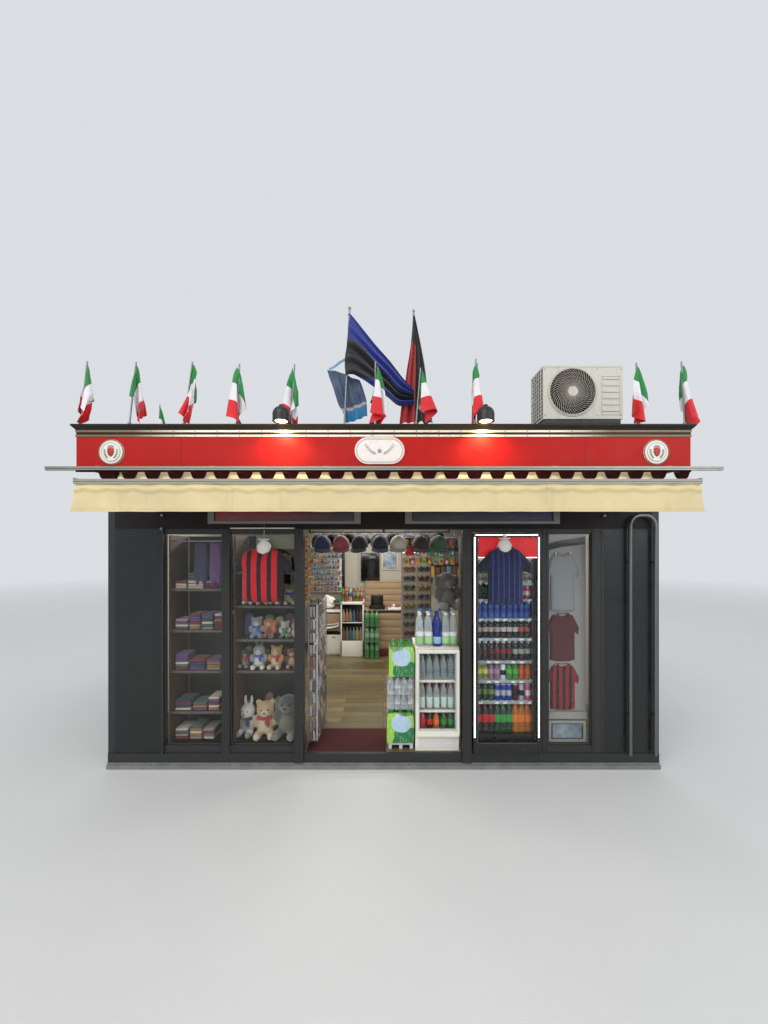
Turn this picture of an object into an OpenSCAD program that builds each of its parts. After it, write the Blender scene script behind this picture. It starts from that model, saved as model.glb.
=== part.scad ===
// Street kiosk: a steel-framed sales hut with a glazed front, an illuminated
// fascia box, a fold-out awning, a roof-top cooling unit and flag poles.
// Millimetres, +Z up, front face towards -Y. The origin is on the ground,
// at the centre of the hut's footprint.

/* [Body] */
// Width of the hut over its side walls
body_w = 5080; // [5000:10:5160]
// Depth of the hut from front face to rear face
body_d = 4000; // [3900:20:4200]
// Thickness of the sandwich-panel walls
wall_t = 60; // [50:5:70]
// Height of the underside of the fascia above the ground
soffit_z = 2738; // [2720:2:2760]
// Height of the finished floor above the ground
floor_z = 135; // [130:5:140]
// Height of the underside of the header over the doorway
header_z = 2204; // [2190:2:2220]

/* [Fascia] */
// Overhang of the fascia past the walls on every side
over = 165; // [160:5:175]
// Height of the red fascia panel
panel_h = 269; // [260:1:275]
// Overhang of the cornice past the fascia
cornice_out = 32; // [24:2:40]

/* [Awning] */
// Distance of the awning's front bar from the shopfront
awn_out = 600; // [560:10:640]
// Height of the centre of the front bar
awn_z = 2535; // [2520:5:2545]
// Drop of the cream valance below the front bar
awn_drop = 232; // [200:4:240]
// Left end of the front bar
awn_l = -2368; // [-2400:2:-2300]
// Right end of the front bar
awn_r = 2434; // [2380:2:2450]

/* [Cooling unit] */
// Width of the casing
ac_w = 825; // [800:5:840]
// Height of the casing
ac_h = 553; // [540:1:570]
// Depth of the casing
ac_d = 300; // [290:5:320]
// Height of the casing's underside above the ground
ac_z = 3360; // [3340:5:3380]

/* [Coolers] */
// Height of the tall cooler's door
door_top = 2165; // [2140:5:2180]
// Thickness of the tall cooler's door leaf
leaf_t = 50; // [40:2:54]

/* [Hidden] */
$fn = 48;
HW = body_w/2;             // half width
F = -body_d/2;             // front face
B = body_d/2;              // rear face
IX = HW - wall_t;          // inner face of the side walls
IY = F + wall_t;           // inner face of the front wall
FX = HW + over;            // fascia half width
FF = F - over;             // fascia front face
FB = B + over;             // fascia rear face
pz1 = soffit_z + panel_h;  // top of the red panel
tz1 = pz1 + 17;            // top of the lower trim line
tz2 = tz1 + 22;            // foot of the upper trim line
tz3 = tz2 + 18;            // top of the upper trim line
cz = tz3 + 48;             // top of the cornice
deck_z = cz - 20;          // top of the roof deck
base_z = floor_z - 25;     // top of the base slab
// shopfront members, from left to right: [x1, x2]
members = [[-2044,-2026],[-1491,-1417],[-817,-734],[725,808],[1454,1527],[1924,2035]];
// glazed bays
bays = [[-2026,-1491],[-1417,-817],[1527,1924]];
ac_x = 1642;
ac_y = F + 420;
fan_x = ac_x + 305.6;
fan_z = ac_z + 282;
fan_r = 224;
// small flags: [pole x, pole y, top z, lean in degrees, cloth to the left, cloth to the right,
// middle of the cloth before (-) or behind (+) the pole]
fy = FF+15;
small = [[-2680,fy,3677,6.1,75,110,-33],[-2247,fy,3673,6.1,50,120,-33],[-1762,fy,3675,7.4,60,90,-33],
         [-1294,fy,3655,2.2,110,60,-33],[-816,fy,3651,3.2,140,60,33],[-75,fy-30,3662,0.5,62,150,-38],
         [287,fy,3621,4.7,20,190,-33],[809,fy,3700,0.7,35,100,33],[2256,fy,3664,-2,75,105,-33],
         [2665,fy,3677,-3,25,150,-33],[-2570,-1120,3680,0,60,60,-33]];
// tall flag poles: [pole x, pole y, top z, lean in degrees]
tall = [[-394,-1750,4389,2.64],[312,-1700,4412,-0.5]];

// box from one corner to the other
module bx(a, b) translate(a) cube(b - a);
// outline in Y and Z drawn along X
module along_x(x1, x2) translate([x1,0,0]) rotate([90,0,90]) linear_extrude(x2 - x1) children();
// outline in X and Z drawn along Y
module along_y(y1, y2) translate([0,y2,0]) rotate([90,0,0]) linear_extrude(y2 - y1) children();
// rectangle with round corners from corner to corner
module rr(a, b, r) {
  translate([a[0]+r, a[1]]) square([b[0]-a[0]-2*r, b[1]-a[1]]);
  translate([a[0], a[1]+r]) square([b[0]-a[0], b[1]-a[1]-2*r]);
  for (x = [a[0]+r, b[0]-r], z = [a[1]+r, b[1]-r]) translate([x,z]) circle(r);
}
module base_slab() color("dimgray") bx([-HW,F+20,0],[HW,B,base_z]);
module floor_boards() color("burlywood") bx([-IX,F+20,base_z],[IX,B-wall_t,floor_z]);
module threshold_strip() color("silver") {
  bx([-HW,F-30,0],[HW,F+20,38]);
  bx([-HW,F-18,38],[HW,F+20,55]);
}
module sill_front() color("darkslategray") {
  bx([-HW,F-8,55],[HW,F+20,floor_z]);
}
module side_wall(s) {
  along_x(s > 0 ? IX : -HW, s > 0 ? HW : -IX)
    polygon([[F,floor_z],[F+20,floor_z],[F+20,base_z],[B,base_z],[B,soffit_z],[F,soffit_z]]);
}
module left_wall() color("dimgray") side_wall(-1);
module right_wall() color("dimgray") side_wall(1);
module rear_wall() color("dimgray") bx([-IX,B-wall_t,base_z],[IX,B,soffit_z]);
module front_panel_left() color("dimgray") {
  bx([-IX,F,floor_z],[-2044,IY,header_z]);
}
module front_panel_right() color("dimgray") bx([2035,F,floor_z],[IX,IY,header_z]);
module shopfront_frame() color("darkslategray") {
  bx([-2044,F-14,floor_z],[-2026,IY,header_z]);
  bx([-1491,F-10,floor_z],[-1417,IY,header_z]);
  // door jambs, each a pair of deep profiles whose feet stand before the sill
  for (m = [[-817,-734],[725,808]]) {
    bx([m[0],F-30,floor_z],[m[1],IY,header_z]);
    bx([m[0],F-30,55],[m[1],F-8,floor_z]);
  }
  bx([1454,F,floor_z],[1527,IY,header_z]);
  bx([1924,F,floor_z],[2035,IY,header_z]);
}
// rails at the head and foot of each glazed bay, and over the cooler bay
module window_rails() color("darkslategray") {
  for (b = bays) {
    bx([b[0],F+4,floor_z],[b[1],IY,floor_z+70]);
    bx([b[0],F+4,header_z-40],[b[1],IY,header_z]);
  }
  bx([808,F+4,door_top+7],[1454,IY,header_z]);
}
module window_glass() color("lightblue",0.4) for (b = bays)
  bx([b[0],F+26,floor_z+70],[b[1],F+34,header_z-40]);
module front_header() color("saddlebrown") bx([-IX,F,header_z],[IX,IY,soffit_z]);
module header_signs() color("gray") for (s = [[-1605,-208],[198,1611]]) {
  difference() {
    bx([s[0],F-40,2250],[s[1],F,2640]);
    bx([s[0]+58,F-41,2272],[s[1]-58,F-22,2618]);
  }
}
module soffit() color("dimgray") bx([-FX+30,FF+30,soffit_z],[FX-30,FB-30,soffit_z+18]);
module ceiling() color("whitesmoke") bx([-IX,IY,2600],[IX,B-wall_t,2620]);
module roof_deck() color("slategray") {
  bx([-FX+30,FF+30,deck_z-40],[FX-30,FB-30,deck_z]);
}
module fascia_front() color("firebrick") bx([-FX,FF,soffit_z],[FX,FF+30,tz3]);
module fascia_sides() color("firebrick") for (s = [-1,1])
  bx([s > 0 ? FX-30 : -FX, FF+30, soffit_z],[s > 0 ? FX : -FX+30, FB-30, tz3]);
module fascia_rear() color("firebrick") bx([-FX,FB-30,soffit_z],[FX,FB,tz3]);
// cornice: an outline swept round the roof by crossing its four sides
module cornice() color("darkslategray") {
    for (s = [0,1]) mirror([0,s,0]) intersection() {
      translate([0,FF+30-s*(FF+FB),tz3]) cornice_block(FX+cornice_out);
      mitre(FX+cornice_out, -FF+cornice_out);
    }
    for (s = [0,1]) mirror([s,0,0]) intersection() {
      translate([-FX+30,0,tz3]) rotate([0,0,-90]) cornice_block(-FF+cornice_out);
      mitre_side(FX+cornice_out, -FF+cornice_out);
    }
}
module cornice_block(l) along_x(-l, l)
  polygon([[0,0],[0,cz-tz3],[-30-cornice_out,cz-tz3],[-30-cornice_out,cz-tz3-12],[-34,3],[-34,0]]);
// wedge of plan in front of the 45 degree mitre lines
module mitre(x, y) translate([0,0,tz3-5]) linear_extrude(cz-tz3+10)
  polygon([[-x,-y],[x,-y],[x-70,-y+70],[-x+70,-y+70]]);
module mitre_side(x, y) translate([0,0,tz3-5]) linear_extrude(cz-tz3+10)
  polygon([[-x,-y],[-x+70,-y+70],[-x+70,y-70],[-x,y]]);
module trim_strips() color("ivory") {
  for (z = [[pz1,tz1],[tz2,tz3]]) difference() {
    bx([-FX-6,FF-6,z[0]],[FX+6,FB+6,z[1]]);
    bx([-FX,FF,z[0]-1],[FX,FB,z[1]+1]);
  }
}
module sign_oval() color("white") translate([-34,FF,2883]) rotate([90,0,0])
  linear_extrude(12) { translate([-100,-117]) square([200,234]); for (s=[-1,1]) translate([s*100,0]) circle(117,$fn=96); }
module sign_badges() color("white") for (x = [-2394,2400]) translate([x,FF,2872])
  rotate([90,0,0]) { cylinder(h=8,r=112,$fn=64); translate([0,0,8]) cylinder(h=4,r=84,$fn=64); }
module awning_rail() color("silver") {
  bx([-2935,FF-58,2703],[2945,FF-24,2735]);
  // clips that hold the rail to the fascia
  for (x = [-2500,-1500,-500,500,1500,2500]) bx([x-25,FF-24,2706],[x+25,FF,2745]);
}
module scalloped_valance() color("maroon") {
  bx([-2677,FF-46,2626],[2677,FF-42,2703]);
}
module awning_roller() color("silver") {
  translate([awn_l+24,F-78,2692]) rotate([0,90,0]) cylinder(h=awn_r-awn_l-48,r=36);
  for (x = [awn_l,awn_r-20]) bx([x,F-110,2650],[x+20,F,soffit_z]);
}
module bar_between(a, b, w, h) {
  d = b - a; l = norm([d[0],d[1]]);
  translate(a) rotate([0,0,atan2(d[1],d[0])]) rotate([0,-atan2(d[2],l),0])
    translate([0,-w/2,-h/2]) cube([norm(d),w,h]);
}
module awning_arms() color("gray") for (s = [0,1]) mirror([s,0,0]) {
  bx([-2440,F-120,2560],[-2280,F,2640]);
  translate([-2300,F-90,2530]) cylinder(h=92,r=34);
  bar_between([-2300,F-90,2572],[-1250,F-300,2554],34,40);
  translate([-1250,F-300,2520]) cylinder(h=56,r=32);
  bar_between([-1250,F-300,2546],[-2140,F-awn_out+46,2520],28,34);
}
module awning_canopy() color("wheat") along_x(awn_l+34,awn_r-34)
  polygon([[F-116,2724],[F-205,2620],[F-380,2581],[F-awn_out+33,2557],
           [F-awn_out+33,2550],[F-380,2574],[F-208,2612],[F-122,2713]]);
module awning_front_bar() color("gainsboro") {
  bx([awn_l,F-awn_out-20,awn_z-17],[awn_r,F-awn_out+18,awn_z+15]);
  bx([awn_l+6,F-awn_out+18,awn_z-12],[awn_r-6,F-awn_out+32,awn_z+26]);
}
module awning_valance() color("wheat") {
  bx([awn_l-6,F-awn_out-12,awn_z-17-awn_drop+17],[awn_r+6,F-awn_out-2,awn_z-17]);
}
// dome lamps that overhang the cornice and shine down on the fascia
module sign_lamps() color("black") for (x = [-884,884]) {
  translate([x,FF-62,cz+8]) difference() {
    union() { cylinder(h=60,r=74); translate([0,0,60]) scale(1) intersection() { sphere(74); cylinder(h=80,r=80); } }
    translate([0,0,-1]) cylinder(h=40,r=66);
  }
  bx([x-12,FF-10,cz],[x+12,FF+90,cz+24]);
}
module ac_casing() color("linen") difference() {
  bx([ac_x,ac_y,ac_z],[ac_x+ac_w,ac_y+ac_d,ac_z+ac_h]);
  bx([ac_x+12,ac_y+12,ac_z+12],[ac_x+600,ac_y+ac_d+1,ac_z+ac_h-12]);
  translate([fan_x,ac_y+20,fan_z]) rotate([90,0,0]) cylinder(h=40,r=fan_r+18,$fn=96);
}
module ac_motor() color("dimgray") {
  translate([fan_x,ac_y+210,fan_z]) rotate([90,0,0]) cylinder(h=68,r=40);
  bx([fan_x-16,ac_y+170,ac_z+12],[fan_x+16,ac_y+186,ac_z+ac_h-12]);
}
module ac_coil() color("dimgray") {
  bx([ac_x+14,ac_y+ac_d-42,ac_z+14],[ac_x+598,ac_y+ac_d-4,ac_z+ac_h-14]);
}
module ac_grille() color("gray") translate([fan_x,ac_y-14,fan_z]) rotate([-90,0,0]) {
  for (r = [242,200,160,120,80]) difference() {
    cylinder(h=8,r=r,$fn=72); translate([0,0,-1]) cylinder(h=10,r=r-8,$fn=72);
  }
  cylinder(h=10,r=52,$fn=48);
  for (a = [0:30:330]) rotate([0,0,a]) translate([40,-3,0]) cube([200,6,8]);
  difference() { cylinder(h=14,r=242,$fn=72); translate([0,0,-1]) cylinder(h=16,r=232,$fn=72); }
}
module ac_fan() color("black") translate([fan_x,ac_y+60,fan_z]) rotate([-90,0,0]) {
  cylinder(h=70,r=62);
  for (a = [0,120,240]) rotate([0,0,a]) intersection() {
    translate([0,-70,35]) rotate([24,0,0]) translate([50,-10,-3]) cube([190,160,6]);
    cylinder(h=110,r=fan_r-6,$fn=72);
  }
}
module ac_stand() color("gray") {
  bx([ac_x+16,ac_y-14,ac_z-50],[ac_x+ac_w-30,ac_y+ac_d+10,ac_z-12]);
  for (x = [ac_x+90,ac_x+ac_w-170]) bx([x,ac_y+4,ac_z-12],[x+60,ac_y+ac_d-4,ac_z]);
  for (x = [ac_x+60,ac_x+ac_w-120], y = [ac_y+10,ac_y+ac_d-60]) bx([x,y,deck_z],[x+50,y+50,ac_z-50]);
}
module pole(p, r, z) translate([p[0],p[1],z+3]) rotate([0,p[3],0]) cylinder(h=(p[2]-z-3)/cos(p[3]),r=r,$fn=24);
module flag_poles() color("silver") {
  // the small poles stand in sockets on the cornice, one stands back on the roof
  for (p = small) {
    z = p[1] < -2000 ? cz : deck_z;
    pole(p,7,z);
    translate([p[0],p[1],z]) cylinder(h=26,r=14);
  }
  for (p = tall) { pole(p,9,deck_z); translate([p[0],p[1],deck_z]) cylinder(h=60,r=32); }
}
// limp flag hanging beside its pole: a narrow tip at the top that widens downwards
module limp(p) {
  z = p[1] < -2000 ? cz : deck_z;
  t = tan(p[3]);
  y = p[1] + p[6];
  // only the flag that hangs before the cornice reaches below its top
  zm = p[2]-320; zb = y < FF-cornice_out-15 ? p[2]-585 : max(p[2]-535, z+8);
  xt = p[0]+(p[2]-z)*t; xm = p[0]+(zm-z)*t; xb = p[0]+(zb-z)*t;
  along_y(y-15,y+15) polygon([[xt-9,p[2]-12],[xt+9,p[2]-12],[xm+p[5]*0.8,zm],[xb+p[5],zb+90],
    [xb+12,zb],[xb-p[4],zb+60],[xm-p[4]*0.8,zm]]);
}
module small_flags() color("seagreen") for (p = small) limp(p);
module tall_flags() color("midnightblue") {
  // the large flag that the wind carries to the right from its pole
  along_y(-1845,-1765) polygon([[-326,4334],[-178,4142],[-73,4010],[33,3897],[198,3686],[296,3582],
    [303,3442],[242,3410],[155,3434],[33,3522],[-116,3627],[-212,3686],[-299,3731],[-370,3739],[-388,3844],[-340,4220]]);
  // the flag that hangs limp from the second pole
  along_y(-1763,-1713) polygon([[292,4327],[309,4327],[345,4188],[394,3954],[436,3643],[478,3485],
    [490,3267],[156,3267],[163,3426],[218,3693],[275,4105]]);
  // the flag tied low behind the first pole
  along_y(-1735,-1690) polygon([[-563,3808],[-493,3850],[-394,3940],[-375,3900],[-420,3800],[-234,3700],
    [-198,3612],[-171,3496],[-166,3346],[-377,3276],[-448,3460],[-510,3657]]);
}
module tube_guard() color("silver") {
  t = 16; y = F - 40; r = 110;
  for (x = [2238+t, 2500-t]) translate([x,y,floor_z]) cylinder(h=2342-r-floor_z,r=t,$fn=24);
  for (s = [0,1]) translate([s ? 2500-r : 2238+r, y, 2342-r]) rotate([90,0,0])
    rotate([0,0,s ? 0 : 90]) rotate_extrude(angle=90,$fn=72) translate([r-t,0]) circle(t,$fn=24);
  translate([2238+r,y,2342-t]) rotate([0,90,0]) cylinder(h=2500-2238-2*r,r=t,$fn=24);
  for (z = [500,1900], x = [2238+t,2500-t]) translate([x,F,z]) rotate([90,0,0]) cylinder(h=40,r=8,$fn=16);
}
cx1 = 818; cx2 = 1444; cy = F + 18;
module tall_cooler_cabinet() color("black") difference() {
  bx([cx1,cy,floor_z],[cx2,cy+650,door_top]);
  bx([cx1+40,cy-1,floor_z+160],[cx2-40,cy+600,door_top-45]);
}
module tall_cooler_shelves() color("gainsboro") for (z = [589,783,967,1180,1365,1547,1722])
  bx([cx1+44,cy+30,z-14],[cx2-44,cy+560,z]);
module tall_cooler_door() color("black") {
  y1 = F - 8 - leaf_t + 10;
  difference() {
    along_y(y1, F-8+10-2) rr([cx1+2,floor_z+14],[cx2-2,door_top],34);
    bx([cx1+44,y1-1,floor_z+120],[cx2-44,F+20,door_top-36]);
  }
  // pull handle
  translate([cx1+24,y1-26,900]) cylinder(h=420,r=8,$fn=20);
  for (z = [920,1300]) translate([cx1+24,y1,z]) rotate([90,0,0]) cylinder(h=26,r=6,$fn=16);
  // hinge pins at the top and foot of the leaf
  for (z = [floor_z+7,door_top-6]) translate([cx2-10,F-36,z]) cylinder(h=12,r=5);
}
module tall_cooler_glass() color("lightblue",0.3)
  bx([cx1+44,F-30,floor_z+120],[cx2-44,F-20,door_top-36]);
lx1 = 298; lx2 = 706; ly = F + 46;
module low_cooler_cabinet() color("white") difference() {
  bx([lx1,ly,floor_z],[lx2,ly+430,1091]);
  bx([lx1+30,ly-1,floor_z+165],[lx2-30,ly+400,1061]);
}
module low_cooler_shelves() color("gainsboro") for (z = [500,780])
  bx([lx1+34,ly+20,z-8],[lx2-34,ly+380,z]);
module low_cooler_door() color("white") {
  y1 = ly - 42;
  difference() {
    along_y(y1, ly-8) rr([lx1+3,floor_z+150],[lx2-3,1086],10);
    bx([lx1+34,y1-1,floor_z+210],[lx2-34,ly,1052]);
  }
  for (z = [floor_z+143,1080]) translate([lx2-11,F+18,z]) cylinder(h=12,r=5);
}
module low_cooler_glass() color("lightblue",0.3)
  bx([lx1+34,ly-30,floor_z+210],[lx2-34,ly-22,1052]);
module counter() color("burlywood") {
  bx([-340,1290,floor_z],[340,1700,914]);
  bx([-340,1700,floor_z],[340,1900,1400]);
  bx([-352,1278,914],[352,1712,944]);
}
module back_cabinets() color("whitesmoke") {
  bx([-1254,1400,floor_z],[-770,1900,914]);
  bx([-760,1290,floor_z],[-353,1760,1090]);
}
module window_shelves() color("saddlebrown") {
  for (z = [865,1161,1480,1800]) bx([-1396,F+90,z-18],[-826,F+420,z]);
  for (z = [480,865,1250,1640]) bx([-2010,F+90,z-18],[-1505,F+420,z]);
}
module shelf_sides() color("saddlebrown")
  for (x = [-2024,-1505,-1410,-826]) bx([x,F+80,floor_z],[x+14,F+430,2150]);
module display_board() color("lightgray") {
  bx([1540,F+90,490],[1912,F+108,2150]);
  bx([1540,F+70,420],[1912,F+110,486]);
  difference() { bx([1552,F+60,floor_z+75],[1900,F+82,405]); bx([1574,F+59,floor_z+97],[1878,F+70,383]); }
}
module wire_rack() color("silver") {
  for (y = [F+120,F+690], x = [-722,-640]) bx([x,y,y < F+500 ? floor_z+9 : floor_z],[x+12,y+12,1485]);
  for (z = [floor_z+60:190:1485-60]) {
    bx([-722,F+132,z],[-710,F+690,z+8]);
    bx([-640,F+132,z+40],[-628,F+690,z+48]);
    for (y = [F+120,F+690]) bx([-710,y+2,z],[-640,y+10,z+8]);
  }
}
module glasses_stand() color("tan") {
  translate([385,-1000,floor_z]) cylinder(h=30,r=190);
  translate([385,-1000,floor_z+30]) cylinder(h=1880,r=16,$fn=24);
  bx([220,-1012,830],[550,-988,1975]);
}
module drink_packs() color("palegreen") {
  bx([45,F+70,floor_z],[280,F+320,floor_z+60]);
  for (z = [0:2]) bx([35,F+60,floor_z+60+z*310],[288,F+330,floor_z+60+z*310+306]);
}
module door_mat() color("brown") bx([-720,F+24,floor_z],[28,F+490,floor_z+9]);

base_slab();
floor_boards();
threshold_strip();
sill_front();
left_wall();
right_wall();
rear_wall();
front_panel_left();
front_panel_right();
shopfront_frame();
window_rails();
window_glass();
front_header();
header_signs();
soffit();
ceiling();
roof_deck();
fascia_front();
fascia_sides();
fascia_rear();
cornice();
trim_strips();
sign_oval();
sign_badges();
awning_rail();
scalloped_valance();
awning_roller();
awning_arms();
awning_canopy();
awning_front_bar();
awning_valance();
sign_lamps();
ac_casing();
ac_motor();
ac_coil();
ac_grille();
ac_fan();
ac_stand();
flag_poles();
small_flags();
tall_flags();
tube_guard();
tall_cooler_cabinet();
tall_cooler_shelves();
tall_cooler_door();
tall_cooler_glass();
low_cooler_cabinet();
low_cooler_shelves();
low_cooler_door();
low_cooler_glass();
counter();
back_cabinets();
window_shelves();
shelf_sides();
display_board();
wire_rack();
glasses_stand();
drink_packs();
door_mat();
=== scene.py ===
import bpy, bmesh, math, random
import numpy as np
from mathutils import Vector, Matrix, noise
from mathutils.geometry import delaunay_2d_cdt


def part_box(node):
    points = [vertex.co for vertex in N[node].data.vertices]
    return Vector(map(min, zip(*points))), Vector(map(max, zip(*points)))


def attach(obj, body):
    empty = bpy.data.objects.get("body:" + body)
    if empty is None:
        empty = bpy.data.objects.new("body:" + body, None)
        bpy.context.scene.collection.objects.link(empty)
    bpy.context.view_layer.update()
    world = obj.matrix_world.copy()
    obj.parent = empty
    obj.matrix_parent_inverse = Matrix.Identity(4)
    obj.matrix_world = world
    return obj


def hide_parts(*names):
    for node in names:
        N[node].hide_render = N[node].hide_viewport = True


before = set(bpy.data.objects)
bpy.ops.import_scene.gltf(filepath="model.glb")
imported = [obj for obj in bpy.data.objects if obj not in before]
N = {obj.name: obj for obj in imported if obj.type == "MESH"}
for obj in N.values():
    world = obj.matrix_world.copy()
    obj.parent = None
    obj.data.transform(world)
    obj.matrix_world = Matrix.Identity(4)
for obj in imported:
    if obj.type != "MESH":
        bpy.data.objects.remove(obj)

scene = bpy.context.scene
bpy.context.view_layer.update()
rnd = random.Random(7)

# ------------------------------------------------------------------ camera, light, stage
cam_data = bpy.data.cameras.new("camera")
cam = bpy.data.objects.new("camera", cam_data)
scene.collection.objects.link(cam)
cam.location = (0.0046, -5.6, 2.01)
cam.rotation_euler = (math.radians(90), 0, 0)
cam_data.sensor_width = 36
cam_data.lens = 13.71
cam_data.shift_y = 38 / 1024
cam_data.clip_end = 200
scene.camera = cam
scene.view_settings.view_transform = "Standard"
scene.view_settings.look = "None"
scene.view_settings.exposure = 0.0


def at(x, y, Y):
    """The point in metres that shows at pixel (x, y) of the 768 x 1024 frame, on the plane at depth Y."""
    k = (Y + 5.6) / 390
    return ((x - 383.5) * k, Y, 2.01 + (550 - y) * k)


def lin(r, g, b):
    return tuple(c / 255 / 12.92 if c <= 10 else ((c / 255 + 0.055) / 1.055) ** 2.4 for c in (r, g, b)) + (1.0,)


world = bpy.data.worlds.new("studio")
scene.world = world
world.use_nodes = True
world.node_tree.nodes["Background"].inputs["Color"].default_value = (0.83, 0.86, 0.90, 1)
world.node_tree.nodes["Background"].inputs["Strength"].default_value = 0.85


def area(name, loc, target, size, power, color=(1, 1, 1), size_y=None, cam_vis=False):
    d = bpy.data.lights.new(name, "AREA")
    d.energy = power
    d.color = color
    d.size = size
    if size_y:
        d.shape = "RECTANGLE"
        d.size_y = size_y
    o = bpy.data.objects.new(name, d)
    scene.collection.objects.link(o)
    o.location = loc
    o.rotation_euler = (Vector(target) - Vector(loc)).to_track_quat("-Z", "Y").to_euler()
    o.visible_camera = cam_vis
    return o


area("key", (-3.5, -9.0, 8.5), (0, -1.5, 1.8), 7.0, 500, (1, 0.985, 0.96))
area("fill", (6.0, -7.5, 5.0), (0.5, -1.0, 1.5), 6.0, 170, (0.93, 0.96, 1.0))
area("back", (1.5, 8.0, 7.0), (0, 1.0, 2.0), 6.0, 260, (0.95, 0.97, 1.0))
# strip lights under the ceiling, the cooler bay and the two lamps over the fascia
area("room_a", (-1.2, -0.7, 2.55), (-1.2, -0.7, 0), 1.4, 34, (1, 0.96, 0.9), 0.3)
area("room_b", (1.1, -0.6, 2.55), (1.1, -0.6, 0), 1.4, 28, (1, 0.96, 0.9), 0.3)
area("room_c", (-0.1, 0.9, 2.55), (-0.1, 0.9, 0), 1.6, 34, (1, 0.96, 0.9), 0.3)
area("room_d", (-0.05, -1.5, 2.50), (-0.05, -1.2, 0), 1.0, 16, (1, 0.97, 0.92), 0.2)
for s, e in ((-1, 15), (1, 15)):
    d = bpy.data.lights.new("lamp_light", "SPOT")
    d.energy = e * 4
    d.color = (1, 0.64, 0.30)
    d.spot_size = math.radians(150)
    d.spot_blend = 0.8
    d.shadow_soft_size = 0.05
    o = bpy.data.objects.new("lamp_light", d)
    scene.collection.objects.link(o)
    o.location = (s * 0.884, -2.235, 3.118)

bpy.ops.mesh.primitive_plane_add(size=380, location=(0, 0, -0.002))
floor = bpy.context.object
floor.name = "stage_floor"


# ------------------------------------------------------------------ materials
class Mat:
    def __init__(self, name, rough=0.5, metal=0.0, **sockets):
        self.m = bpy.data.materials.new(name)
        self.m.use_nodes = True
        nt = self.nt = self.m.node_tree
        nt.nodes.clear()
        self.out = nt.nodes.new("ShaderNodeOutputMaterial")
        self.p = nt.nodes.new("ShaderNodeBsdfPrincipled")
        nt.links.new(self.p.outputs[0], self.out.inputs[0])
        self.p.inputs["Roughness"].default_value = rough
        self.p.inputs["Metallic"].default_value = metal
        for k, v in sockets.items():
            self.p.inputs[k.replace("_", " ")].default_value = v
        self.tc = nt.nodes.new("ShaderNodeTexCoord")
        self.obj = self.tc.outputs["Object"]

    def new(self, kind, **props):
        n = self.nt.nodes.new("ShaderNode" + kind)
        for k, v in props.items():
            setattr(n, k, v)
        return n

    def put(self, socket, v):
        if hasattr(v, "links"):
            self.nt.links.new(v, socket)
        elif v is not None:
            socket.default_value = v

    def stretch(self, sx, sy, sz, vec=None):
        n = self.new("Mapping")
        self.put(n.inputs["Vector"], vec or self.obj)
        n.inputs["Scale"].default_value = (sx, sy, sz)
        return n.outputs[0]

    def noise(self, scale, detail=3.0, rough=0.55, vec=None, dist=0.0):
        n = self.new("TexNoise")
        self.put(n.inputs["Vector"], vec or self.obj)
        n.inputs["Scale"].default_value = scale
        n.inputs["Detail"].default_value = detail
        n.inputs["Roughness"].default_value = rough
        n.inputs["Distortion"].default_value = dist
        return n.outputs["Fac"]

    def wave(self, scale, direction="X", vec=None, dist=0.0, kind="BANDS", profile="SIN"):
        n = self.new("TexWave", wave_type=kind, wave_profile=profile)
        if kind == "BANDS":
            n.bands_direction = direction
        self.put(n.inputs["Vector"], vec or self.obj)
        n.inputs["Scale"].default_value = scale
        n.inputs["Distortion"].default_value = dist
        return n.outputs["Fac"]

    def voronoi(self, scale, vec=None, feature="F1"):
        n = self.new("TexVoronoi", feature=feature)
        self.put(n.inputs["Vector"], vec or self.obj)
        n.inputs["Scale"].default_value = scale
        return n

    def xyz(self, vec=None):
        n = self.new("SeparateXYZ")
        self.put(n.inputs[0], vec or self.obj)
        return n.outputs

    def math(self, op, a, b=None, clamp=False):
        n = self.new("Math", operation=op, use_clamp=clamp)
        self.put(n.inputs[0], a)
        self.put(n.inputs[1], b)
        return n.outputs[0]

    def span(self, v, a, b, c=0.0, d=1.0):
        n = self.new("MapRange")
        for i, x in enumerate((v, a, b, c, d)):
            self.put(n.inputs[i], x)
        return n.outputs[0]

    def ramp(self, v, stops, mode="LINEAR"):
        n = self.new("ValToRGB")
        n.color_ramp.interpolation = mode
        e = n.color_ramp.elements
        while len(e) < len(stops):
            e.new(0.5)
        for el, (p, c) in zip(e, stops):
            el.position = p
            el.color = c
        self.put(n.inputs[0], v)
        return n.outputs[0]

    def mix(self, f, a, b, mode="MIX"):
        n = self.new("Mix", data_type="RGBA", blend_type=mode)
        self.put(n.inputs[0], f)
        self.put(n.inputs[6], a)
        self.put(n.inputs[7], b)
        return n.outputs[2]

    def attr(self, name="tint"):
        n = self.new("Attribute", attribute_name=name)
        return n.outputs["Color"]

    def uv(self):
        return self.tc.outputs["UV"]

    def color(self, v):
        self.put(self.p.inputs["Base Color"], v)

    def rough(self, v):
        self.put(self.p.inputs["Roughness"], v)

    def bump(self, h, strength=0.3, dist=0.002, after=None):
        n = self.new("Bump")
        n.inputs["Strength"].default_value = strength
        n.inputs["Distance"].default_value = dist
        self.put(n.inputs["Height"], h)
        if after:
            self.put(n.inputs["Normal"], after)
        self.put(self.p.inputs["Normal"], n.outputs[0])
        return n.outputs[0]


def scaled(c, s):
    return tuple(min(1.0, x * s) for x in c[:3]) + (1.0,)


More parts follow.
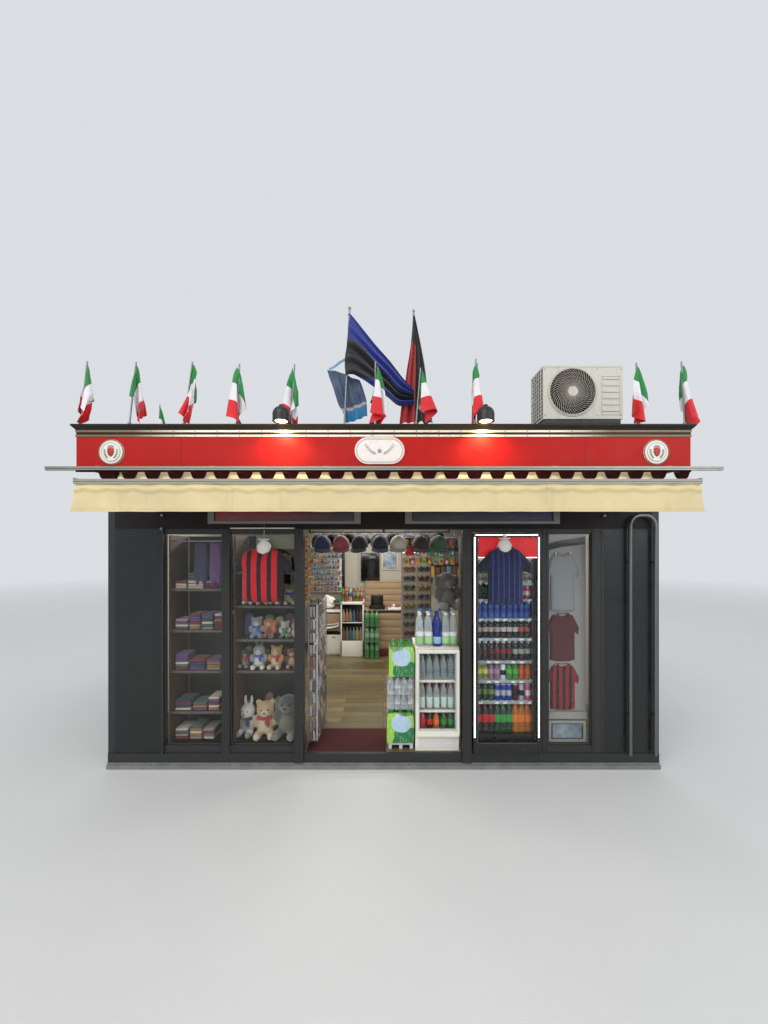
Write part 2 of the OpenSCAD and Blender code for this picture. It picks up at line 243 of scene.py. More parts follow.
def paint(name, rgb, rough=0.4, var=0.15, scale=3.0, metal=0.0, fine=260.0, bump=0.06, streak=0.25, dirt=(60, 52, 44), **kw):
    """Sprayed or moulded surface: mottled colour, rain streaks, worn gloss and a fine orange peel."""
    m = Mat(name, rough, metal, **kw)
    c = lin(*rgb)
    base = m.mix(m.noise(scale, 4), scaled(c, 1 - var), scaled(c, 1 + var))
    if streak:
        s = m.noise(1.0, 5, 0.6, m.stretch(14, 14, 0.7))
        f = m.math("MULTIPLY", m.span(s, 0.52, 0.78), streak)
        base = m.mix(f, base, lin(*dirt))
    m.color(base)
    m.rough(m.span(m.noise(scale * 5, 4), 0.3, 0.7, max(0.03, rough - 0.1), min(1, rough + 0.14)))
    m.bump(m.noise(fine, 2), bump, 0.001)
    return m.m


def brushed(name, rgb, rough=0.32, axis="X", var=0.14, metal=1.0, fine=900.0, **kw):
    """Drawn or brushed metal with fine lines along one axis and a few dull patches."""
    m = Mat(name, rough, metal, **kw)
    c = lin(*rgb)
    s = {"X": (1, 90, 90), "Y": (90, 1, 90), "Z": (90, 90, 1)}[axis]
    lines = m.noise(6, 3, 0.6, m.stretch(*s))
    m.color(m.mix(m.noise(4, 5), m.mix(lines, scaled(c, 1 - var), scaled(c, 1 + var)), scaled(c, 0.82)))
    m.rough(m.span(m.math("ADD", m.math("MULTIPLY", lines, 0.6), m.math("MULTIPLY", m.noise(9, 4), 0.6)), 0.3, 0.9, rough - 0.1, rough + 0.16))
    m.bump(lines, 0.1, 0.0006)
    return m.m


def plastic(name, rgb, rough=0.42, var=0.08, fine=700.0, bump=0.1, scale=5.0, **kw):
    """Moulded plastic with a fine leathery grain."""
    m = Mat(name, rough, 0.0, **kw)
    c = lin(*rgb)
    m.color(m.mix(m.noise(scale, 4), scaled(c, 1 - var), scaled(c, 1 + var)))
    m.rough(m.span(m.noise(scale * 6, 3), 0.3, 0.7, rough - 0.07, rough + 0.12))
    m.bump(m.voronoi(fine).outputs["Distance"], bump, 0.0005)
    return m.m


def cloth_nodes(m, c, weave=520.0, depth=0.35, shade=0.18, soil=0.25):
    """Adds a plain weave, slow fading and a little soiling to m. c is a colour or a socket."""
    w = m.math("MULTIPLY", m.wave(weave, "X"), m.wave(weave, "Z"))
    n = m.noise(2.3, 4)
    dark = m.new("Mix", data_type="RGBA", blend_type="MULTIPLY")
    m.put(dark.inputs[0], 1.0)
    m.put(dark.inputs[6], c)
    m.put(dark.inputs[7], m.ramp(n, [(0.3, (1 - shade,) * 3 + (1,)), (0.7, (1, 1, 1, 1))]))
    soilf = m.math("MULTIPLY", m.span(m.noise(1.0, 5, 0.62, m.stretch(9, 9, 1.4)), 0.55, 0.8), soil)
    m.color(m.mix(soilf, dark.outputs[2], m.mix(0.55, c, lin(96, 84, 66))))
    b = m.bump(m.noise(16, 3), 0.12, 0.004)
    m.bump(w, depth, 0.0006, b)


def cloth(name, rgb, rough=0.88, weave=520.0, sheen=0.25, **kw):
    m = Mat(name, rough, 0.0, Sheen_Weight=sheen, Sheen_Roughness=0.5)
    cloth_nodes(m, lin(*rgb), weave, **kw)
    m.rough(m.span(m.noise(30, 3), 0.3, 0.7, rough - 0.08, min(1, rough + 0.08)))
    return m.m


def glass(name, tint=(0.955, 0.955, 0.945, 1), gloss=0.9):
    """Clear pane: a mirror film by Fresnel over a transparent sheet, with a few smears."""
    m = bpy.data.materials.new(name)
    m.use_nodes = True
    nt = m.node_tree
    nt.nodes.clear()
    out = nt.nodes.new("ShaderNodeOutputMaterial")
    mx = nt.nodes.new("ShaderNodeMixShader")
    tr = nt.nodes.new("ShaderNodeBsdfTransparent")
    gl = nt.nodes.new("ShaderNodeBsdfGlossy")
    lw = nt.nodes.new("ShaderNodeLayerWeight")
    lw.inputs["Blend"].default_value = 0.5
    pw = nt.nodes.new("ShaderNodeMath")
    pw.operation = "POWER"
    pw.inputs[1].default_value = 4.0
    fr = nt.nodes.new("ShaderNodeMath")
    fr.operation = "MULTIPLY_ADD"
    fr.inputs[1].default_value = 0.75
    fr.inputs[2].default_value = 0.022
    nt.links.new(lw.outputs["Facing"], pw.inputs[0])
    nt.links.new(pw.outputs[0], fr.inputs[0])
    tr.inputs["Color"].default_value = tint
    gl.inputs["Color"].default_value = (gloss, gloss, gloss, 1)
    no = nt.nodes.new("ShaderNodeTexNoise")
    no.inputs["Scale"].default_value = 7
    no.inputs["Detail"].default_value = 5
    tc = nt.nodes.new("ShaderNodeTexCoord")
    nt.links.new(tc.outputs["Object"], no.inputs["Vector"])
    mr = nt.nodes.new("ShaderNodeMapRange")
    mr.inputs[3].default_value = 0.02
    mr.inputs[4].default_value = 0.09
    nt.links.new(no.outputs["Fac"], mr.inputs[0])
    nt.links.new(mr.outputs[0], gl.inputs["Roughness"])
    nt.links.new(fr.outputs[0], mx.inputs[0])
    nt.links.new(tr.outputs[0], mx.inputs[1])
    nt.links.new(gl.outputs[0], mx.inputs[2])
    nt.links.new(mx.outputs[0], out.inputs[0])
    return m


def glow(name, rgb, strength=2.0, var=0.15, scale=8.0, rough=0.4):
    """Lit translucent face, a little uneven as a diffuser is; also the painted glow of the cooler's back panel."""
    m = Mat(name, rough)
    c = lin(*rgb)
    f = m.mix(m.noise(scale, 2), scaled(c, 1 - var), scaled(c, 1.0))
    m.color(f)
    m.put(m.p.inputs["Emission Color"], f)
    m.p.inputs["Emission Strength"].default_value = strength
    m.bump(m.noise(300, 2), 0.05, 0.0005)
    return m.m


def tinted(name, rough=0.4, metal=0.0, bump=0.08, fine=420.0, var=0.12, **kw):
    """Small goods: the colour is on the mesh, with wear, print variation and grain from nodes."""
    m = Mat(name, rough, metal, **kw)
    a = m.attr()
    d = m.mix(m.noise(26, 3), (1 - var * 2,) * 3 + (1,), (1, 1, 1, 1))
    n = m.new("Mix", data_type="RGBA", blend_type="MULTIPLY")
    m.put(n.inputs[0], 1.0)
    m.put(n.inputs[6], a)
    m.put(n.inputs[7], d)
    m.color(n.outputs[2])
    m.rough(m.span(m.noise(60, 3), 0.3, 0.7, max(0.03, rough - 0.08), rough + 0.12))
    m.bump(m.noise(fine, 2), bump, 0.0006)
    return m.m


MM = {}
MM["floor_stage"] = None


def studio_floor():
    """Pale floor that melts into the backdrop far away."""
    m = Mat("studio_floor", 0.7)
    m.color(m.mix(m.noise(1.0, 4), lin(206, 206, 204), lin(212, 212, 210)))
    m.rough(m.span(m.noise(4, 3), 0.3, 0.7, 0.62, 0.8))
    x, y, z = m.xyz()
    r = m.math("SQRT", m.math("ADD", m.math("MULTIPLY", x, x), m.math("MULTIPLY", y, y)))
    m.put(m.p.inputs["Alpha"], m.span(r, 7.0, 30.0, 1.0, 0.0))
    return m.m


MM["floor_stage"] = studio_floor()
floor.data.materials.append(MM["floor_stage"])
MM["base"] = paint("base_grey", (74, 76, 76), 0.75, 0.2, 5, bump=0.5, fine=90)
MM["sill"] = paint("sill_dark", (44, 47, 46), 0.45, 0.12, 5, bump=0.06, streak=0.12, Specular_IOR_Level=0.35)
MM["wall"] = paint("wall_anthracite", (44, 46, 47), 0.42, 0.10, 1.4, bump=0.05, streak=0.12, Specular_IOR_Level=0.35)
MM["panel"] = paint("panel_dark", (30, 31, 31), 0.30, 0.10, 1.2, bump=0.03, streak=0.08, Specular_IOR_Level=0.4)
MM["frame"] = paint("frame_grey", (46, 47, 45), 0.38, 0.08, 3, metal=0.0, bump=0.03, streak=0.05, Specular_IOR_Level=0.35)
MM["header"] = paint("header_brown", (23, 18, 17), 0.5, 0.10, 2, bump=0.03, streak=0.06, Specular_IOR_Level=0.25)
MM["sign_frame"] = brushed("sign_frame_alu", (136, 136, 134), 0.42, "X")
MM["white_panel"] = paint("white_panel", (226, 224, 216), 0.45, 0.04, 1.5, streak=0.05)
MM["roof"] = paint("roof_sheet", (128, 132, 134), 0.6, 0.2, 1.2, metal=0.3, bump=0.2)
MM["red"] = None
MM["bronze"] = paint("cornice_bronze", (29, 25, 20), 0.36, 0.2, 2, metal=0.2, bump=0.05, streak=0.2, Specular_IOR_Level=0.35)
MM["trim"] = None


def trim_with_painted_lamp_light():
    """Pale metal line with painted lamp light: painted bright between the lamps, darker bronze towards its ends where
    the painted light falls off.
    """
    m = Mat("trim_line", 0.34, 0.35)
    x, y, z = m.xyz()
    # painted lamp light: the tone is bright (lit) near the lamps' middle and falls to darker bronze (dull) between 1.55
    # m and 2.1 m from it
    a = m.math("ABSOLUTE", m.math("ADD", x, 0.10))
    n = m.noise(6, 3, 0.6, m.stretch(1, 60, 60))
    lit = m.mix(n, lin(224, 212, 188), lin(246, 238, 222))
    dull = m.mix(n, lin(104, 88, 62), lin(134, 116, 86))
    m.color(m.mix(m.span(a, 1.55, 2.1), lit, dull))
    m.rough(m.span(m.noise(9, 4), 0.3, 0.7, 0.26, 0.46))
    m.bump(n, 0.1, 0.0006)
    return m.m


MM["trim"] = trim_with_painted_lamp_light()
MM["plaque"] = paint("plaque_white", (226, 222, 220), 0.3, 0.04, 6, bump=0.03, streak=0.05)
MM["rail"] = brushed("rail_alu", (158, 158, 150), 0.38, "X")
MM["arm"] = paint("arm_metal", (92, 92, 90), 0.4, 0.15, 7, metal=0.7)
MM["bar"] = paint("bar_light", (158, 152, 140), 0.42, 0.07, 4, metal=0.15, bump=0.03, streak=0.12)
MM["lamp"] = paint("lamp_black", (26, 25, 24), 0.4, 0.2, 8, bump=0.1)
MM["ac"] = paint("ac_beige", (200, 195, 182), 0.45, 0.06, 3, bump=0.1, streak=0.22)
MM["dark_plastic"] = plastic("dark_plastic", (38, 36, 34), 0.42)
MM["galv"] = brushed("galvanised", (142, 146, 148), 0.45, "Z")
MM["steel"] = brushed("tube_steel", (122, 124, 122), 0.34, "Z")
# painted shade: the AC stand is painted dark for the shadow under the unit
MM["stand_painted_shade"] = paint("stand_painted_shade", (56, 54, 50), 0.5, 0.15, 5, metal=0.3, bump=0.06, streak=0.2)
MM["cooler_black"] = paint("cooler_black", (15, 15, 16), 0.28, 0.08, 4, bump=0.02, streak=0.0, Coat_Weight=0.25, Coat_Roughness=0.12)
MM["shelf_white"] = paint("shelf_white", (226, 228, 230), 0.35, 0.05, 9, streak=0.05)
MM["cooler_white"] = paint("cooler_white", (230, 226, 212), 0.35, 0.04, 5, bump=0.04, streak=0.1)
MM["board"] = paint("board_grey", (196, 200, 204), 0.5, 0.06, 3, bump=0.08, streak=0.08)
MM["bay_board"] = paint("bay_board", (152, 153, 151), 0.5, 0.08, 3, bump=0.08, streak=0.1)
MM["chrome"] = brushed("wire_chrome", (196, 198, 200), 0.2, "Z", 0.08)
MM["stand"] = paint("stand_beige", (126, 116, 100), 0.5, 0.08, 6, bump=0.08, streak=0.05)
MM["glass"] = glass("clear_glass")
MM["cooler_glass"] = glass("cooler_glass", (0.97, 0.985, 0.985, 1), 0.7)


def red_material():
    """Fascia sheet: glossy red film with a faint painted glow, though it is no lamp, fading towards its lower edge."""
    m = Mat("fascia_red", 0.42, Specular_IOR_Level=0.22)
    c = m.mix(m.noise(1.1, 4), lin(142, 11, 6), lin(164, 16, 9))
    s = m.noise(1.0, 5, 0.6, m.stretch(10, 10, 0.6))
    m.color(m.mix(m.math("MULTIPLY", m.span(s, 0.55, 0.8), 0.3), c, lin(120, 20, 22)))
    # painted glow: the sheet glows faintly in its own red, though it is no lamp
    m.put(m.p.inputs["Emission Color"], c)
    m.p.inputs["Emission Strength"].default_value = 0.28
    m.rough(m.span(m.noise(6, 4), 0.3, 0.7, 0.34, 0.55))
    m.bump(m.noise(3.5, 2), 0.08, 0.01)
    return m.m


MM["red"] = red_material()


def wood_floor():
    """Olive oak planks that run from side to side, with dark joints and long grain."""
    m = Mat("floor_planks", 0.42)
    x, y, z = m.xyz()
    v = m.new("CombineXYZ")
    m.put(v.inputs[0], x)
    m.put(v.inputs[1], y)
    b = m.new("TexBrick", offset=0.37)
    m.put(b.inputs["Vector"], v.outputs[0])
    b.inputs["Color1"].default_value = lin(120, 109, 73)
    b.inputs["Color2"].default_value = lin(83, 74, 47)
    b.inputs["Mortar"].default_value = lin(32, 27, 19)
    b.inputs["Scale"].default_value = 1.0
    b.inputs["Mortar Size"].default_value = 0.0045
    b.inputs["Mortar Smooth"].default_value = 0.2
    b.inputs["Bias"].default_value = 0.1
    b.inputs["Brick Width"].default_value = 1.25
    b.inputs["Row Height"].default_value = 0.135
    grain = m.noise(5, 5, 0.65, m.stretch(1.2, 26, 1), 0.6)
    m.color(m.mix(m.span(grain, 0.35, 0.75, 0, 0.55), b.outputs["Color"], lin(70, 60, 42)))
    m.rough(m.span(m.noise(3, 4), 0.3, 0.7, 0.28, 0.52))
    g = m.bump(grain, 0.15, 0.001)
    m.bump(m.math("SUBTRACT", 1.0, b.outputs["Fac"]), 0.5, 0.002, g)
    return m.m


def oak(name, a, b, along="X", scale=1.0):
    m = Mat(name, 0.5)
    s = {"X": (1.5, 18, 18), "Y": (18, 1.5, 18), "Z": (18, 18, 1.5)}[along]
    g = m.noise(3 * scale, 6, 0.65, m.stretch(*s), 1.2)
    r = m.wave(2.2 * scale, "Z" if along != "Z" else "X", m.stretch(*[q * 0.3 for q in s]), 6)
    c = m.mix(g, lin(*a), lin(*b))
    m.color(m.mix(m.math("MULTIPLY", r, 0.25), c, scaled(lin(*b), 0.7)))
    m.rough(m.span(g, 0.3, 0.7, 0.4, 0.62))
    m.bump(g, 0.25, 0.0012)
    return m.m


def checker_plate():
    """Ribbed aluminium threshold, mottled in tone."""
    m = Mat("threshold_alu", 0.35, 0.9)
    n = m.noise(7, 5)
    m.color(m.mix(n, lin(122, 124, 122), lin(176, 176, 172)))
    x, y, z = m.xyz()
    m.rough(m.span(m.noise(40, 4), 0.3, 0.7, 0.25, 0.55))
    m.bump(m.wave(60, "Y"), 0.5, 0.002)
    return m.m


def coil_fins():
    m = Mat("coil_fins", 0.5, 0.6)
    w = m.wave(260, "X")
    m.color(m.mix(w, lin(34, 34, 36), lin(104, 106, 108)))
    m.rough(m.span(m.noise(40, 3), 0.3, 0.7, 0.4, 0.65))
    m.bump(w, 0.7, 0.002)
    return m.m


def fibre_mat():
    m = Mat("mat_fibre", 0.95, 0.0, Specular_IOR_Level=0.1)
    n = m.noise(420, 2)
    c = m.mix(n, lin(58, 28, 28), lin(84, 50, 48))
    m.color(m.mix(m.span(m.noise(6, 4), 0.4, 0.75, 0, 0.5), c, lin(72, 46, 42)))
    m.rough(m.span(n, 0.3, 0.7, 0.85, 1.0))
    b = m.bump(m.voronoi(240).outputs["Distance"], 0.6, 0.003)
    m.bump(n, 0.5, 0.001, b)
    return m.m


MM["floor"] = wood_floor()
MM["oak"] = oak("counter_oak", (172, 148, 116), (134, 112, 86))
MM["shelf_wood"] = oak("shelf_wood", (104, 78, 54), (70, 50, 34))
MM["strip"] = checker_plate()
MM["fins"] = coil_fins()
MM["mat"] = fibre_mat()

# the aluminium and painted nodes that keep their CAD shape
KEEP = {
    "base_slab": "base", "floor_boards": "floor", "threshold_strip": "strip", "sill_front": "sill",
    "left_wall": "wall", "right_wall": "wall", "rear_wall": "wall", "front_panel_left": "panel",
    "front_panel_right": "panel", "shopfront_frame": "frame", "window_rails": "frame", "window_glass": "glass",
    "front_header": "header", "header_signs": "sign_frame", "soffit": "wall", "ceiling": "white_panel",
    "roof_deck": "roof", "fascia_front": "red", "fascia_sides": "red", "fascia_rear": "red", "cornice": "bronze",
    "trim_strips": "trim", "sign_oval": "plaque", "sign_badges": "plaque", "awning_rail": "rail",
    "awning_roller": "rail", "awning_arms": "arm", "awning_front_bar": "bar", "sign_lamps": "lamp",
    "ac_casing": "ac", "ac_motor": "dark_plastic", "ac_coil": "fins", "ac_grille": "dark_plastic",
    "ac_fan": "dark_plastic", "ac_stand": "stand_painted_shade", "flag_poles": "galv", "tube_guard": "steel",
    "tall_cooler_cabinet": "cooler_black", "tall_cooler_shelves": "shelf_white", "tall_cooler_door": "cooler_black",
    "tall_cooler_glass": "cooler_glass", "low_cooler_cabinet": "cooler_white", "low_cooler_shelves": "shelf_white",
    "low_cooler_door": "cooler_white", "low_cooler_glass": "cooler_glass", "counter": "oak",
    "back_cabinets": "white_panel", "window_shelves": "shelf_wood", "shelf_sides": "shelf_wood",
    "display_board": "bay_board", "wire_rack": "chrome", "glasses_stand": "stand",
}
for node, key in KEEP.items():
    o = N[node]
    o.data.materials.clear()
    o.data.materials.append(MM[key])


# ------------------------------------------------------------------ mesh helpers
class Geo:
    """Collects simple meshes into one piece, with a material index and a colour for each part."""

    def __init__(self):
        self.v, self.f, self.mi, self.c, self.uv, self.n = [], [], [], [], [], 0

    def add(self, v, f, mi=0, col=(1, 1, 1), M=None, uv=None):
        v = np.asarray(v, float).reshape(-1, 3)
        if M is not None:
            m = np.array(M)
            v = v @ m[:3, :3].T + m[:3, 3]
        k = self.n
        self.v.append(v)
        self.f += [tuple(i + k for i in q) for q in f]
        self.mi += [mi] * len(f) if isinstance(mi, int) else list(mi)
        c = np.asarray(col, float)
        self.c.append(np.tile(c, (len(v), 1)) if c.ndim == 1 else c)
        self.uv.append(np.zeros((len(v), 2)) if uv is None else np.asarray(uv, float))
        self.n += len(v)
        return self

    def make(self, name, mats, body="kiosk", smooth=True, sharp=35):
        me = bpy.data.meshes.new(name)
        v = np.concatenate(self.v)
        me.from_pydata(v.tolist(), [], self.f)
        c = np.concatenate(self.c)
        lc = np.where(c <= 0.04045, c / 12.92, ((c + 0.055) / 1.055) ** 2.4)
        a = me.color_attributes.new("tint", "FLOAT_COLOR", "POINT")
        a.data.foreach_set("color", np.column_stack([lc, np.ones(len(lc))]).astype(np.float32).ravel())
        me.polygons.foreach_set("material_index", np.array(self.mi, np.int32))
        uv = np.concatenate(self.uv)
        if uv.any():
            layer = me.uv_layers.new(name="uv")
            idx = np.zeros(len(me.loops), np.int32)
            me.loops.foreach_get("vertex_index", idx)
            layer.data.foreach_set("uv", uv[idx].astype(np.float32).ravel())
        for m in mats if isinstance(mats, (list, tuple)) else [mats]:
            me.materials.append(m)
        me.validate()
        me.update()
        o = bpy.data.objects.new(name, me)
        scene.collection.objects.link(o)
        if smooth:
            me.polygons.foreach_set("use_smooth", np.ones(len(me.polygons), bool))
            try:
                me.set_sharp_from_angle(angle=math.radians(sharp))
            except AttributeError:
                pass
        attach(o, body)
        return o


def box_mesh(lo, hi, r=0.002, seg=2):
    """Box with rounded edges."""
    lo, hi = Vector(lo), Vector(hi)
    bm = bmesh.new()
    bmesh.ops.create_cube(bm, size=1.0)
    s, c = hi - lo, (hi + lo) / 2
    for v in bm.verts:
        v.co = Vector((v.co.x * s.x, v.co.y * s.y, v.co.z * s.z)) + c
    r = min(r, min(s) * 0.45)
    if r > 0:
        bmesh.ops.bevel(bm, geom=list(bm.edges), offset=r, segments=seg, affect="EDGES", profile=0.6)
    bm.verts.ensure_lookup_table()
    out = [tuple(v.co) for v in bm.verts], [tuple(v.index for v in f.verts) for f in bm.faces]
    bm.free()
    return out


def lathe(profile, n=16, mats=None):
    """Profile of (radius, height) turned round Z. mats gives each ring's material index."""
    v, f, mi = [], [], []
    for r, z in profile:
        for i in range(n):
            a = 2 * math.pi * i / n
            v.append((r * math.cos(a), r * math.sin(a), z))
    for k in range(len(profile) - 1):
        for i in range(n):
            j = (i + 1) % n
            f.append((k * n + i, k * n + j, (k + 1) * n + j, (k + 1) * n + i))
            mi.append(mats[k] if mats else 0)
    f.append(tuple(range(n - 1, -1, -1)))
    mi.append(mi[0])
    f.append(tuple((len(profile) - 1) * n + i for i in range(n)))
    mi.append(mi[-2])
    return v, f, mi


def tube(points, r, n=8, closed=False, caps=True):
    """Round bar along points. r is a number or one for each point."""
    P = [Vector(p) for p in points]
    R = r if hasattr(r, "__len__") else [r] * len(P)
    v, f = [], []
    up = None
    for i, p in enumerate(P):
        a = P[i - 1] if (i > 0 or closed) else P[i]
        b = P[(i + 1) % len(P)] if (i < len(P) - 1 or closed) else P[i]
        t = (b - a).normalized()
        if up is None:
            up = t.orthogonal().normalized()
        up = (up - t * up.dot(t)).normalized()
        w = t.cross(up)
        for k in range(n):
            q = 2 * math.pi * k / n
            v.append(tuple(p + (up * math.cos(q) + w * math.sin(q)) * R[i]))
    m = len(P)
    for i in range(m if closed else m - 1):
        for k in range(n):
            a, b = i * n + k, i * n + (k + 1) % n
            c, d = ((i + 1) % m) * n + (k + 1) % n, ((i + 1) % m) * n + k
            f.append((a, b, c, d))
    if caps and not closed:
        f.append(tuple(range(n - 1, -1, -1)))
        f.append(tuple((m - 1) * n + k for k in range(n)))
    return v, f


def sheet_grid(fn, nu, nv):
    """Grid of fn(u, v) for u, v from 0 to 1, with its UVs."""
    v, uv, f = [], [], []
    for j in range(nv + 1):
        for i in range(nu + 1):
            v.append(tuple(fn(i / nu, j / nv)))
            uv.append((i / nu, j / nv))
    for j in range(nv):
        for i in range(nu):
            a = j * (nu + 1) + i
            f.append((a, a + 1, a + nu + 2, a + nu + 1))
    return v, f, uv


def ball(radii, centre=(0, 0, 0), n=12, m=8):
    v, f = [], []
    for j in range(m + 1):
        t = math.pi * j / m
        for i in range(n):
            a = 2 * math.pi * i / n
            v.append((centre[0] + radii[0] * math.sin(t) * math.cos(a), centre[1] + radii[1] * math.sin(t) * math.sin(a), centre[2] + radii[2] * math.cos(t)))
    for j in range(m):
        for i in range(n):
            k = (i + 1) % n
            f.append((j * n + i, (j + 1) * n + i, (j + 1) * n + k, j * n + k))
    return v, f


def cat(points, t):
    """Point on a Catmull-Rom curve through points, for t from 0 to 1."""
    n = len(points) - 1
    x = min(max(t, 0.0), 1.0) * n
    i = min(int(x), n - 1)
    u = x - i
    p = [np.asarray(points[min(max(i + k, 0), n)], float) for k in (-1, 0, 1, 2)]
    return 0.5 * ((2 * p[1]) + (-p[0] + p[2]) * u + (2 * p[0] - 5 * p[1] + 4 * p[2] - p[3]) * u * u + (-p[0] + 3 * p[1] - 3 * p[2] + p[3]) * u ** 3)


def puff(outline, depth, step=0.02, edge=0.05, both=True, folds=0.0, seed=0, front_only_back=0.25):
    """Flat shape of cloth with some body: its face swells away from its outline. Returns verts in (x, y, z) with the
    outline in x and z and the face towards -Y."""
    out = [Vector(p) for p in outline]
    pts, n = [], len(out)
    dense = []
    for i, p in enumerate(out):
        q = out[(i + 1) % n]
        k = max(1, int((q - p).length / step))
        dense += [p.lerp(q, j / k) for j in range(k)]
    D = np.array([tuple(p) for p in dense])
    lo, hi = D.min(0), D.max(0)
    inside = []
    ys = np.arange(lo[1] + step / 2, hi[1], step)
    for r, y in enumerate(ys):
        for x in np.arange(lo[0] + step / 2 * (1 + r % 2), hi[0], step):
            c = False
            for i in range(len(D)):
                x1, y1 = D[i]
                x2, y2 = D[(i + 1) % len(D)]
                if (y1 > y) != (y2 > y) and x < (x2 - x1) * (y - y1) / (y2 - y1) + x1:
                    c = not c
            if c and np.min(np.hypot(D[:, 0] - x, D[:, 1] - y)) > step * 0.45:
                inside.append((x, y))
    pts = [Vector(p) for p in D] + [Vector(p) for p in inside]
    m = len(D)
    vs, _, fs, _, _, _ = delaunay_2d_cdt(pts, [(i, (i + 1) % m) for i in range(m)], [], 1, 1e-5)
    V = np.array([tuple(p) for p in vs])
    d = np.array([np.min(np.hypot(D[:, 0] - x, D[:, 1] - y)) for x, y in V])
    t = np.clip(d / edge, 0, 1)
    h = depth * np.sqrt(1 - (1 - t) ** 2)
    if folds:
        h = h + np.array([folds * t[i] * noise.noise(Vector((V[i, 0] * 9 + seed, V[i, 1] * 5, seed * 3.1))) for i in range(len(V))])
    front = np.column_stack([V[:, 0], -h, V[:, 1]])
    fs = [tuple(q) for q in fs]
    if not both:
        return front, fs
    back = np.column_stack([V[:, 0], h * front_only_back + 0.002, V[:, 1]])
    k = len(V)
    return np.concatenate([front, back]), fs + [tuple(i + k for i in reversed(q)) for q in fs]


def move(x, y, z, rz=0.0, rx=0.0, ry=0.0, s=1.0):
    return Matrix.Translation((x, y, z)) @ Matrix.Rotation(rz, 4, "Z") @ Matrix.Rotation(ry, 4, "Y") @ Matrix.Rotation(rx, 4, "X") @ Matrix.Scale(s, 4)


# ------------------------------------------------------------------ awning cloth
MM["cream"] = cloth("cream_canvas", (222, 204, 156), 0.85, 520, 0.12, soil=0.32, shade=0.14)
MM["cream_hem"] = cloth("cream_hem", (226, 210, 160), 0.85, 520, 0.2, soil=0.3)
MM["maroon"] = cloth("maroon_canvas", (40, 6, 8), 0.95, 520, 0.0, soil=0.06)
MM["maroon_hem"] = cloth("maroon_binding", (58, 12, 14), 0.9, 520, 0.0, soil=0.06)
for _m in (MM["maroon"], MM["maroon_hem"]):
    next(q for q in _m.node_tree.nodes if q.type == "BSDF_PRINCIPLED").inputs["Specular IOR Level"].default_value = 0.12
MM["canopy"] = cloth("canopy_canvas_painted_glow", (236, 224, 184), 0.85, 520, 0.12, soil=0.2, shade=0.1)
# painted light: the canopy cloth glows faintly, though it is no lamp, to brighten it in the fascia's shade
for _q in MM["canopy"].node_tree.nodes:
    if _q.type == "BSDF_PRINCIPLED":
        _q.inputs["Emission Color"].default_value = (0.78, 0.70, 0.48, 1)
        _q.inputs["Emission Strength"].default_value = 0.16


def scallops():
    """Band of canvas with tabs that narrow downwards, bound along the edge."""
    g = Geo()
    z0, z1, z2 = 2.703, 2.687, 2.628
    Y = -2.209
    xs = [-2.677]
    k = -13
    tabs = []
    while k <= 13:
        c = k * 0.2 - 0.007 + 0.0
        tabs.append(c)
        k += 1
    # band
    def band(u, v):
        x = -2.677 + 5.354 * u
        return (x, Y + 0.0022 * math.sin(x * 31.4 + 0.4) * v, z0 + (z1 - z0) * v)
    g.add(*sheet_grid(band, 540, 2)[:2], 0)
    area_cut = 5.354 * (z0 - z1)
    for c in tabs:
        ph = rnd.uniform(-1, 1)
        wt, wb = 0.0705, 0.048
        if abs(c) + wt > 2.677:
            continue
        def tab(u, v, c=c, ph=ph):
            w = wt + (wb - wt) * v
            # rounded lower corners
            drop = 1.0 - 0.16 * (abs(2 * u - 1) ** 5) * (v ** 3)
            x = c + (2 * u - 1) * w
            return (x, Y - 0.006 * v * (0.4 + ph * 0.5) - 0.004 * math.cos((2 * u - 1) * 1.5) * v, z1 + (z2 - z1) * v * drop)
        v, f, uv = sheet_grid(tab, 10, 8)
        g.add(v, f, 0)
        area_cut += (wt + wb) * (z1 - z2)
        # binding along the free edge
        pts = [tab(0, t / 6) for t in range(7)] + [tab(t / 10, 1) for t in range(1, 10)] + [tab(1, 1 - t / 6) for t in range(7)]
        g.add(*tube([(p[0], p[1] - 0.0006, p[2]) for p in pts], 0.0022, 5), 1)
    o = g.make("scalloped_cloth", [MM["maroon"], MM["maroon_hem"]], sharp=60)
    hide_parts("scalloped_valance")
    return o


def canopy():
    """Awning cloth from the roller out to the front bar, a little slack between its seams."""
    prof = [(-2.116, 2.722), (-2.160, 2.668), (-2.205, 2.617), (-2.290, 2.5985), (-2.380, 2.5785), (-2.470, 2.5665), (-2.566, 2.5555)]
    x0, x1 = -2.334, 2.400
    def fn(u, v):
        p = cat(prof, v)
        x = x0 + (x1 - x0) * u
        sag = 0.0035 * math.sin(math.pi * v) * (0.5 + 0.5 * math.cos(x * 2 * math.pi / 1.18)) + 0.0012 * noise.noise(Vector((x * 3, v * 4, 0)))
        return (x, p[0], p[1] - sag)
    g = Geo()
    v, f, uv = sheet_grid(fn, 150, 26)
    g.add(v, f, 0, uv=uv)
    # seams between the cloth's widths, and the hem at each side
    for x in [x0 + 0.006] + [x0 + (x1 - x0) * i / 4 for i in (1, 2, 3)] + [x1 - 0.006]:
        u = (x - x0) / (x1 - x0)
        pts = [fn(u, t / 24) for t in range(25)]
        g.add(*tube([(p[0], p[1], p[2] + 0.0012) for p in pts], 0.0026, 4), 1)
    o = g.make("canopy_cloth", [MM["canopy"], MM["cream_hem"]], sharp=60)
    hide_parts("awning_canopy")


